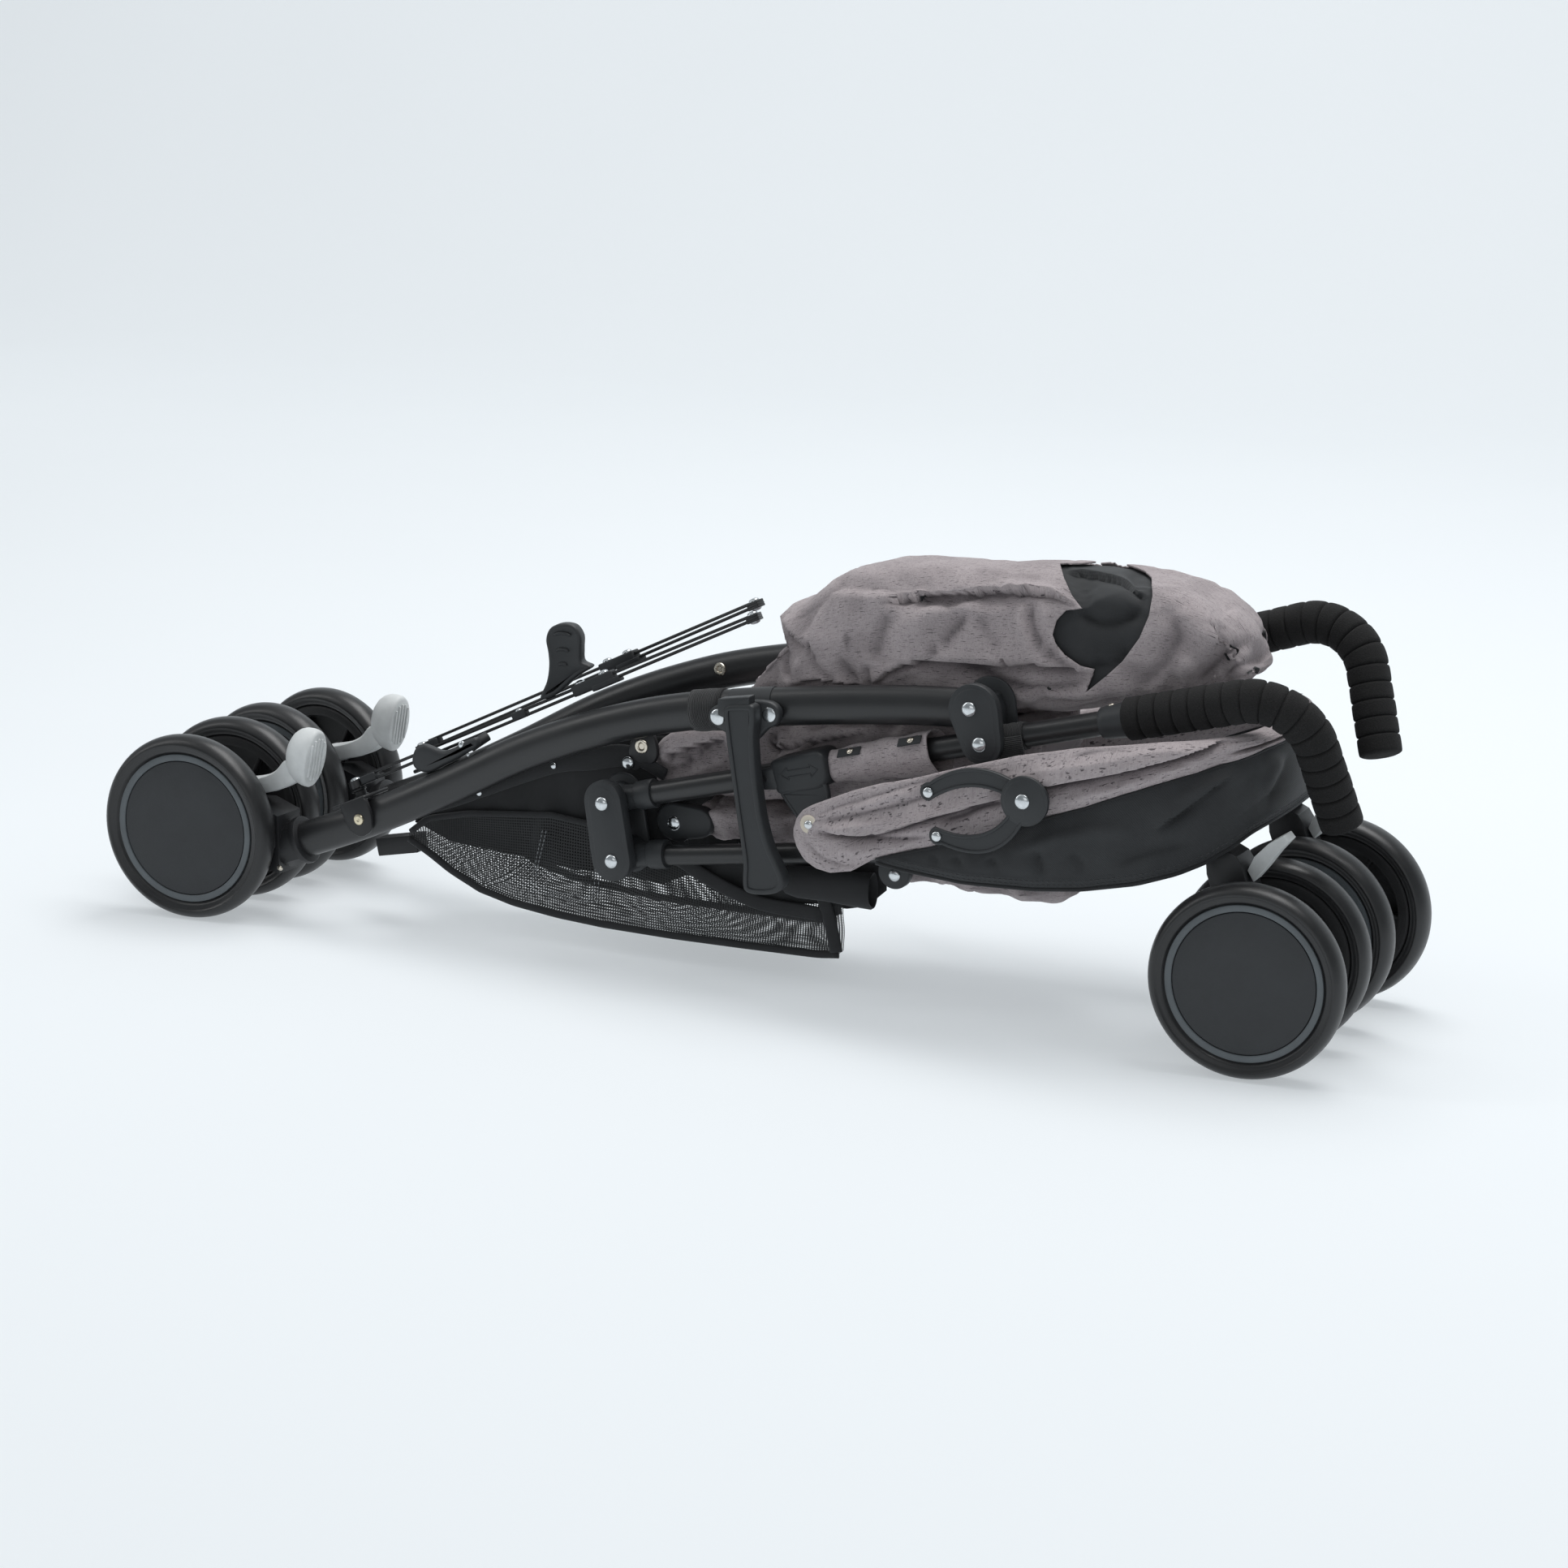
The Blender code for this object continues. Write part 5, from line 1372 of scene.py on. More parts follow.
# Seat and calf rest.

LOWER_SEAT_STATIONS = [
    (383, 142, 152, 0.5), (387, 133, 168, 0.85), (394, 130, 178, 0.96), (410, 129, 188, 1),
    (450, 130, 197, 1), (520, 136, 198.5, 1), (600, 146, 203, 1), (660, 158, 210, 1), (684, 168, 213, 0.95),
    (692, 180, 204, 0.6),
]
LOWER_FOLDS = seen_folds((480, 860), 2.24, [
    ([(745, 170), (790, 150), (850, 128), (925, 112)], "step", 5, 18),
    ([(760, 205), (810, 185), (850, 150), (880, 120)], "groove", 4.5, 13),
    ([(830, 215), (880, 190), (930, 170)], "ridge", 3, 14),
    ([(1060, 100), (1066, 130), (1120, 128), (1180, 105)], "step", 5, 14),
    ([(1064, 90), (1068, 160)], "groove", 4, 9),
    ([(1120, 150), (1150, 125), (1230, 108), (1330, 92)], "step", 4, 12),
    ([(1040, 290), (1070, 330), (1100, 345)], "groove", 5, 14),
    ([(1040, 360), (1075, 372), (1100, 366)], "groove", 4.5, 9),
    ([(1010, 250), (1050, 280), (1095, 300)], "ridge", 3, 15),
    ([(1430, 95), (1480, 100), (1540, 96)], "groove", 3, 8),
])


def lower_seat():
    """Folded front of the seat, a slack padded cover."""
    rows, columns = 150, 128
    grid = padded_grid(LOWER_SEAT_STATIONS, SEAT_HALF_WIDTH, rows, columns, -0.08, 2.5, (1.5, 6))
    normal = outward_normals(grid)
    points = grid.reshape(-1, 3)
    height = fold_amount(pixels_of(points), LOWER_FOLDS) * looks_here(normal)
    height = 1.4 * height + pinch(points, 0.036, 2) * 3.4 + cloudy(points, 0.08, 6) * 1.6 - 2.8
    moved = grid + normal * np.clip(height, -11, 2.5).reshape(rows, columns, 1)
    bm = rows_mesh(as_rows(moved))
    # Painted shade in the folds and in the valleys between the slack's bulges, painted highlight on the fold
    # crests.
    shade_folds(bm, fold_shade(pixels_of(points), LOWER_FOLDS) * looks_here(normal)
                + np.clip(0.9 - pinch(points, 0.036, 2), 0, 0.5) * 0.9)
    made = blend_piece("seat_front_cover", bm, MELANGE, replaces="lower_seat")


CALF_STATIONS = [
    (416, 99, 119, 0.9), (419, 96, 127, 0.99), (436, 93, 129, 1), (520, 92, 129, 1), (560, 88, 132, 1),
    (600, 80, 134, 1), (650, 75, 132, 1), (690, 73.5, 122, 0.97), (710, 79, 112, 0.85), (717, 90, 106, 0.6),
]


def calf_rest():
    """Sleeve over the calf rest's bars. Its open end is gathered by a sewn channel."""
    rows, columns = 150, 128
    grid = padded_grid(CALF_STATIONS, SEAT_HALF_WIDTH, rows, columns, -0.08, 1.5, (1, 5))
    normal = outward_normals(grid)
    points = grid.reshape(-1, 3)
    from_end = points[:, 0] - 416
    frill = np.sin(points[:, 2] * 0.95 + cloudy(points, 0.05, 3) * 4) * 1.8 * np.exp(-from_end / 12)
    channel = -2.4 * np.exp(-((from_end - 13) / 2.2) ** 2) + 1.2 * np.exp(-((from_end - 6) / 4) ** 2)
    height = frill + channel + pinch(points, 0.03, 8) * 2.2 + cloudy(points, 0.07, 5) - 1.8
    moved = grid + normal * np.clip(height, -7, 2).reshape(rows, columns, 1)
    bm = rows_mesh(as_rows(moved))
    # Painted shade in the frill's troughs, the sewn channel's groove and the slack's valleys, painted
    # highlight on the frill's crests.
    shade_folds(bm, np.clip(-0.12 * (frill + channel), -0.2, 0.6)
                + np.clip(0.85 - pinch(points, 0.03, 8), 0, 0.5))
    made = blend_piece("calf_rest_cover", bm, MELANGE, replaces="calf_rest")


# Canopy: plan line, and heights along x of its top, the seam and the visor's lower edge.

CANOPY_STEP = 2.6
FANS_START, VISOR_START = 531, 592
CANOPY_PLAN = [
    (531, -104), (545, -103.5), (575, -102), (630, -101.5), (700, -101.5), (760, -100.5), (799, -97),
    (826, -88), (843, -71), (852, -45), (856, -15),
]
CANOPY_TOP = [
    (531, 133), (533, 140), (538, 147), (545, 151.5), (556, 156.5), (577, 165.5), (599, 173), (626, 180),
    (660, 191), (700, 203), (746, 213), (800, 221), (838, 224), (870, 223),
]
CANOPY_SEAM = [
    (531, 128), (534, 119.5), (540, 111.5), (549, 106.5), (560, 104.5), (576, 107.5), (592, 117.5),
    (611, 124), (638, 132), (661, 140.5), (700, 154), (748, 172), (797, 192), (834, 206), (852, 212),
    (870, 216),
]
CANOPY_BOTTOM = [
    (592, 116.5), (618, 113.5), (661, 110.5), (713, 112), (748, 116), (786, 124), (812, 133), (828, 141),
    (840, 150), (848, 158), (856, 163),
]
CANOPY_VIEW = ((940, 860), 2.306)
CANOPY_FOLDS = seen_folds(*CANOPY_VIEW, [
    ([(640, 262), (800, 250), (900, 233), (1000, 214), (1100, 190), (1200, 160), (1290, 125), (1390, 85)],
     "step", 7, 26),
    ([(145, 372), (220, 386), (300, 388), (380, 372), (440, 352), (560, 318), (690, 284)], "step", 5, 16),
    ([(150, 356), (240, 338), (330, 318), (430, 290), (520, 268)], "groove", 2.6, 9),
    ([(140, 384), (220, 396), (300, 400), (400, 402), (480, 396)], "groove", 3, 9),
    ([(500, 352), (560, 338), (620, 312), (690, 300)], "groove", 4, 10),
    ([(112, 388), (130, 420), (170, 456), (240, 478), (330, 470)], "groove", 2, 6),
    ([(136, 344), (200, 314), (300, 284), (430, 245), (570, 212)], "groove", 1.6, 5),
    ([(200, 330), (320, 300), (430, 270)], "ridge", 1.8, 16),
    ([(180, 376), (260, 364), (360, 352)], "ridge", 2.2, 12),
    ([(210, 430), (300, 440), (420, 430)], "ridge", 2, 16),
    ([(860, 300), (1000, 268), (1150, 215), (1300, 160)], "ridge", 2, 18),
    ([(760, 210), (900, 190), (1050, 165), (1200, 128)], "ridge", 1.8, 14),
    ([(880, 168), (960, 152), (1040, 145)], "groove", 1.6, 8),
])
VISOR_FOLDS = seen_folds(*CANOPY_VIEW, [
    ([(1122, 376), (1150, 352), (1210, 310), (1270, 262), (1330, 225)], "step", 3.4, 26),
    ([(1300, 452), (1390, 390), (1452, 300), (1486, 220), (1496, 150)], "groove", 4.6, 40),
    ([(770, 430), (782, 470), (792, 508)], "groove", 3, 16),
    ([(480, 438), (492, 470), (496, 496)], "groove", 2.4, 9),
    ([(545, 448), (560, 476), (566, 500)], "groove", 2.2, 10),
    ([(400, 452), (410, 472), (414, 488)], "groove", 1.6, 7),
    ([(640, 452), (660, 480), (664, 506)], "groove", 2, 12),
    ([(870, 440), (900, 470), (905, 510)], "groove", 2, 18),
    ([(700, 440), (800, 410), (960, 380), (1060, 382)], "ridge", 2, 22),
    ([(1000, 480), (1100, 440), (1220, 420)], "groove", 2.4, 24),
    ([(1180, 300), (1290, 250), (1380, 180)], "ridge", 2.4, 26),
    ([(1420, 140), (1470, 190), (1440, 260)], "ridge", 2, 22),
])


def along_profile(profile, x):
    """Height of a profile at x."""
    table = np.array(profile)
    return float(np.interp(x, table[:, 0], table[:, 1]))


def canopy_rows(x_start):
    """Even points along the plan line from the near side, round the end, to the far side."""
    whole = CANOPY_PLAN + [(x, -y) for x, y in reversed(CANOPY_PLAN)]
    line = np.array([p[:2] for p in smooth_line([(x, y, 0) for x, y in whole], 12)])
    line = line[line[:, 0] >= x_start - 1e-6]
    run = np.concatenate([[0], np.cumsum(np.linalg.norm(np.diff(line, axis=0), axis=1))])
    even = np.linspace(0, run[-1], int(run[-1] / CANOPY_STEP))
    line = np.stack([np.interp(even, run, line[:, k]) for k in range(2)], axis=1)
    heading = np.gradient(line, axis=0)
    heading /= np.linalg.norm(heading, axis=1, keepdims=True)
    outward = np.stack([heading[:, 1], -heading[:, 0]], axis=1)
    return line, outward, even, run[-1]


def canopy_fans():
    """Folded melange panels, pleated, whose creases meet at the pivot snap."""
    line, outward, run, whole = canopy_rows(FANS_START)
    outer, inner = 52, 14
    grid = np.zeros((len(line), outer + inner, 3))
    quiet = np.zeros((len(line), outer + inner))
    for i, ((x, y), (ox, oy), s) in enumerate(zip(line, outward, run)):
        low, high = along_profile(CANOPY_SEAM, x), along_profile(CANOPY_TOP, x)
        from_nose = min(s, whole - s)
        grow = min(from_nose / 26, 1) ** 0.5
        thick = 13 * min(0.35 + from_nose / 60, 1)
        for j in range(outer + inner):
            if j < outer:
                t = j / (outer - 1)
                out = (1.5 + 5.5 * math.sin(math.pi * t) ** 0.6) * grow
                wave = noise.noise(Vector((s * 0.03, t * 2.2, 5))) * 2
                out += (wave + noise.noise(Vector((s * 0.07, t * 7, 1)))) * min(from_nose / 50, 1)
                quiet[i, j] = min(t * 8, (1 - t) * 8, 1)
            else:
                t = 1 - (j - outer + 0.5) / inner
                out = -thick * math.sin(math.pi * min(max(t, 0.02), 0.98)) ** 0.35
            grid[i, j] = (x + ox * out, y + oy * out, low + (high - low) * t)
    points = grid.reshape(-1, 3)
    normal = np.zeros_like(grid)
    normal[..., 0], normal[..., 1] = outward[:, :1], outward[:, 1:]
    height = fold_amount(pixels_of(points), CANOPY_FOLDS) * looks_here(normal, 0.1) * quiet.reshape(-1)
    mirrored = across_middle(points)
    far_side = np.clip((points[:, 1] - 60) / 25, 0, 1) * quiet.reshape(-1)
    height += fold_amount(pixels_of(mirrored), CANOPY_FOLDS) * far_side
    around = np.clip((points[:, 0] - 780) / 50, 0, 1) * np.clip((85 - np.abs(points[:, 1])) / 20, 0, 1)
    share = np.tile(np.concatenate([np.linspace(0, 1, outer), np.full(inner, 0.5)]), len(line))
    height -= around * 4.5 * np.exp(-((share - 0.42) / 0.07) ** 2) * quiet.reshape(-1)
    moved = grid + normal * np.clip(height * 1.25, -10, 6).reshape(len(line), -1, 1)
    bm = rows_mesh(as_rows(moved))
    # Painted shade in the pleats' folds and in the groove round the nose, painted highlight on the fold
    # crests.
    shadow = 1.5 * fold_shade(pixels_of(points), CANOPY_FOLDS) * looks_here(normal, 0.1) * quiet.reshape(-1)
    shadow += fold_shade(pixels_of(mirrored), CANOPY_FOLDS) * far_side
    shadow += 0.8 * around * np.exp(-((share - 0.42) / 0.05) ** 2)
    shade_folds(bm, shadow)
    made = blend_piece("canopy_folded_panels", bm, MELANGE, replaces="canopy_fans")


def canopy_visor():
    """Black hood panel in one curved sheet, with a sewn hem and a piped seam."""
    line, outward, run, whole = canopy_rows(VISOR_START)
    columns = 48
    grid = np.zeros((len(line), columns, 3))
    for i, ((x, y), (ox, oy), s) in enumerate(zip(line, outward, run)):
        low, high = along_profile(CANOPY_BOTTOM, x), along_profile(CANOPY_SEAM, x) - 0.4
        from_tip = min(s, whole - s)
        grow = min(from_tip / 70, 1)
        for j in range(columns):
            t = j / (columns - 1)
            out = 2.6 + (7.2 * math.sin(math.pi * min(t * 0.96 + 0.02, 1)) ** 0.75 - 0.8 * t) * grow
            hem = (high - low) * t
            out += 0.7 * (1 if hem < 7.5 else math.exp(-(hem - 7.5) / 0.9)) * min(from_tip / 12, 1)
            wave = noise.noise(Vector((s * 0.018, t * 1.3, 11))) * 2.2
            out += wave * grow * math.sin(math.pi * min(t + 0.08, 1))
            grid[i, j] = (x + ox * out, y + oy * out, low + (high - low) * t)
    points = grid.reshape(-1, 3)
    normal = grid_normals(grid, False)
    middle = np.array([700, 0, 160])
    if ((grid - middle) * normal)[:60].sum() < 0:
        normal = -normal
    tall = (grid[:, -1, 2] - grid[:, 0, 2])[:, None]
    share = (grid[..., 2] - grid[:, :1, 2]) / np.maximum(tall, 1e-6)
    quiet = np.clip(np.minimum(share * tall - 7, (1 - share) * tall) / 12, 0, 1).reshape(-1)
    height = fold_amount(pixels_of(points), VISOR_FOLDS) * looks_here(normal, 0.1) * quiet
    moved = grid + normal * np.clip(height * 1.4, -7, 4).reshape(len(line), columns, 1)
    bm = rows_mesh(as_rows(moved), False)
    # Painted shade in the hood's folds, painted highlight on their crests.
    shade_folds(bm, fold_shade(pixels_of(points), VISOR_FOLDS) * looks_here(normal, 0.1) * quiet)
    visor = blend_piece("canopy_hood", bm, BLACK, replaces="canopy_visor", thickness=1.2)
    seam = [Vector(p) for p in moved[::2, -1]]
    hem = [Vector(p) for p in moved[::2, 0]]
    piping = merge(tube(seam, 1.3, 8, UP), tube(hem, 1.6, 8, UP))
    edge = blend_piece("canopy_piping", piping, BINDING)
    parts = []
    for above in (3.2, 6.2):
        track = []
        for row, up in zip(moved, normal):
            z = row[0, 2] + above
            if row[-1, 2] - row[0, 2] >= above + 2:
                spot = [np.interp(z, row[:, 2], row[:, k]) for k in range(3)]
                track.append(Vector(spot) + Vector(up[2]) * 0.15)
        parts.append(stitches(track, 2.6, 1.3, 0.3))
    seams = blend_piece("canopy_hem_stitches", merge(*parts), DARK_THREAD)


def stitches(track, length, gap, radius):
    """Small thread stitches along a line on a surface."""
    run = [0]
    for a, b in zip(track, track[1:]):
        run.append(run[-1] + (b - a).length)
    spots = np.array([p[:] for p in track])
    parts, at = bmesh.new(), 0.5 * gap
    while at + length < run[-1]:
        ends = [Vector([np.interp(d, run, spots[:, k]) for k in range(3)]) for d in (at, at + length)]
        along = (ends[1] - ends[0]).normalized()
        up = best_across(along).cross(along).normalized()
        across = along.cross(up)
        rows = []
        for shift, size in ((0, 0.3), (0.12, 0.9), (0.5, 1.1), (0.88, 0.9), (1, 0.3)):
            centre = ends[0].lerp(ends[1], shift)
            rows.append([parts.verts.new(centre + (up * math.sin(a) + across * math.cos(a)) * radius * size)
                         for a in (0, 1.571, 3.142, 4.712)])
        for first, second in zip(rows, rows[1:]):
            for k in range(4):
                parts.faces.new((first[k], first[(k + 1) % 4], second[(k + 1) % 4], second[k]))
        at += length + gap
    bmesh.ops.recalc_face_normals(parts, faces=parts.faces)
    return parts


# Basket.

BASKET_RIM = [
    (168, 74), (186, 88), (223, 96), (296, 103), (350, 98), (402, 84), (450, 66), (490, 58), (520, 58),
    (548, 76),
]
BASKET_LOW = [
    (168, 70), (186, 61), (206, 49), (232, 37.5), (262, 30.5), (300, 26), (340, 23.5), (400, 22.5),
    (460, 23), (520, 24), (537, 26), (548, 36), (560, 56),
]


# Share of each cell of the net that is open.
NET_HOLE = 0.56


def net_mesh(grid):
    """Knitted net: every cell of the grid is a frame of four faces round a hole."""
    bm = bmesh.new()
    layer = bm.loops.layers.uv.new("UVMap")
    rows, columns, _ = grid.shape
    knots = [[bm.verts.new(Vector(p)) for p in row] for row in grid]
    for i in range(rows - 1):
        for j in range(columns - 1):
            corners = [knots[i][j], knots[i][j + 1], knots[i + 1][j + 1], knots[i + 1][j]]
            middle = (corners[0].co + corners[1].co + corners[2].co + corners[3].co) * 0.25
            holes = [bm.verts.new(middle.lerp(c.co, NET_HOLE)) for c in corners]
            uvs = [(i, j), (i, j + 1), (i + 1, j + 1), (i + 1, j)]
            for k in range(4):
                n = (k + 1) % 4
                if (corners[k].co - corners[n].co).length < 1e-4:
                    continue
                face = bm.faces.new((corners[k], corners[n], holes[n], holes[k]))
                inner = [(0.5 + i + (u - i - 0.5) * NET_HOLE, 0.5 + j + (v - j - 0.5) * NET_HOLE)
                         for u, v in uvs]
                for loop, uv in zip(face.loops, (uvs[k], uvs[n], inner[n], inner[k])):
                    loop[layer].uv = (uv[0] * 0.002, uv[1] * 0.002)
    return bm


NET_PITCH = 2.1


def wall_grid(first, second, x_from, x_to, pitch, place):
    """Grid of points between two height lines along x. place(x, share, z) gives the point."""
    columns = 34
    rows = int((x_to - x_from) / pitch)
    grid = np.zeros((rows, columns, 3))
    for i in range(rows):
        x = x_from + (x_to - x_from) * i / (rows - 1)
        low, high = along_profile(first, x), along_profile(second, x)
        for j in range(columns):
            t = j / (columns - 1)
            grid[i, j] = place(x, t, low + (high - low) * t)
    return grid


# Black cloth inside the basket: heights along x of its two edges.
LINING_TOP = [(172, 88), (192, 96), (233, 113), (262, 126), (297, 143), (326, 150), (352, 153), (390, 147),
              (412, 128)]
LINING_LOW = [(172, 83), (181, 80), (204, 71), (255, 68), (295, 64), (330, 62), (354, 63), (390, 60),
              (412, 70)]
END_TOP = [(412, 86), (440, 90), (500, 98), (545, 100), (574, 99)]
END_LOW = [(412, 70), (440, 58), (480, 56), (524, 62), (541, 60), (558, 64), (574, 78)]


def basket_lining():
    """Black cloth hung behind the net's upper edge, and the gathered end beside it."""
    for name, low, high, x_from, x_to, flat, area in (
            ("basket_lining", LINING_LOW, LINING_TOP, 172, 412, (0.25, 0.10), 0.0168),
            ("basket_end_cloth", END_LOW, END_TOP, 412, 574, (0.17, 0.04), 0.0050)):
        for sign, side in SIDES:
            def place(x, t, z):
                wave = 2 * math.sin(x * 0.09 + t * 3) + 1.5 * math.sin(x * 0.21 - t * 4)
                return (x, sign * (40.5 + wave * math.sin(math.pi * min(t + 0.1, 1)) * 0.7), z)
            grid = wall_grid(low, high, x_from, x_to, 2.4, place)
            bm = rows_mesh(as_rows(grid), False)
            # Even painted shade over the lining inside the basket, patchy with cloudy noise.
            shade_folds(bm, 0.35 + 0.5 * cloudy(grid.reshape(-1, 3), 0.03, 4))
            made = piece(f"{name}_{side}", bm, BINDING, f"{side}_frame", angle=180)
            solid(made, 0.9)


def basket():
    """Net basket: two walls and a floor of net, bound with black tape."""
    def side_wall(sign):
        def place(x, t, z):
            wave = noise.noise(Vector((x * 0.022, t * 1.6, 3 + sign))) * 3.5
            fold = 2.2 * math.sin(x * 0.06 + t * 2 + math.sin(x * 0.021) * 2) * math.sin(math.pi * t)
            taper = min((x - 160) / 30, 1)
            return (x, sign * (44.5 + (wave + fold) * math.sin(math.pi * min(t + 0.1, 1)) * taper - 1.5), z)
        return place

    def floor(x, t, z):
        low = along_profile(BASKET_LOW, x)
        sag = 4 * math.sin(math.pi * t) * min((x - 160) / 60, 1)
        sag += noise.noise(Vector((x * 0.02, t * 3, 8))) * 2.5 * math.sin(math.pi * t)
        z = max(low - sag, 18.5) if x > 230 else low - 0.3 * sag
        return (168 + (x - 168) * (1 - 0.12 * t), -43 + 86 * t, z)

    near = wall_grid(BASKET_LOW, BASKET_RIM, 168, 541, NET_PITCH, side_wall(-1))
    far = wall_grid(BASKET_LOW, BASKET_RIM, 168, 494, NET_PITCH, side_wall(1))
    base = wall_grid(BASKET_LOW, BASKET_LOW, 168, 538, NET_PITCH, floor)
    nets = merge(net_mesh(near), net_mesh(far), net_mesh(base))
    net = blend_piece("basket_net", nets, NET, replaces="basket")

    def edge_line(profile, x_from, x_to, sign):
        count = int((x_to - x_from) / 7)
        xs = [x_from + (x_to - x_from) * i / count for i in range(count + 1)]
        return [Vector((x, sign * 43.5, along_profile(profile, x))) for x in xs]

    tapes = []
    for sign, _ in SIDES:
        low = edge_line(BASKET_LOW, 168, 537 if sign < 0 else 492, sign)
        tapes.append(tube(smooth_line(low, 2), (2.9, 1.5), 12))
        rim = edge_line(BASKET_RIM, 170, 402, sign)
        tapes.append(tube(smooth_line(rim, 2), (2.4, 1.3), 12))
        hem = [(402, 84), (432, 70), (460, 60), (482, 56), (526 if sign < 0 else 490, 55)]
        tapes.append(tube(smooth_line([(x, sign * 44.5, z) for x, z in hem], 5), (5.4, 1.2), 14))
        shift = 0 if sign < 0 else -44
        side = [(522 + shift, 78), (527 + shift, 62), (532 + shift, 46), (536 + shift, 28)]
        tapes.append(tube(smooth_line([(x, sign * 45, z) for x, z in side], 5), (5.2, 1.3), 14))
    basket_lining()
    tape = blend_piece("basket_tape", merge(*tapes), BINDING)
    box = [(291, 92), (281, 50), (287, 43), (330, 41), (338, 47), (340, 92)]
    rows_of = []
    for inset in (0, 3.2):
        track = [Vector((x + (inset if x < 310 else -inset), -47.2, z + (inset if z < 60 else 0)))
                 for x, z in box]
        rows_of.append(stitches(smooth_line(track, 8), 2.4, 1.1, 0.42))
    seams = blend_piece("basket_stitches", merge(*rows_of), THREAD)


seat_bag()
lower_seat()
calf_rest()
canopy_fans()
canopy_visor()
basket()


# Hardware shaped after the photograph.


def channel_plate(outline, y_back, y_front, rim, depth):
    """Plate with rounded edges whose front is sunk inside a narrow rim."""
    out = -1 if y_front < y_back else 1
    levels = [(0.9, y_back), (0.2, y_back + out * 0.4), (0, y_back + out), (0, y_front - out),
              (0.25, y_front - out * 0.35), (0.8, y_front), (rim, y_front),
              (rim + 0.35, y_front - out * 0.25), (rim + 0.6, y_front - out * depth)]
    return slab(outline, levels)


def loop_line(points, steps=6):
    """Closed smooth outline through (x, z) points."""
    return [(p.x, p.y) for p in smooth_loop([(x, z, 0) for x, z in points], steps)]


def rounded(points, radius, steps=5):
    """Closed outline whose corners are rounded."""
    line = []
    for before, at, after in zip(points[-1:] + points[:-1], points, points[1:] + points[:1]):
        a, b, c = Vector(before), Vector(at), Vector(after)
        start = b + (a - b).normalized() * min(radius, 0.45 * (a - b).length)
        end = b + (c - b).normalized() * min(radius, 0.45 * (c - b).length)
        for i in range(steps + 1):
            t = i / steps
            spot = start * (1 - t) ** 2 + b * (2 * t * (1 - t)) + end * t ** 2
            line.append((spot.x, spot.y))
    return line


def brake_pedal(side):
    """Waisted arm with a domed foot pad whose flat face carries five ribs."""
    arm_outline = loop_line([(19, 98), (21, 103.5), (28, 107), (46, 110.5), (62, 117), (73, 127), (82, 120),
                             (80, 111), (67, 103), (46, 97), (30, 91), (22, 92)])
    arm = slab(arm_outline, [(3, SIDE_Y - 8), (1, SIDE_Y - 7.4), (0, SIDE_Y - 5.5), (0, SIDE_Y + 5.5),
                             (1, SIDE_Y + 7.4), (3, SIDE_Y + 8)])
    lean = Matrix.Translation((88, SIDE_Y, 131)) @ Matrix.Rotation(math.radians(12), 4, "Y")
    rows = []
    for x, scale in ((-15.4, 0.06), (-14.6, 0.30), (-13, 0.52), (-10.5, 0.71), (-7, 0.86), (-2.5, 0.96),
                     (2, 0.995), (5.5, 1), (7.6, 0.985), (9, 0.94), (9.6, 0.88), (9.6, 0.6), (9.6, 0.2)):
        rows.append([Vector((x, 15 * scale * math.cos(a), 23.5 * scale * math.sin(a)))
                     for a in round_angles(44)])
    pad = rows_mesh(rows)
    ribs = []
    for i in range(5):
        y = -8 + 4 * i
        tall = 2 * 17 * math.sqrt(1 - (y / 12.6) ** 2)
        ribs.append(rounded_box((2.6, 1.9, tall), 0.5, Matrix.Translation((9.6, y, 0))))
    whole = merge(pad, *ribs)
    whole.transform(lean)
    piece(f"brake_pad_{side}", merge(arm, whole), GREY, f"brake_pedal_{side}",
          side_matrix(side, "leg"), replaces=f"brake_pedal_{side}", angle=44)
    pin = rod(Vector((26, SIDE_Y - 15.4, 98)), Vector((26, SIDE_Y + 15.4, 98)), 2.6, 20)
    ends = [dome(Vector((26, SIDE_Y + s * 15.2, 98)), ACROSS * s, 4, 1.8) for s in (-1, 1)]
    piece(f"brake_pin_{side}", merge(pin, *ends), STEEL, f"rear_leg_{side}",
          side_matrix(side, "leg"))


def housing_trim(side):
    """Collar lip round the leg, fluted rear face and small pin of the rear housing."""
    along = Vector((70, 0, 27)).normalized()
    start = Vector((67, SIDE_Y, 57))
    lip = tube([start + along * d for d in (15.5, 16.2, 19, 20.8, 21.3)],
               lambda i: ((17.6, 14.6), (18.7, 15.7), (19, 16), (18.6, 15.6), (17.4, 14.4))[i], 36)
    flutes = []
    for x in (51, 58, 65):
        low, high = Vector((x, SIDE_Y - 15, 50 + 0.12 * x)), Vector((x, SIDE_Y - 15, 96 - 0.16 * x))
        flutes.append(tube([low, low.lerp(high, 0.06), low.lerp(high, 0.94), high],
                           lambda i: (1.2, 2.4, 2.4, 1.2)[i], 16))
    piece(f"housing_trim_{side}", merge(lip, *flutes), DARK_PLASTIC, f"rear_leg_{side}",
          side_matrix(side, "leg"), angle=45)
    pin = dome(Vector((71, SIDE_Y - 15.3, 43)), Vector((0, -1, -0.3)), 2.4, 1.4)
    piece(f"housing_pin_{side}", pin, NICKEL, f"rear_leg_{side}", side_matrix(side, "leg"))


# From x along the handle tube and z up off it to the drawing.
CLIP_TURN = Matrix((HANDLE_ALONG, ACROSS, -HANDLE_DOWN)).transposed().to_4x4()


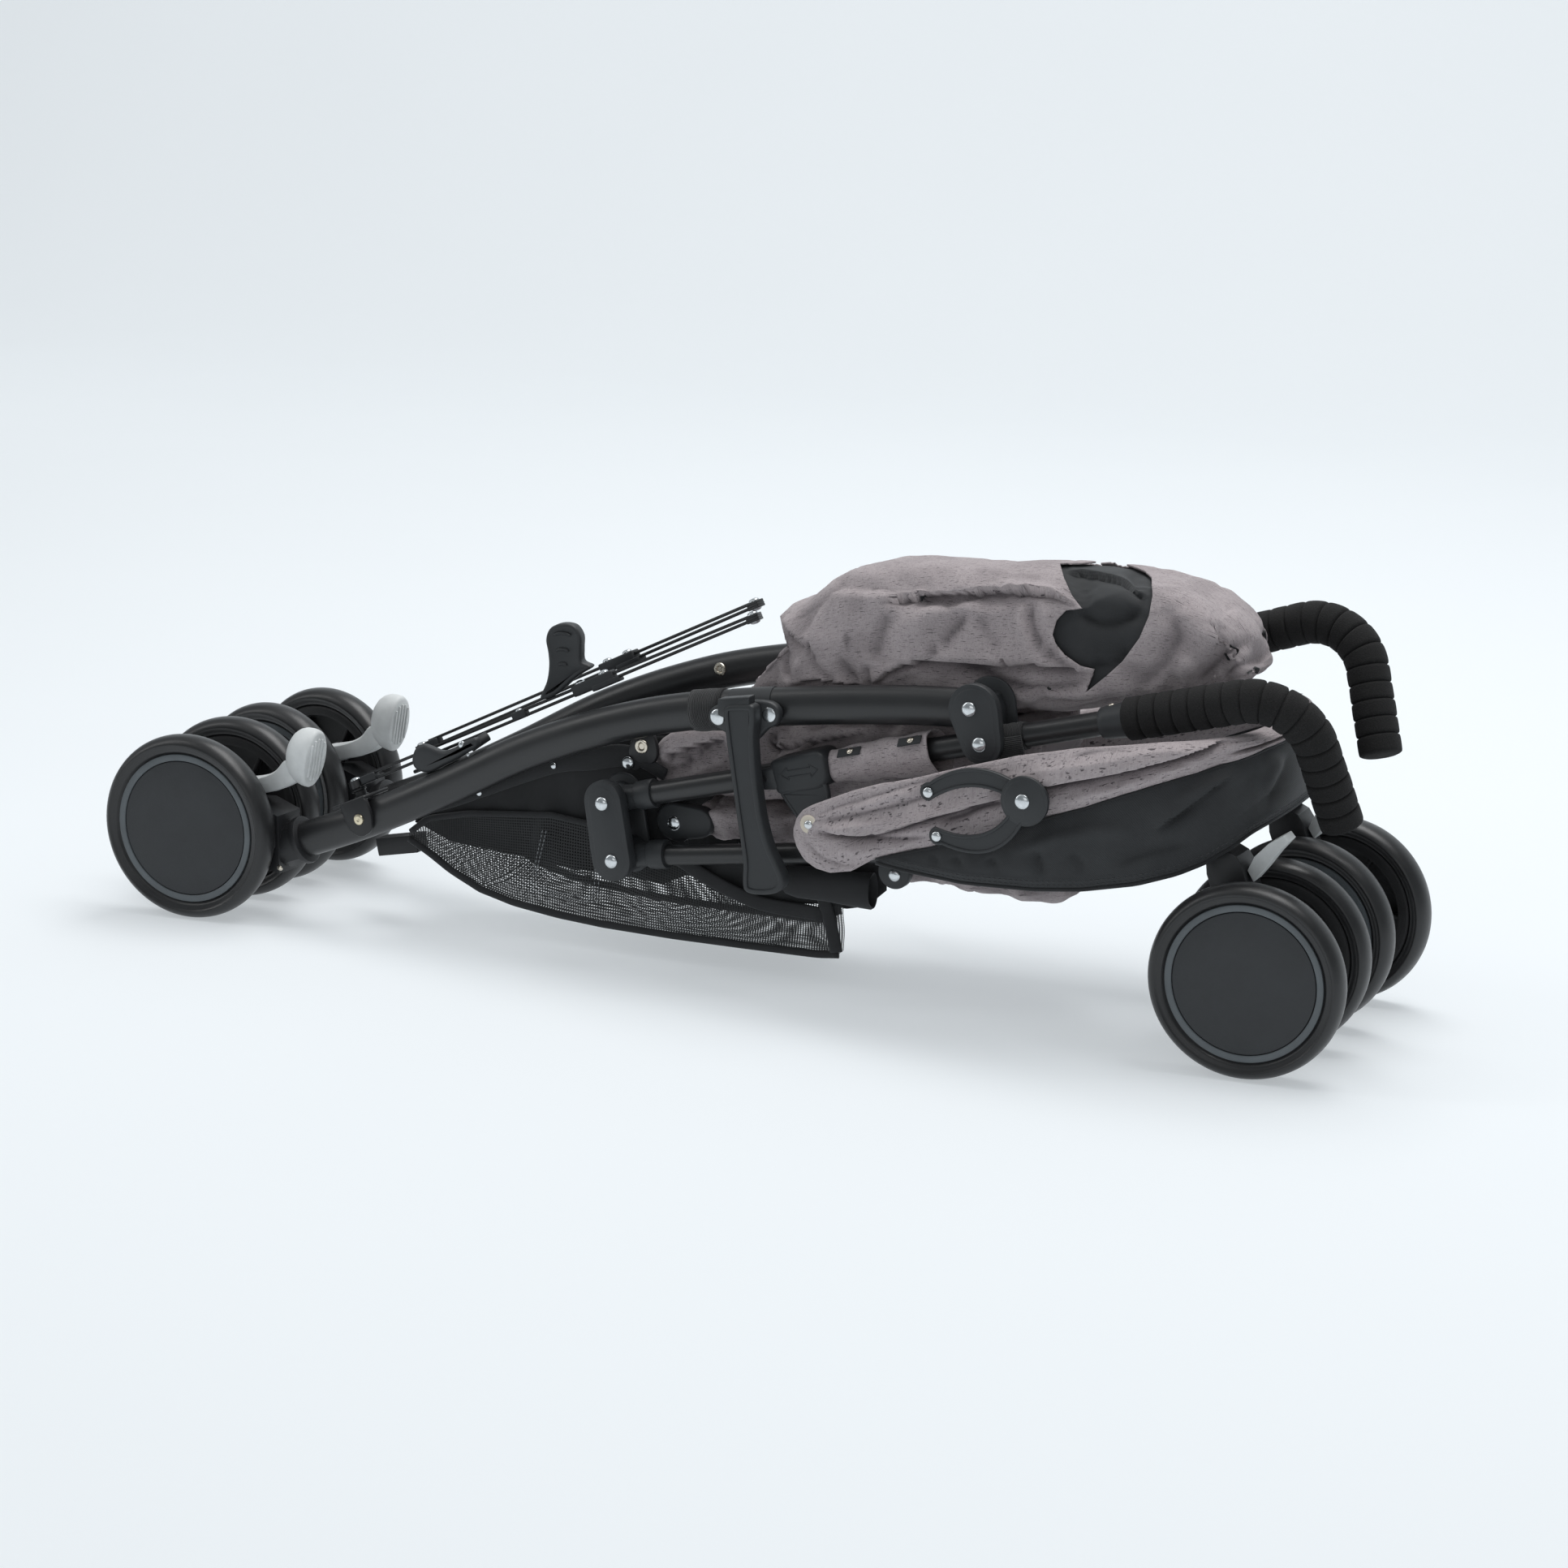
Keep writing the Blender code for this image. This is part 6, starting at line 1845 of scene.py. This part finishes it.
def canopy_clip(side):
    """Slider on the handle tube: rounded body, raised double arrow, tab with a hole, tongue."""
    local = Matrix.Translation(handle_point(164)) @ CLIP_TURN
    outline = rounded([(-22, -13), (-23, 12), (17, 14.2), (22, 9), (21.5, -9.5), (14, -13.6)], 5, 6)
    body = slab(outline, [(2, 9.5), (0.3, 9), (0, 7.5), (0, -13.2), (0.5, -15.2), (1.8, -16.4),
                          (3.6, -16.8)])
    tab = slab(rounded([(-33, -7.5), (-33.5, 6.5), (-19, 8), (-19, -9)], 3),
               [(0.8, -11.6), (0, -12.3), (0, -15.8), (0.8, -16.5)])
    hole = lathe([(0, 0.1), (1.5, 0.1), (1.9, 0.35), (2.4, 0.15), (2.5, -0.4)], 20,
                 facing(Vector((-28, -16.5, 0)), -ACROSS))
    ring = []
    half = [(-15, 0), (-9, 4.4), (-9, 2.2), (9, 2.2), (9, 4.4), (15, 0)]
    arrow = half + [(x, -z) for x, z in half[::-1][1:-1]]
    for (x0, z0), (x1, z1) in zip(arrow, arrow[1:] + arrow[:1]):
        a, b = Vector((x0, -16.85, z0 + 1)), Vector((x1, -16.85, z1 + 1))
        ring.append(tube([a, a.lerp(b, 0.5), b], 0.5, 8, best_across(b - a)))
    parts = [body, tab, *ring]
    if side == "near":
        tongue = rounded([(-20, -11), (19, -8.5), (19.5, -18), (14, -38), (2, -40), (-9, -34)], 4)
        parts.append(channel_plate(tongue, -11.5, -16.2, 1.8, 0.7))
    whole = merge(*parts)
    whole.transform(local)
    piece(f"slider_clip_{side}", whole, PLASTIC, f"{side}_frame", side_matrix(side, "handle"),
          replaces=f"canopy_clip_{side}", angle=42)
    hole.transform(local)
    piece(f"slider_hole_{side}", hole, DARK_PLASTIC, f"{side}_frame", side_matrix(side, "handle"))


STAY_UPPER = Vector((640, -116.5, 174))
STAY_ELBOW = Vector((712, -116.5, 176))
STAY_LOWER = Vector((649, -116.5, 145))


def unwrapped(angle, middle):
    """The angle brought to within half a turn of another."""
    while angle < middle - math.pi:
        angle += 2 * math.pi
    while angle > middle + math.pi:
        angle -= 2 * math.pi
    return angle


STAY_STEPS = 18


def stay_outline(end, bulge, start_half, end_half):
    """Curved arm from the elbow to its foot, with a round foot."""
    chord = Vector((end.x - STAY_ELBOW.x, end.z - STAY_ELBOW.z))
    square = Vector((-chord.y, chord.x)).normalized()
    outer, inner = [], []
    for i in range(STAY_STEPS + 1):
        share = i / STAY_STEPS
        bow = square * (bulge * 4 * share * (1 - share))
        point = Vector((STAY_ELBOW.x, STAY_ELBOW.z)) + chord * share + bow
        half = start_half + (end_half - start_half) * share ** 0.8
        outer.append(point + square * half)
        inner.append(point - square * half)
    tail = (chord.normalized() + square * (-bulge * 4 / chord.length)).normalized()
    foot = Vector((end.x, end.z))
    middle = math.atan2(tail.y, tail.x)
    first, last = (unwrapped(math.atan2((line[-1] - foot).y, (line[-1] - foot).x), middle)
                   for line in (outer, inner))
    cap = [foot + Vector((math.cos(a), math.sin(a))) * end_half for a in np.linspace(first, last, 13)[1:-1]]
    return [(p.x, p.y) for p in outer + cap + inner[::-1]]


def stays(side):
    """Canopy stay: two curved channelled arms, one layer over the other, pinned at the elbow."""
    matrix = side_matrix(side, "front")
    upper = channel_plate(stay_outline(STAY_UPPER, -12.5, 6.6, 6.6), -112.2, -116.4, 1.9, 1)
    upper_disc = soft_slab(arc((STAY_ELBOW.x, STAY_ELBOW.z), 15.5, 0, 354, 48), -112, -116.3, 0.8)
    piece(f"stay_arm_high_{side}", merge(upper, upper_disc), PLASTIC, f"stay_upper_{side}", matrix,
          replaces=f"stay_upper_{side}", angle=42)
    lower = channel_plate(stay_outline(STAY_LOWER, 16.5, 7.4, 6.6), -116.6, -120.6, 1.9, 1)
    disc = panel_plate(arc((STAY_ELBOW.x, STAY_ELBOW.z), 17.4, 0, 354, 60), -116.6, -120.9, 2.8, 0.6)
    piece(f"stay_arm_low_{side}", merge(lower, disc), PLASTIC, f"stay_lower_{side}", matrix,
          replaces=f"stay_lower_{side}", angle=42)
    foot = dome(Vector((STAY_UPPER.x - 0.5, -115.6, STAY_UPPER.z - 0.5)), -ACROSS, 3.9, 2.2)
    piece(f"stay_foot_high_{side}", foot, STEEL, f"stay_upper_{side}", matrix)
    pins = [dome(Vector((STAY_ELBOW.x - 1, -120.7, STAY_ELBOW.z)), -ACROSS, 5.4, 2.4),
            dome(Vector((STAY_LOWER.x - 1, -119.8, STAY_LOWER.z - 0.5)), -ACROSS, 3.7, 1.9)]
    piece(f"stay_rivets_{side}", merge(*pins), STEEL, f"stay_lower_{side}", matrix)


def canopy_snaps():
    """Cream washer and dome rivet where the folded panels meet, on both sides."""
    for sign, side in SIDES:
        centre = Vector((545, sign * 107.6, 138.4))
        washer = ring_lathe([(6.6, -0.6), (6.8, 0.3), (6.2, 0.9), (3, 1), (2.4, 0.2), (2.4, -0.6)], 32,
                            facing(centre, ACROSS * sign))
        rivet = dome(centre + ACROSS * sign * 0.6, ACROSS * sign, 3.3, 2)
        piece(f"snap_washer_{side}", washer, CREAM, f"{side}_frame")
        piece(f"snap_rivet_{side}", rivet, STEEL, f"{side}_frame")


def latch():
    """Fold lock on the near side: riveted saddle on the leg and the long hooked arm."""
    outline = loop_line([(452.5, 197.5), (462, 192), (478, 187), (488, 186.5), (498, 196), (506.5, 201.5),
                         (508, 211), (500, 216.5), (480, 215.5), (460, 211), (452, 205)], 6)
    saddle = soft_slab(outline, -74, -82.4, 2)
    wrap = tube(smooth_line([(x, SIDE_Y, z) for x, z in ((463, 204.8), (480, 207.4), (497, 209.6))], 6),
                (14.4, 11.5), 40)
    piece("latch_saddle", merge(saddle, wrap), PLASTIC, "rear_leg_near", replaces="latch_bracket",
          angle=44)
    rivets = [dome(Vector((459.6, -82.2, 201.8)), -ACROSS, 6, 2.2),
              dome(Vector((500.4, -82, 207.4)), -ACROSS, 5.4, 1.1),
              dome(Vector((486.4, -82, 192.2)), -ACROSS, 4.6, 1)]
    piece("latch_rivets", merge(*rivets), STEEL, "rear_leg_near")
    body = [(470, 213.5), (482, 215.5), (494.5, 216.5), (495.5, 208), (494, 192), (496, 165), (500.5, 135),
            (506, 115), (514, 101), (518.5, 92), (516.5, 84), (509, 79.5), (494, 77.5), (486, 79.5),
            (485, 88), (486, 100), (480.5, 134), (474, 178), (471, 200)]
    arm = slab(rounded(body, 9, 6), [(1.6, -83.2), (0.4, -83.8), (0, -85), (0, -92.4), (0.4, -94),
                                     (1.4, -94.9), (3.4, -95), (3.9, -94.8), (4.2, -93.9)])
    crown = soft_slab(rounded([(465.4, 206), (465.4, 217.6), (490.6, 221.6), (490, 203), (484, 200)], 1.2, 3),
                      -83.5, -93.6, 0.8)
    piece("latch_lever", merge(arm, crown), PLASTIC, "latch_arm", replaces="latch_arm", angle=44)


BRACE_HINGE = Vector((126, -50, 109))
BRACE_SLOPE = math.radians(25)
BRACE_RUN, BRACE_ACROSS = 362, 46
BRACE_REACH = math.hypot(BRACE_RUN, BRACE_ACROSS)
BRACE_LIFT_FAR = 8.8
BRACE_ALONG = Vector((math.cos(BRACE_SLOPE), 0, math.sin(BRACE_SLOPE)))
BRACE_NORMAL = Vector((-math.sin(BRACE_SLOPE), 0, math.cos(BRACE_SLOPE)))


def brace_frame(lift):
    """From a flat bar along x to the brace's place on the near side."""
    tip = BRACE_HINGE + BRACE_ALONG * BRACE_RUN + ACROSS * BRACE_ACROSS
    heading = (tip - BRACE_HINGE).normalized()
    turn = Matrix((heading, BRACE_NORMAL.cross(heading), BRACE_NORMAL)).transposed().to_4x4()
    return Matrix.Translation(BRACE_HINGE + BRACE_NORMAL * lift) @ turn


BAR_WIDE, BAR_THICK = 5.4, 2.3
BAR_SECTION = [(1, 0.4), (0.86, 1), (-0.86, 1), (-1, 0.4), (-1, -0.4), (-0.86, -1), (0.86, -1), (1, -0.4)]


def bar_strip(x_from, x_to, z_from, z_to):
    """Flat steel strip with rounded edges between two heights."""
    start, end = Vector((x_from, 0, z_from)), Vector((x_to, 0, z_to))
    return rows_mesh([[point + Vector((0, y * 0.5 * BAR_WIDE, z * 0.5 * BAR_THICK)) for y, z in BAR_SECTION]
                      for point in (start, start.lerp(end, 0.5), end)])


def brace(side):
    """Cross brace: two flat bars that meet in a riveted tip, with clip blocks on the way."""
    local = brace_frame(0 if side == "near" else BRACE_LIFT_FAR)
    matrix = IDENTITY if side == "near" else MIRROR
    reach = BRACE_REACH
    bars = [bar_strip(0, reach - 4, -0.7, -0.7), bar_strip(10, reach - 4, 4.4, 2.4),
            rod(Vector((0, 0, -1.9)), Vector((0, 0, 4)), 6, 28)]
    fold = [rounded_box((10.5, 9, 2), 0.6, Matrix.Translation((reach - 6, 0, z))) for z in (-1.5, 0.3, 2.1)]
    whole = merge(*bars, *fold)
    whole.transform(local)
    piece(f"brace_strip_{side}", whole, PAINT, f"brace_{side}", matrix,
          replaces=f"brace_bar_{side}", angle=40)
    clips = [rounded_box((36, 9.6, 8.6), 1.2, Matrix.Translation((0.62 * reach - 6, 0, 1.6))),
             rounded_box((24, 10, 4.6), 1, Matrix.Translation((0.62 * reach + 4, 0, -2))),
             rounded_box((12, 8.4, 6.6), 1, Matrix.Translation((0.42 * reach, 0, 1.4))),
             rounded_box((14, 8.6, 6.6), 1.2, Matrix.Translation((13, 0, 1.4)))]
    whole = merge(*clips)
    whole.transform(local)
    piece(f"brace_clips_{side}", whole, PLASTIC, f"brace_{side}", matrix, angle=40)
    whole = merge(*(dome(Vector((x, 0, z)), heading, radius, height) for x, z, heading, radius, height in (
        (0.62 * reach - 17, 5.9, UP, 4, 2.2), (0.62 * reach + 4, 5.9, UP, 4, 2.2),
        (reach - 6, 3.2, UP, 4.2, 2.2), (reach - 6, -2.2, -UP, 4, 1.8),
        (0, 4, UP, 4.2, 2), (0.42 * reach, 4.6, UP, 2.6, 1.2))))
    whole.transform(local)
    piece(f"brace_bolts_{side}", whole, STEEL, f"brace_{side}", matrix)


def bracket_frame():
    """Place of the brace's bracket on the slope of the near leg."""
    along = Vector((144, 0, 61)).normalized()
    turn = Matrix((along, ACROSS, Vector((-along.z, 0, along.x)))).transposed().to_4x4()
    return Matrix.Translation((146, SIDE_Y, 88)) @ turn


def bracket(side):
    """Saddle on the leg: shield-shaped plate with a screw, cap and riveted hinge post."""
    far = side == "far"
    base = bracket_frame()
    lift = BRACE_LIFT_FAR if far else 0
    foot = 13 if far else 9.5
    outline = rounded([(-12.5, 18), (12.5, 18), (13, 2), (8, -10), (-4, -12), (-12, -4)], 5, 5)
    plate = soft_slab(outline, -10.8, -15, 0.8)
    cap = rounded_box((33, 34, 3), 1.2, Matrix.Translation((-4, 2.3, 16.5)))
    whole = merge(plate, cap)
    whole.transform(base)
    top = BRACE_HINGE + BRACE_NORMAL * (lift - 2.8)
    post = lathe([(0, 0), (5.4, 0), (6, 0.5), (6, 1.6), (5, 2.2), (5, 5), (6, 6), (6, foot),
                  (0, foot)], 28, facing(top, -BRACE_NORMAL))
    pin = rod(top - BRACE_NORMAL * 2, top + BRACE_NORMAL * 8, 2.2, 16)
    screwed = screw(Vector((1, -15, 2)), -ACROSS, 4.4)
    screwed.transform(base)
    if far:
        for each in (whole, screwed):
            each.transform(MIRROR @ side_matrix("far", "leg"))
    matrix = MIRROR if far else IDENTITY
    piece(f"bracket_plate_{side}", merge(whole, post, pin), DARK_PLASTIC, f"rear_leg_{side}",
          matrix, replaces=f"brace_bracket_{side}", angle=42)
    piece(f"bracket_screw_{side}", screwed, BRASS, f"rear_leg_{side}", matrix)


def release_pedal():
    """Upright foot pedal: waisted blade with a rim and three curved ribs."""
    local = brace_frame(0)
    along = local.col[0]
    foot = local @ Vector((0.54 * BRACE_REACH, 0, 5.4))
    place = Matrix.Translation(foot) @ Matrix.Rotation(math.atan2(along.y, along.x), 4, "Z")
    outline = loop_line([(-20, -8), (-14.5, 6), (-12.5, 18), (-13, 28), (-14.5, 38), (-11, 46.5),
                         (-2, 50.5), (8, 49.5), (13.5, 42), (13.5, 32), (14, 23), (20.5, 20), (20, 17.5),
                         (12, 12.5), (4, 6), (-8, -4.4)], 6)
    blade = slab(outline, [(1.6, 5), (0.3, 4.4), (0, 3.2), (0, -3.2), (0.3, -4.4), (1.4, -5.1), (2.6, -5.2),
                           (3.4, -4.6)])
    ribs = []
    for z, half in ((41, 7), (29, 5), (18, 3.4)):
        line = [Vector((-1 + half * math.sin(a), -5, z + 2.4 * math.cos(a)))
                for a in np.linspace(-1.2, 1.2, 9)]
        ribs.append(tube(line, lambda i: 1.3 * math.sin(math.pi * (i + 0.6) / 9.4) ** 0.4, 12))
    whole = merge(blade, *ribs)
    whole.transform(place)
    piece("fold_pedal", whole, PLASTIC, "release_pedal", replaces="release_pedal", angle=46)


def foot_catch():
    """Spoon-shaped catch beside the near bar, its face outwards."""
    outline = loop_line([(186.2, 138.3), (189, 146.5), (196, 150.8), (205, 149), (214, 147.6), (226, 152.5),
                         (234, 157.6), (243, 160.5), (244.5, 154), (236, 149), (226, 142.5), (214, 136),
                         (204, 130.6), (195, 129.5), (188.5, 132)], 6)
    blade = slab(outline, [(2.4, -56.5), (0.6, -57), (0, -58.4), (0, -62.6), (0.7, -63.9), (2.4, -64.6),
                           (5, -64.9)])
    stem = tube(smooth_line([(236, -58.5, 152), (240, -52, 156), (243, -46, 159)], 5), (4, 3.2), 16)
    piece("paddle_catch", merge(blade, stem), PLASTIC, "foot_catch", replaces="foot_catch",
          angle=50)
    pins = [dome(Vector((231, -62.8, 154)), -ACROSS, 3.2, 1.8),
            dome(Vector((236.5, -62.8, 147)), -ACROSS, 1.6, 1)]
    piece("paddle_pin", merge(*pins), STEEL, "foot_catch")


WEBBING_THICK = 1.1


def webbing_loop(name, path_point, heading, size, wide, body):
    """Band of webbing wrapped round a tube. size is the tube's half height and half width."""
    rows = []
    for d in np.linspace(-0.5 * wide, 0.5 * wide, 7):
        grow = -0.35 if abs(d) > 0.46 * wide else 0
        centre = path_point + heading * d
        up = ACROSS.cross(heading).normalized()
        tall, deep = (half + WEBBING_THICK + grow for half in size)
        rows.append([centre + up * ((tall + 0.2 * math.sin(3 * a + d)) * math.sin(a))
                     + ACROSS * (deep * math.cos(a))
                     for a in round_angles(48)])
    band = rows_mesh(rows, True, False)
    solid(piece(name, band, WEBBING, body, angle=180), WEBBING_THICK)


STRAP_PLACE = 326


def straps():
    """Webbing round the near leg and round the handle tube, with its free tail."""
    heading = Vector((96, 0, 14)).normalized()
    webbing_loop("leg_strap", Vector((444, SIDE_Y, 202)), heading, (14.3, 11.3), 26, "rear_leg_near")
    webbing_loop("handle_strap", handle_point(STRAP_PLACE), HANDLE_ALONG, (8.8, 8.8), 19, "near_frame")
    tail = []
    for s, z in enumerate((2, -8, -14, -19)):
        tail.append([handle_point(STRAP_PLACE + d, -z, SIDE_Y - 9.7 - 0.5 * s)
                     for d in np.linspace(-9.5, 9.5, 6)])
    made = piece("strap_tail", rows_mesh(tail, False), WEBBING, "near_frame", angle=180)
    solid(made, 1.2, 1)


SLEEVE_START, SLEEVE_END, SLEEVE_ROWS = 186, 268, 42


def handle_sleeve(side):
    """Loose melange sleeve round the handle tube, open at its upper end, with two tabs."""
    rows = []
    for i, along in enumerate(np.linspace(SLEEVE_START, SLEEVE_END, SLEEVE_ROWS)):
        share = i / (SLEEVE_ROWS - 1)
        row = []
        for a in round_angles(56):
            slack = 3.2 * max(-math.sin(a), 0) * (0.5 + 0.8 * share)
            wave = noise.noise(Vector((along * 0.05, math.cos(a) * 1.4, math.sin(a) * 1.4))) * 1.6
            ring = 0.6 * math.sin(along * 0.22 + 2 * math.cos(a)) * (1 - share)
            radius = 10.9 + 1.6 * share + slack + wave + ring + (1.4 * max(share - 0.94, 0) / 0.06)
            row.append(handle_point(along + 3 * share * math.cos(a + 0.6), -radius * math.sin(a), SIDE_Y)
                       + ACROSS * (radius * math.cos(a)))
        rows.append(row)
    sleeve = rows_mesh(rows, True, False)
    made = piece(f"handle_sleeve_{side}", sleeve, MELANGE, f"{side}_frame",
                 side_matrix(side, "handle"), angle=180)
    solid(made, 1.2)
    for number, along in enumerate((203, 252)):
        tab = slab([(along - 9, 4), (along + 9, 4), (along + 9, -3), (along - 9, -3)],
                   [(0.5, 0), (0, 0.3), (0, 1.2), (0.5, 1.5)])
        spot = handle_point(along, -8.6 - 1.2 * number, SIDE_Y - 8.8 - 1.5 * number)
        lean = Matrix.Translation(spot) @ CLIP_TURN @ Matrix.Rotation(math.radians(130), 4, "X")
        tab.transform(lean @ Matrix.Translation((-along, 0, 0)))
        piece(f"sleeve_tab_{side}_{number}", tab, BLACK, f"{side}_frame",
              side_matrix(side, "handle"))
        snap = dome(Vector((0, 0, 0)), ACROSS, 2.6, 1.2)
        snap.transform(lean @ Matrix.Translation((1, 1.4, 0.5)))
        piece(f"tab_snap_{side}_{number}", snap, NICKEL, f"{side}_frame",
              side_matrix(side, "handle"))


def calf_knuckle():
    """Round ratchet knuckles of the calf rest with their rivets."""
    for sign, side in SIDES:
        outline = stadium((404, 111), (424, 112), 14.2, 11.5, 16)
        plate = slab(outline, [(0.8, sign * 38), (0, sign * 39), (0, sign * 47.4), (0.5, sign * 48.2),
                               (1.8, sign * 48.6)])
        piece(f"calf_knuckle_{side}", plate, PLASTIC, f"{side}_frame", angle=44)
        piece(f"calf_rivet_{side}",
              dome(Vector((404.5, sign * 48.4, 110)), ACROSS * sign, 5.6, 2.6), STEEL,
              f"{side}_frame")


def small_hardware():
    """Eyelets, fork rivets, the tube end under the canopy and the joint seen below its hood."""
    for sign, side in SIDES:
        tab = soft_slab(loop_line([(368, 158), (374, 175), (388, 176), (392, 160), (384, 152)], 5),
                        sign * 46.5, sign * 51, 1)
        piece(f"eyelet_tab_{side}", tab, DARK_PLASTIC, f"{side}_frame")
        ring = eyelet(Vector((379.5, sign * 51.2, 166)), ACROSS * sign, 5.4, 2.4)
        piece(f"frame_eyelet_{side}", ring, NICKEL, f"{side}_frame")
        joint = soft_slab(arc((587, 97), 12.5, 0, 354, 40), sign * 50, sign * 58, 1.4)
        piece(f"hidden_joint_{side}", joint, PLASTIC, f"{side}_frame")
        piece(f"hidden_rivet_{side}",
              dome(Vector((588, sign * 57.8, 95)), ACROSS * sign, 4.6, 2.2), STEEL,
              f"{side}_frame")
        rows = []
        for x, radius in ((498, 10.5), (508, 12), (530, 12.6), (552, 13), (566, 13.6), (567.6, 13.2),
                          (567, 11.8), (556, 11.2), (544, 10.8)):
            rows.append([Vector((x, sign * (50 + radius * 0.62 * math.cos(a)),
                                 79 + (radius + 0.5 * math.sin(3 * a + x)) * math.sin(a)))
                         for a in round_angles(40)])
        piece(f"tube_sleeve_{side}", rows_mesh(rows), BINDING, f"{side}_frame", angle=60)
        piece(f"fork_rivet_{side}", dome(Vector((841, -69.4, 128)), -ACROSS, 5.6, 2.6), STEEL,
              f"caster_{side}", side_matrix(side, "front"))
    for _, side in SIDES:
        piece(f"leg_eyelet_{side}", eyelet(Vector((398, -51.8, 196)), ACROSS, 5, 2.2), NICKEL,
              f"rear_leg_{side}", side_matrix(side, "leg"))


def basket_bars():
    """Flat black bars that carry the basket's rim, with their rivets."""
    for sign, side in SIDES:
        line = [(176, 92), (215, 107), (244, 120), (302, 144), (334, 151), (359, 156.5), (376, 155),
                (398, 146)]
        path = smooth_line([(x, sign * 49, z) for x, z in line], 8)
        bar = tube(path, lambda i: (min(4 + 0.14 * i, 8.6) if i < len(path) - 8 else 5, 2), 18)
        piece(f"basket_bar_{side}", bar, BINDING, f"{side}_frame", angle=60)
        spots = [dome(Vector((x, sign * 51.3, z)), ACROSS * sign, r, 0.55 * r)
                 for x, z, r in ((238, 115.5, 2.5), (304, 143.5, 2.5), (368, 152.5, 5))]
        piece(f"basket_bar_rivets_{side}", merge(*spots), STEEL, f"{side}_frame")


for _, side in SIDES:
    brake_pedal(side)
    housing_trim(side)
    canopy_clip(side)
    stays(side)
    brace(side)
    bracket(side)
    handle_sleeve(side)
canopy_snaps()
latch()
release_pedal()
foot_catch()
straps()
calf_knuckle()
basket_bars()
small_hardware()


# Floor, light and camera.


WALL_START = 3.2
WALL_BEND = 1.6
WALL_STEPS = 16


def backdrop():
    """Floor that curves up into a plain wall, far behind the object. In metres."""
    rows = [(-6, 0), (WALL_START, 0)]
    for i in range(1, WALL_STEPS + 1):
        a = 0.5 * math.pi * i / WALL_STEPS
        rows.append((WALL_START + WALL_BEND * math.sin(a), WALL_BEND * (1 - math.cos(a))))
    rows.append((WALL_START + WALL_BEND, 6))
    bm = bmesh.new()
    grid = [[bm.verts.new((x, y, z)) for x in (-7, 7)] for y, z in rows]
    for a, b in zip(grid, grid[1:]):
        bm.faces.new((a[0], a[1], b[1], b[0]))
    mesh = bpy.data.meshes.new("backdrop")
    bm.to_mesh(mesh)
    bm.free()
    made = bpy.data.objects.new("backdrop", mesh)
    bpy.context.scene.collection.objects.link(made)
    paper = Recipe("pale_paper", (0.5, 0.52, 0.535), 0.9, Specular_IOR_Level=0.1,
                   Emission_Color=(0.80, 0.845, 0.875, 1), Emission_Strength=0.48)
    where = paper.space()
    paper.color(paper.mix(paper.noise(where, 1.5, 2), (0.49, 0.51, 0.525), (0.51, 0.53, 0.545)))
    mesh.materials.append(paper.material)
    mesh.shade_smooth()


def area_light(name, place, target, size, power):
    """Rectangular lamp aimed at a point."""
    data = bpy.data.lights.new(name, "AREA")
    data.shape = "RECTANGLE"
    data.size, data.size_y = size
    data.energy = power
    made = bpy.data.objects.new(name, data)
    bpy.context.scene.collection.objects.link(made)
    made.location = place
    made.rotation_euler = (Vector(target) - Vector(place)).to_track_quat("-Z", "Y").to_euler()


def stage():
    """Soft studio light, the photograph's camera and the backdrop."""
    scene = bpy.context.scene
    scene.view_settings.view_transform = "Standard"
    scene.view_settings.look = "None"
    world = bpy.data.worlds.new("studio")
    scene.world = world
    world.use_nodes = True
    background = world.node_tree.nodes["Background"]
    background.inputs["Color"].default_value = (0.87, 0.93, 0.97, 1)
    background.inputs["Strength"].default_value = 0.30
    area_light("overhead", (0.35, 0.5, 2.3), (0, 0, 0.1), (2.4, 1), 40)
    area_light("strip_left", (-2.2, -0.9, 1.7), (-0.1, 0, 0.15), (0.5, 2.4), 11)
    area_light("front_fill", (1.2, -3.2, 1.2), (0, 0, 0.15), (2.4, 1.2), 7)
    area_light("floor_wash", (0, -0.6, 3.6), (0, -0.4, 0), (6, 5), 20)
    area_light("wall_wash", (-1.6, 1.6, 2.9), (-1.8, 4.8, 1.5), (8, 0.8), 78)
    camera = bpy.data.cameras.new("camera")
    camera.lens = LENS
    camera.sensor_width = SENSOR
    camera.clip_start, camera.clip_end = 0.05, 60
    made = bpy.data.objects.new("camera", camera)
    scene.collection.objects.link(made)
    made.location = ((EYE.x + AXLE_X) * MM, EYE.y * MM, EYE.z * MM)
    made.rotation_euler = VIEW_AHEAD.to_track_quat("-Z", "Y").to_euler()
    scene.camera = made
    backdrop()


stage()
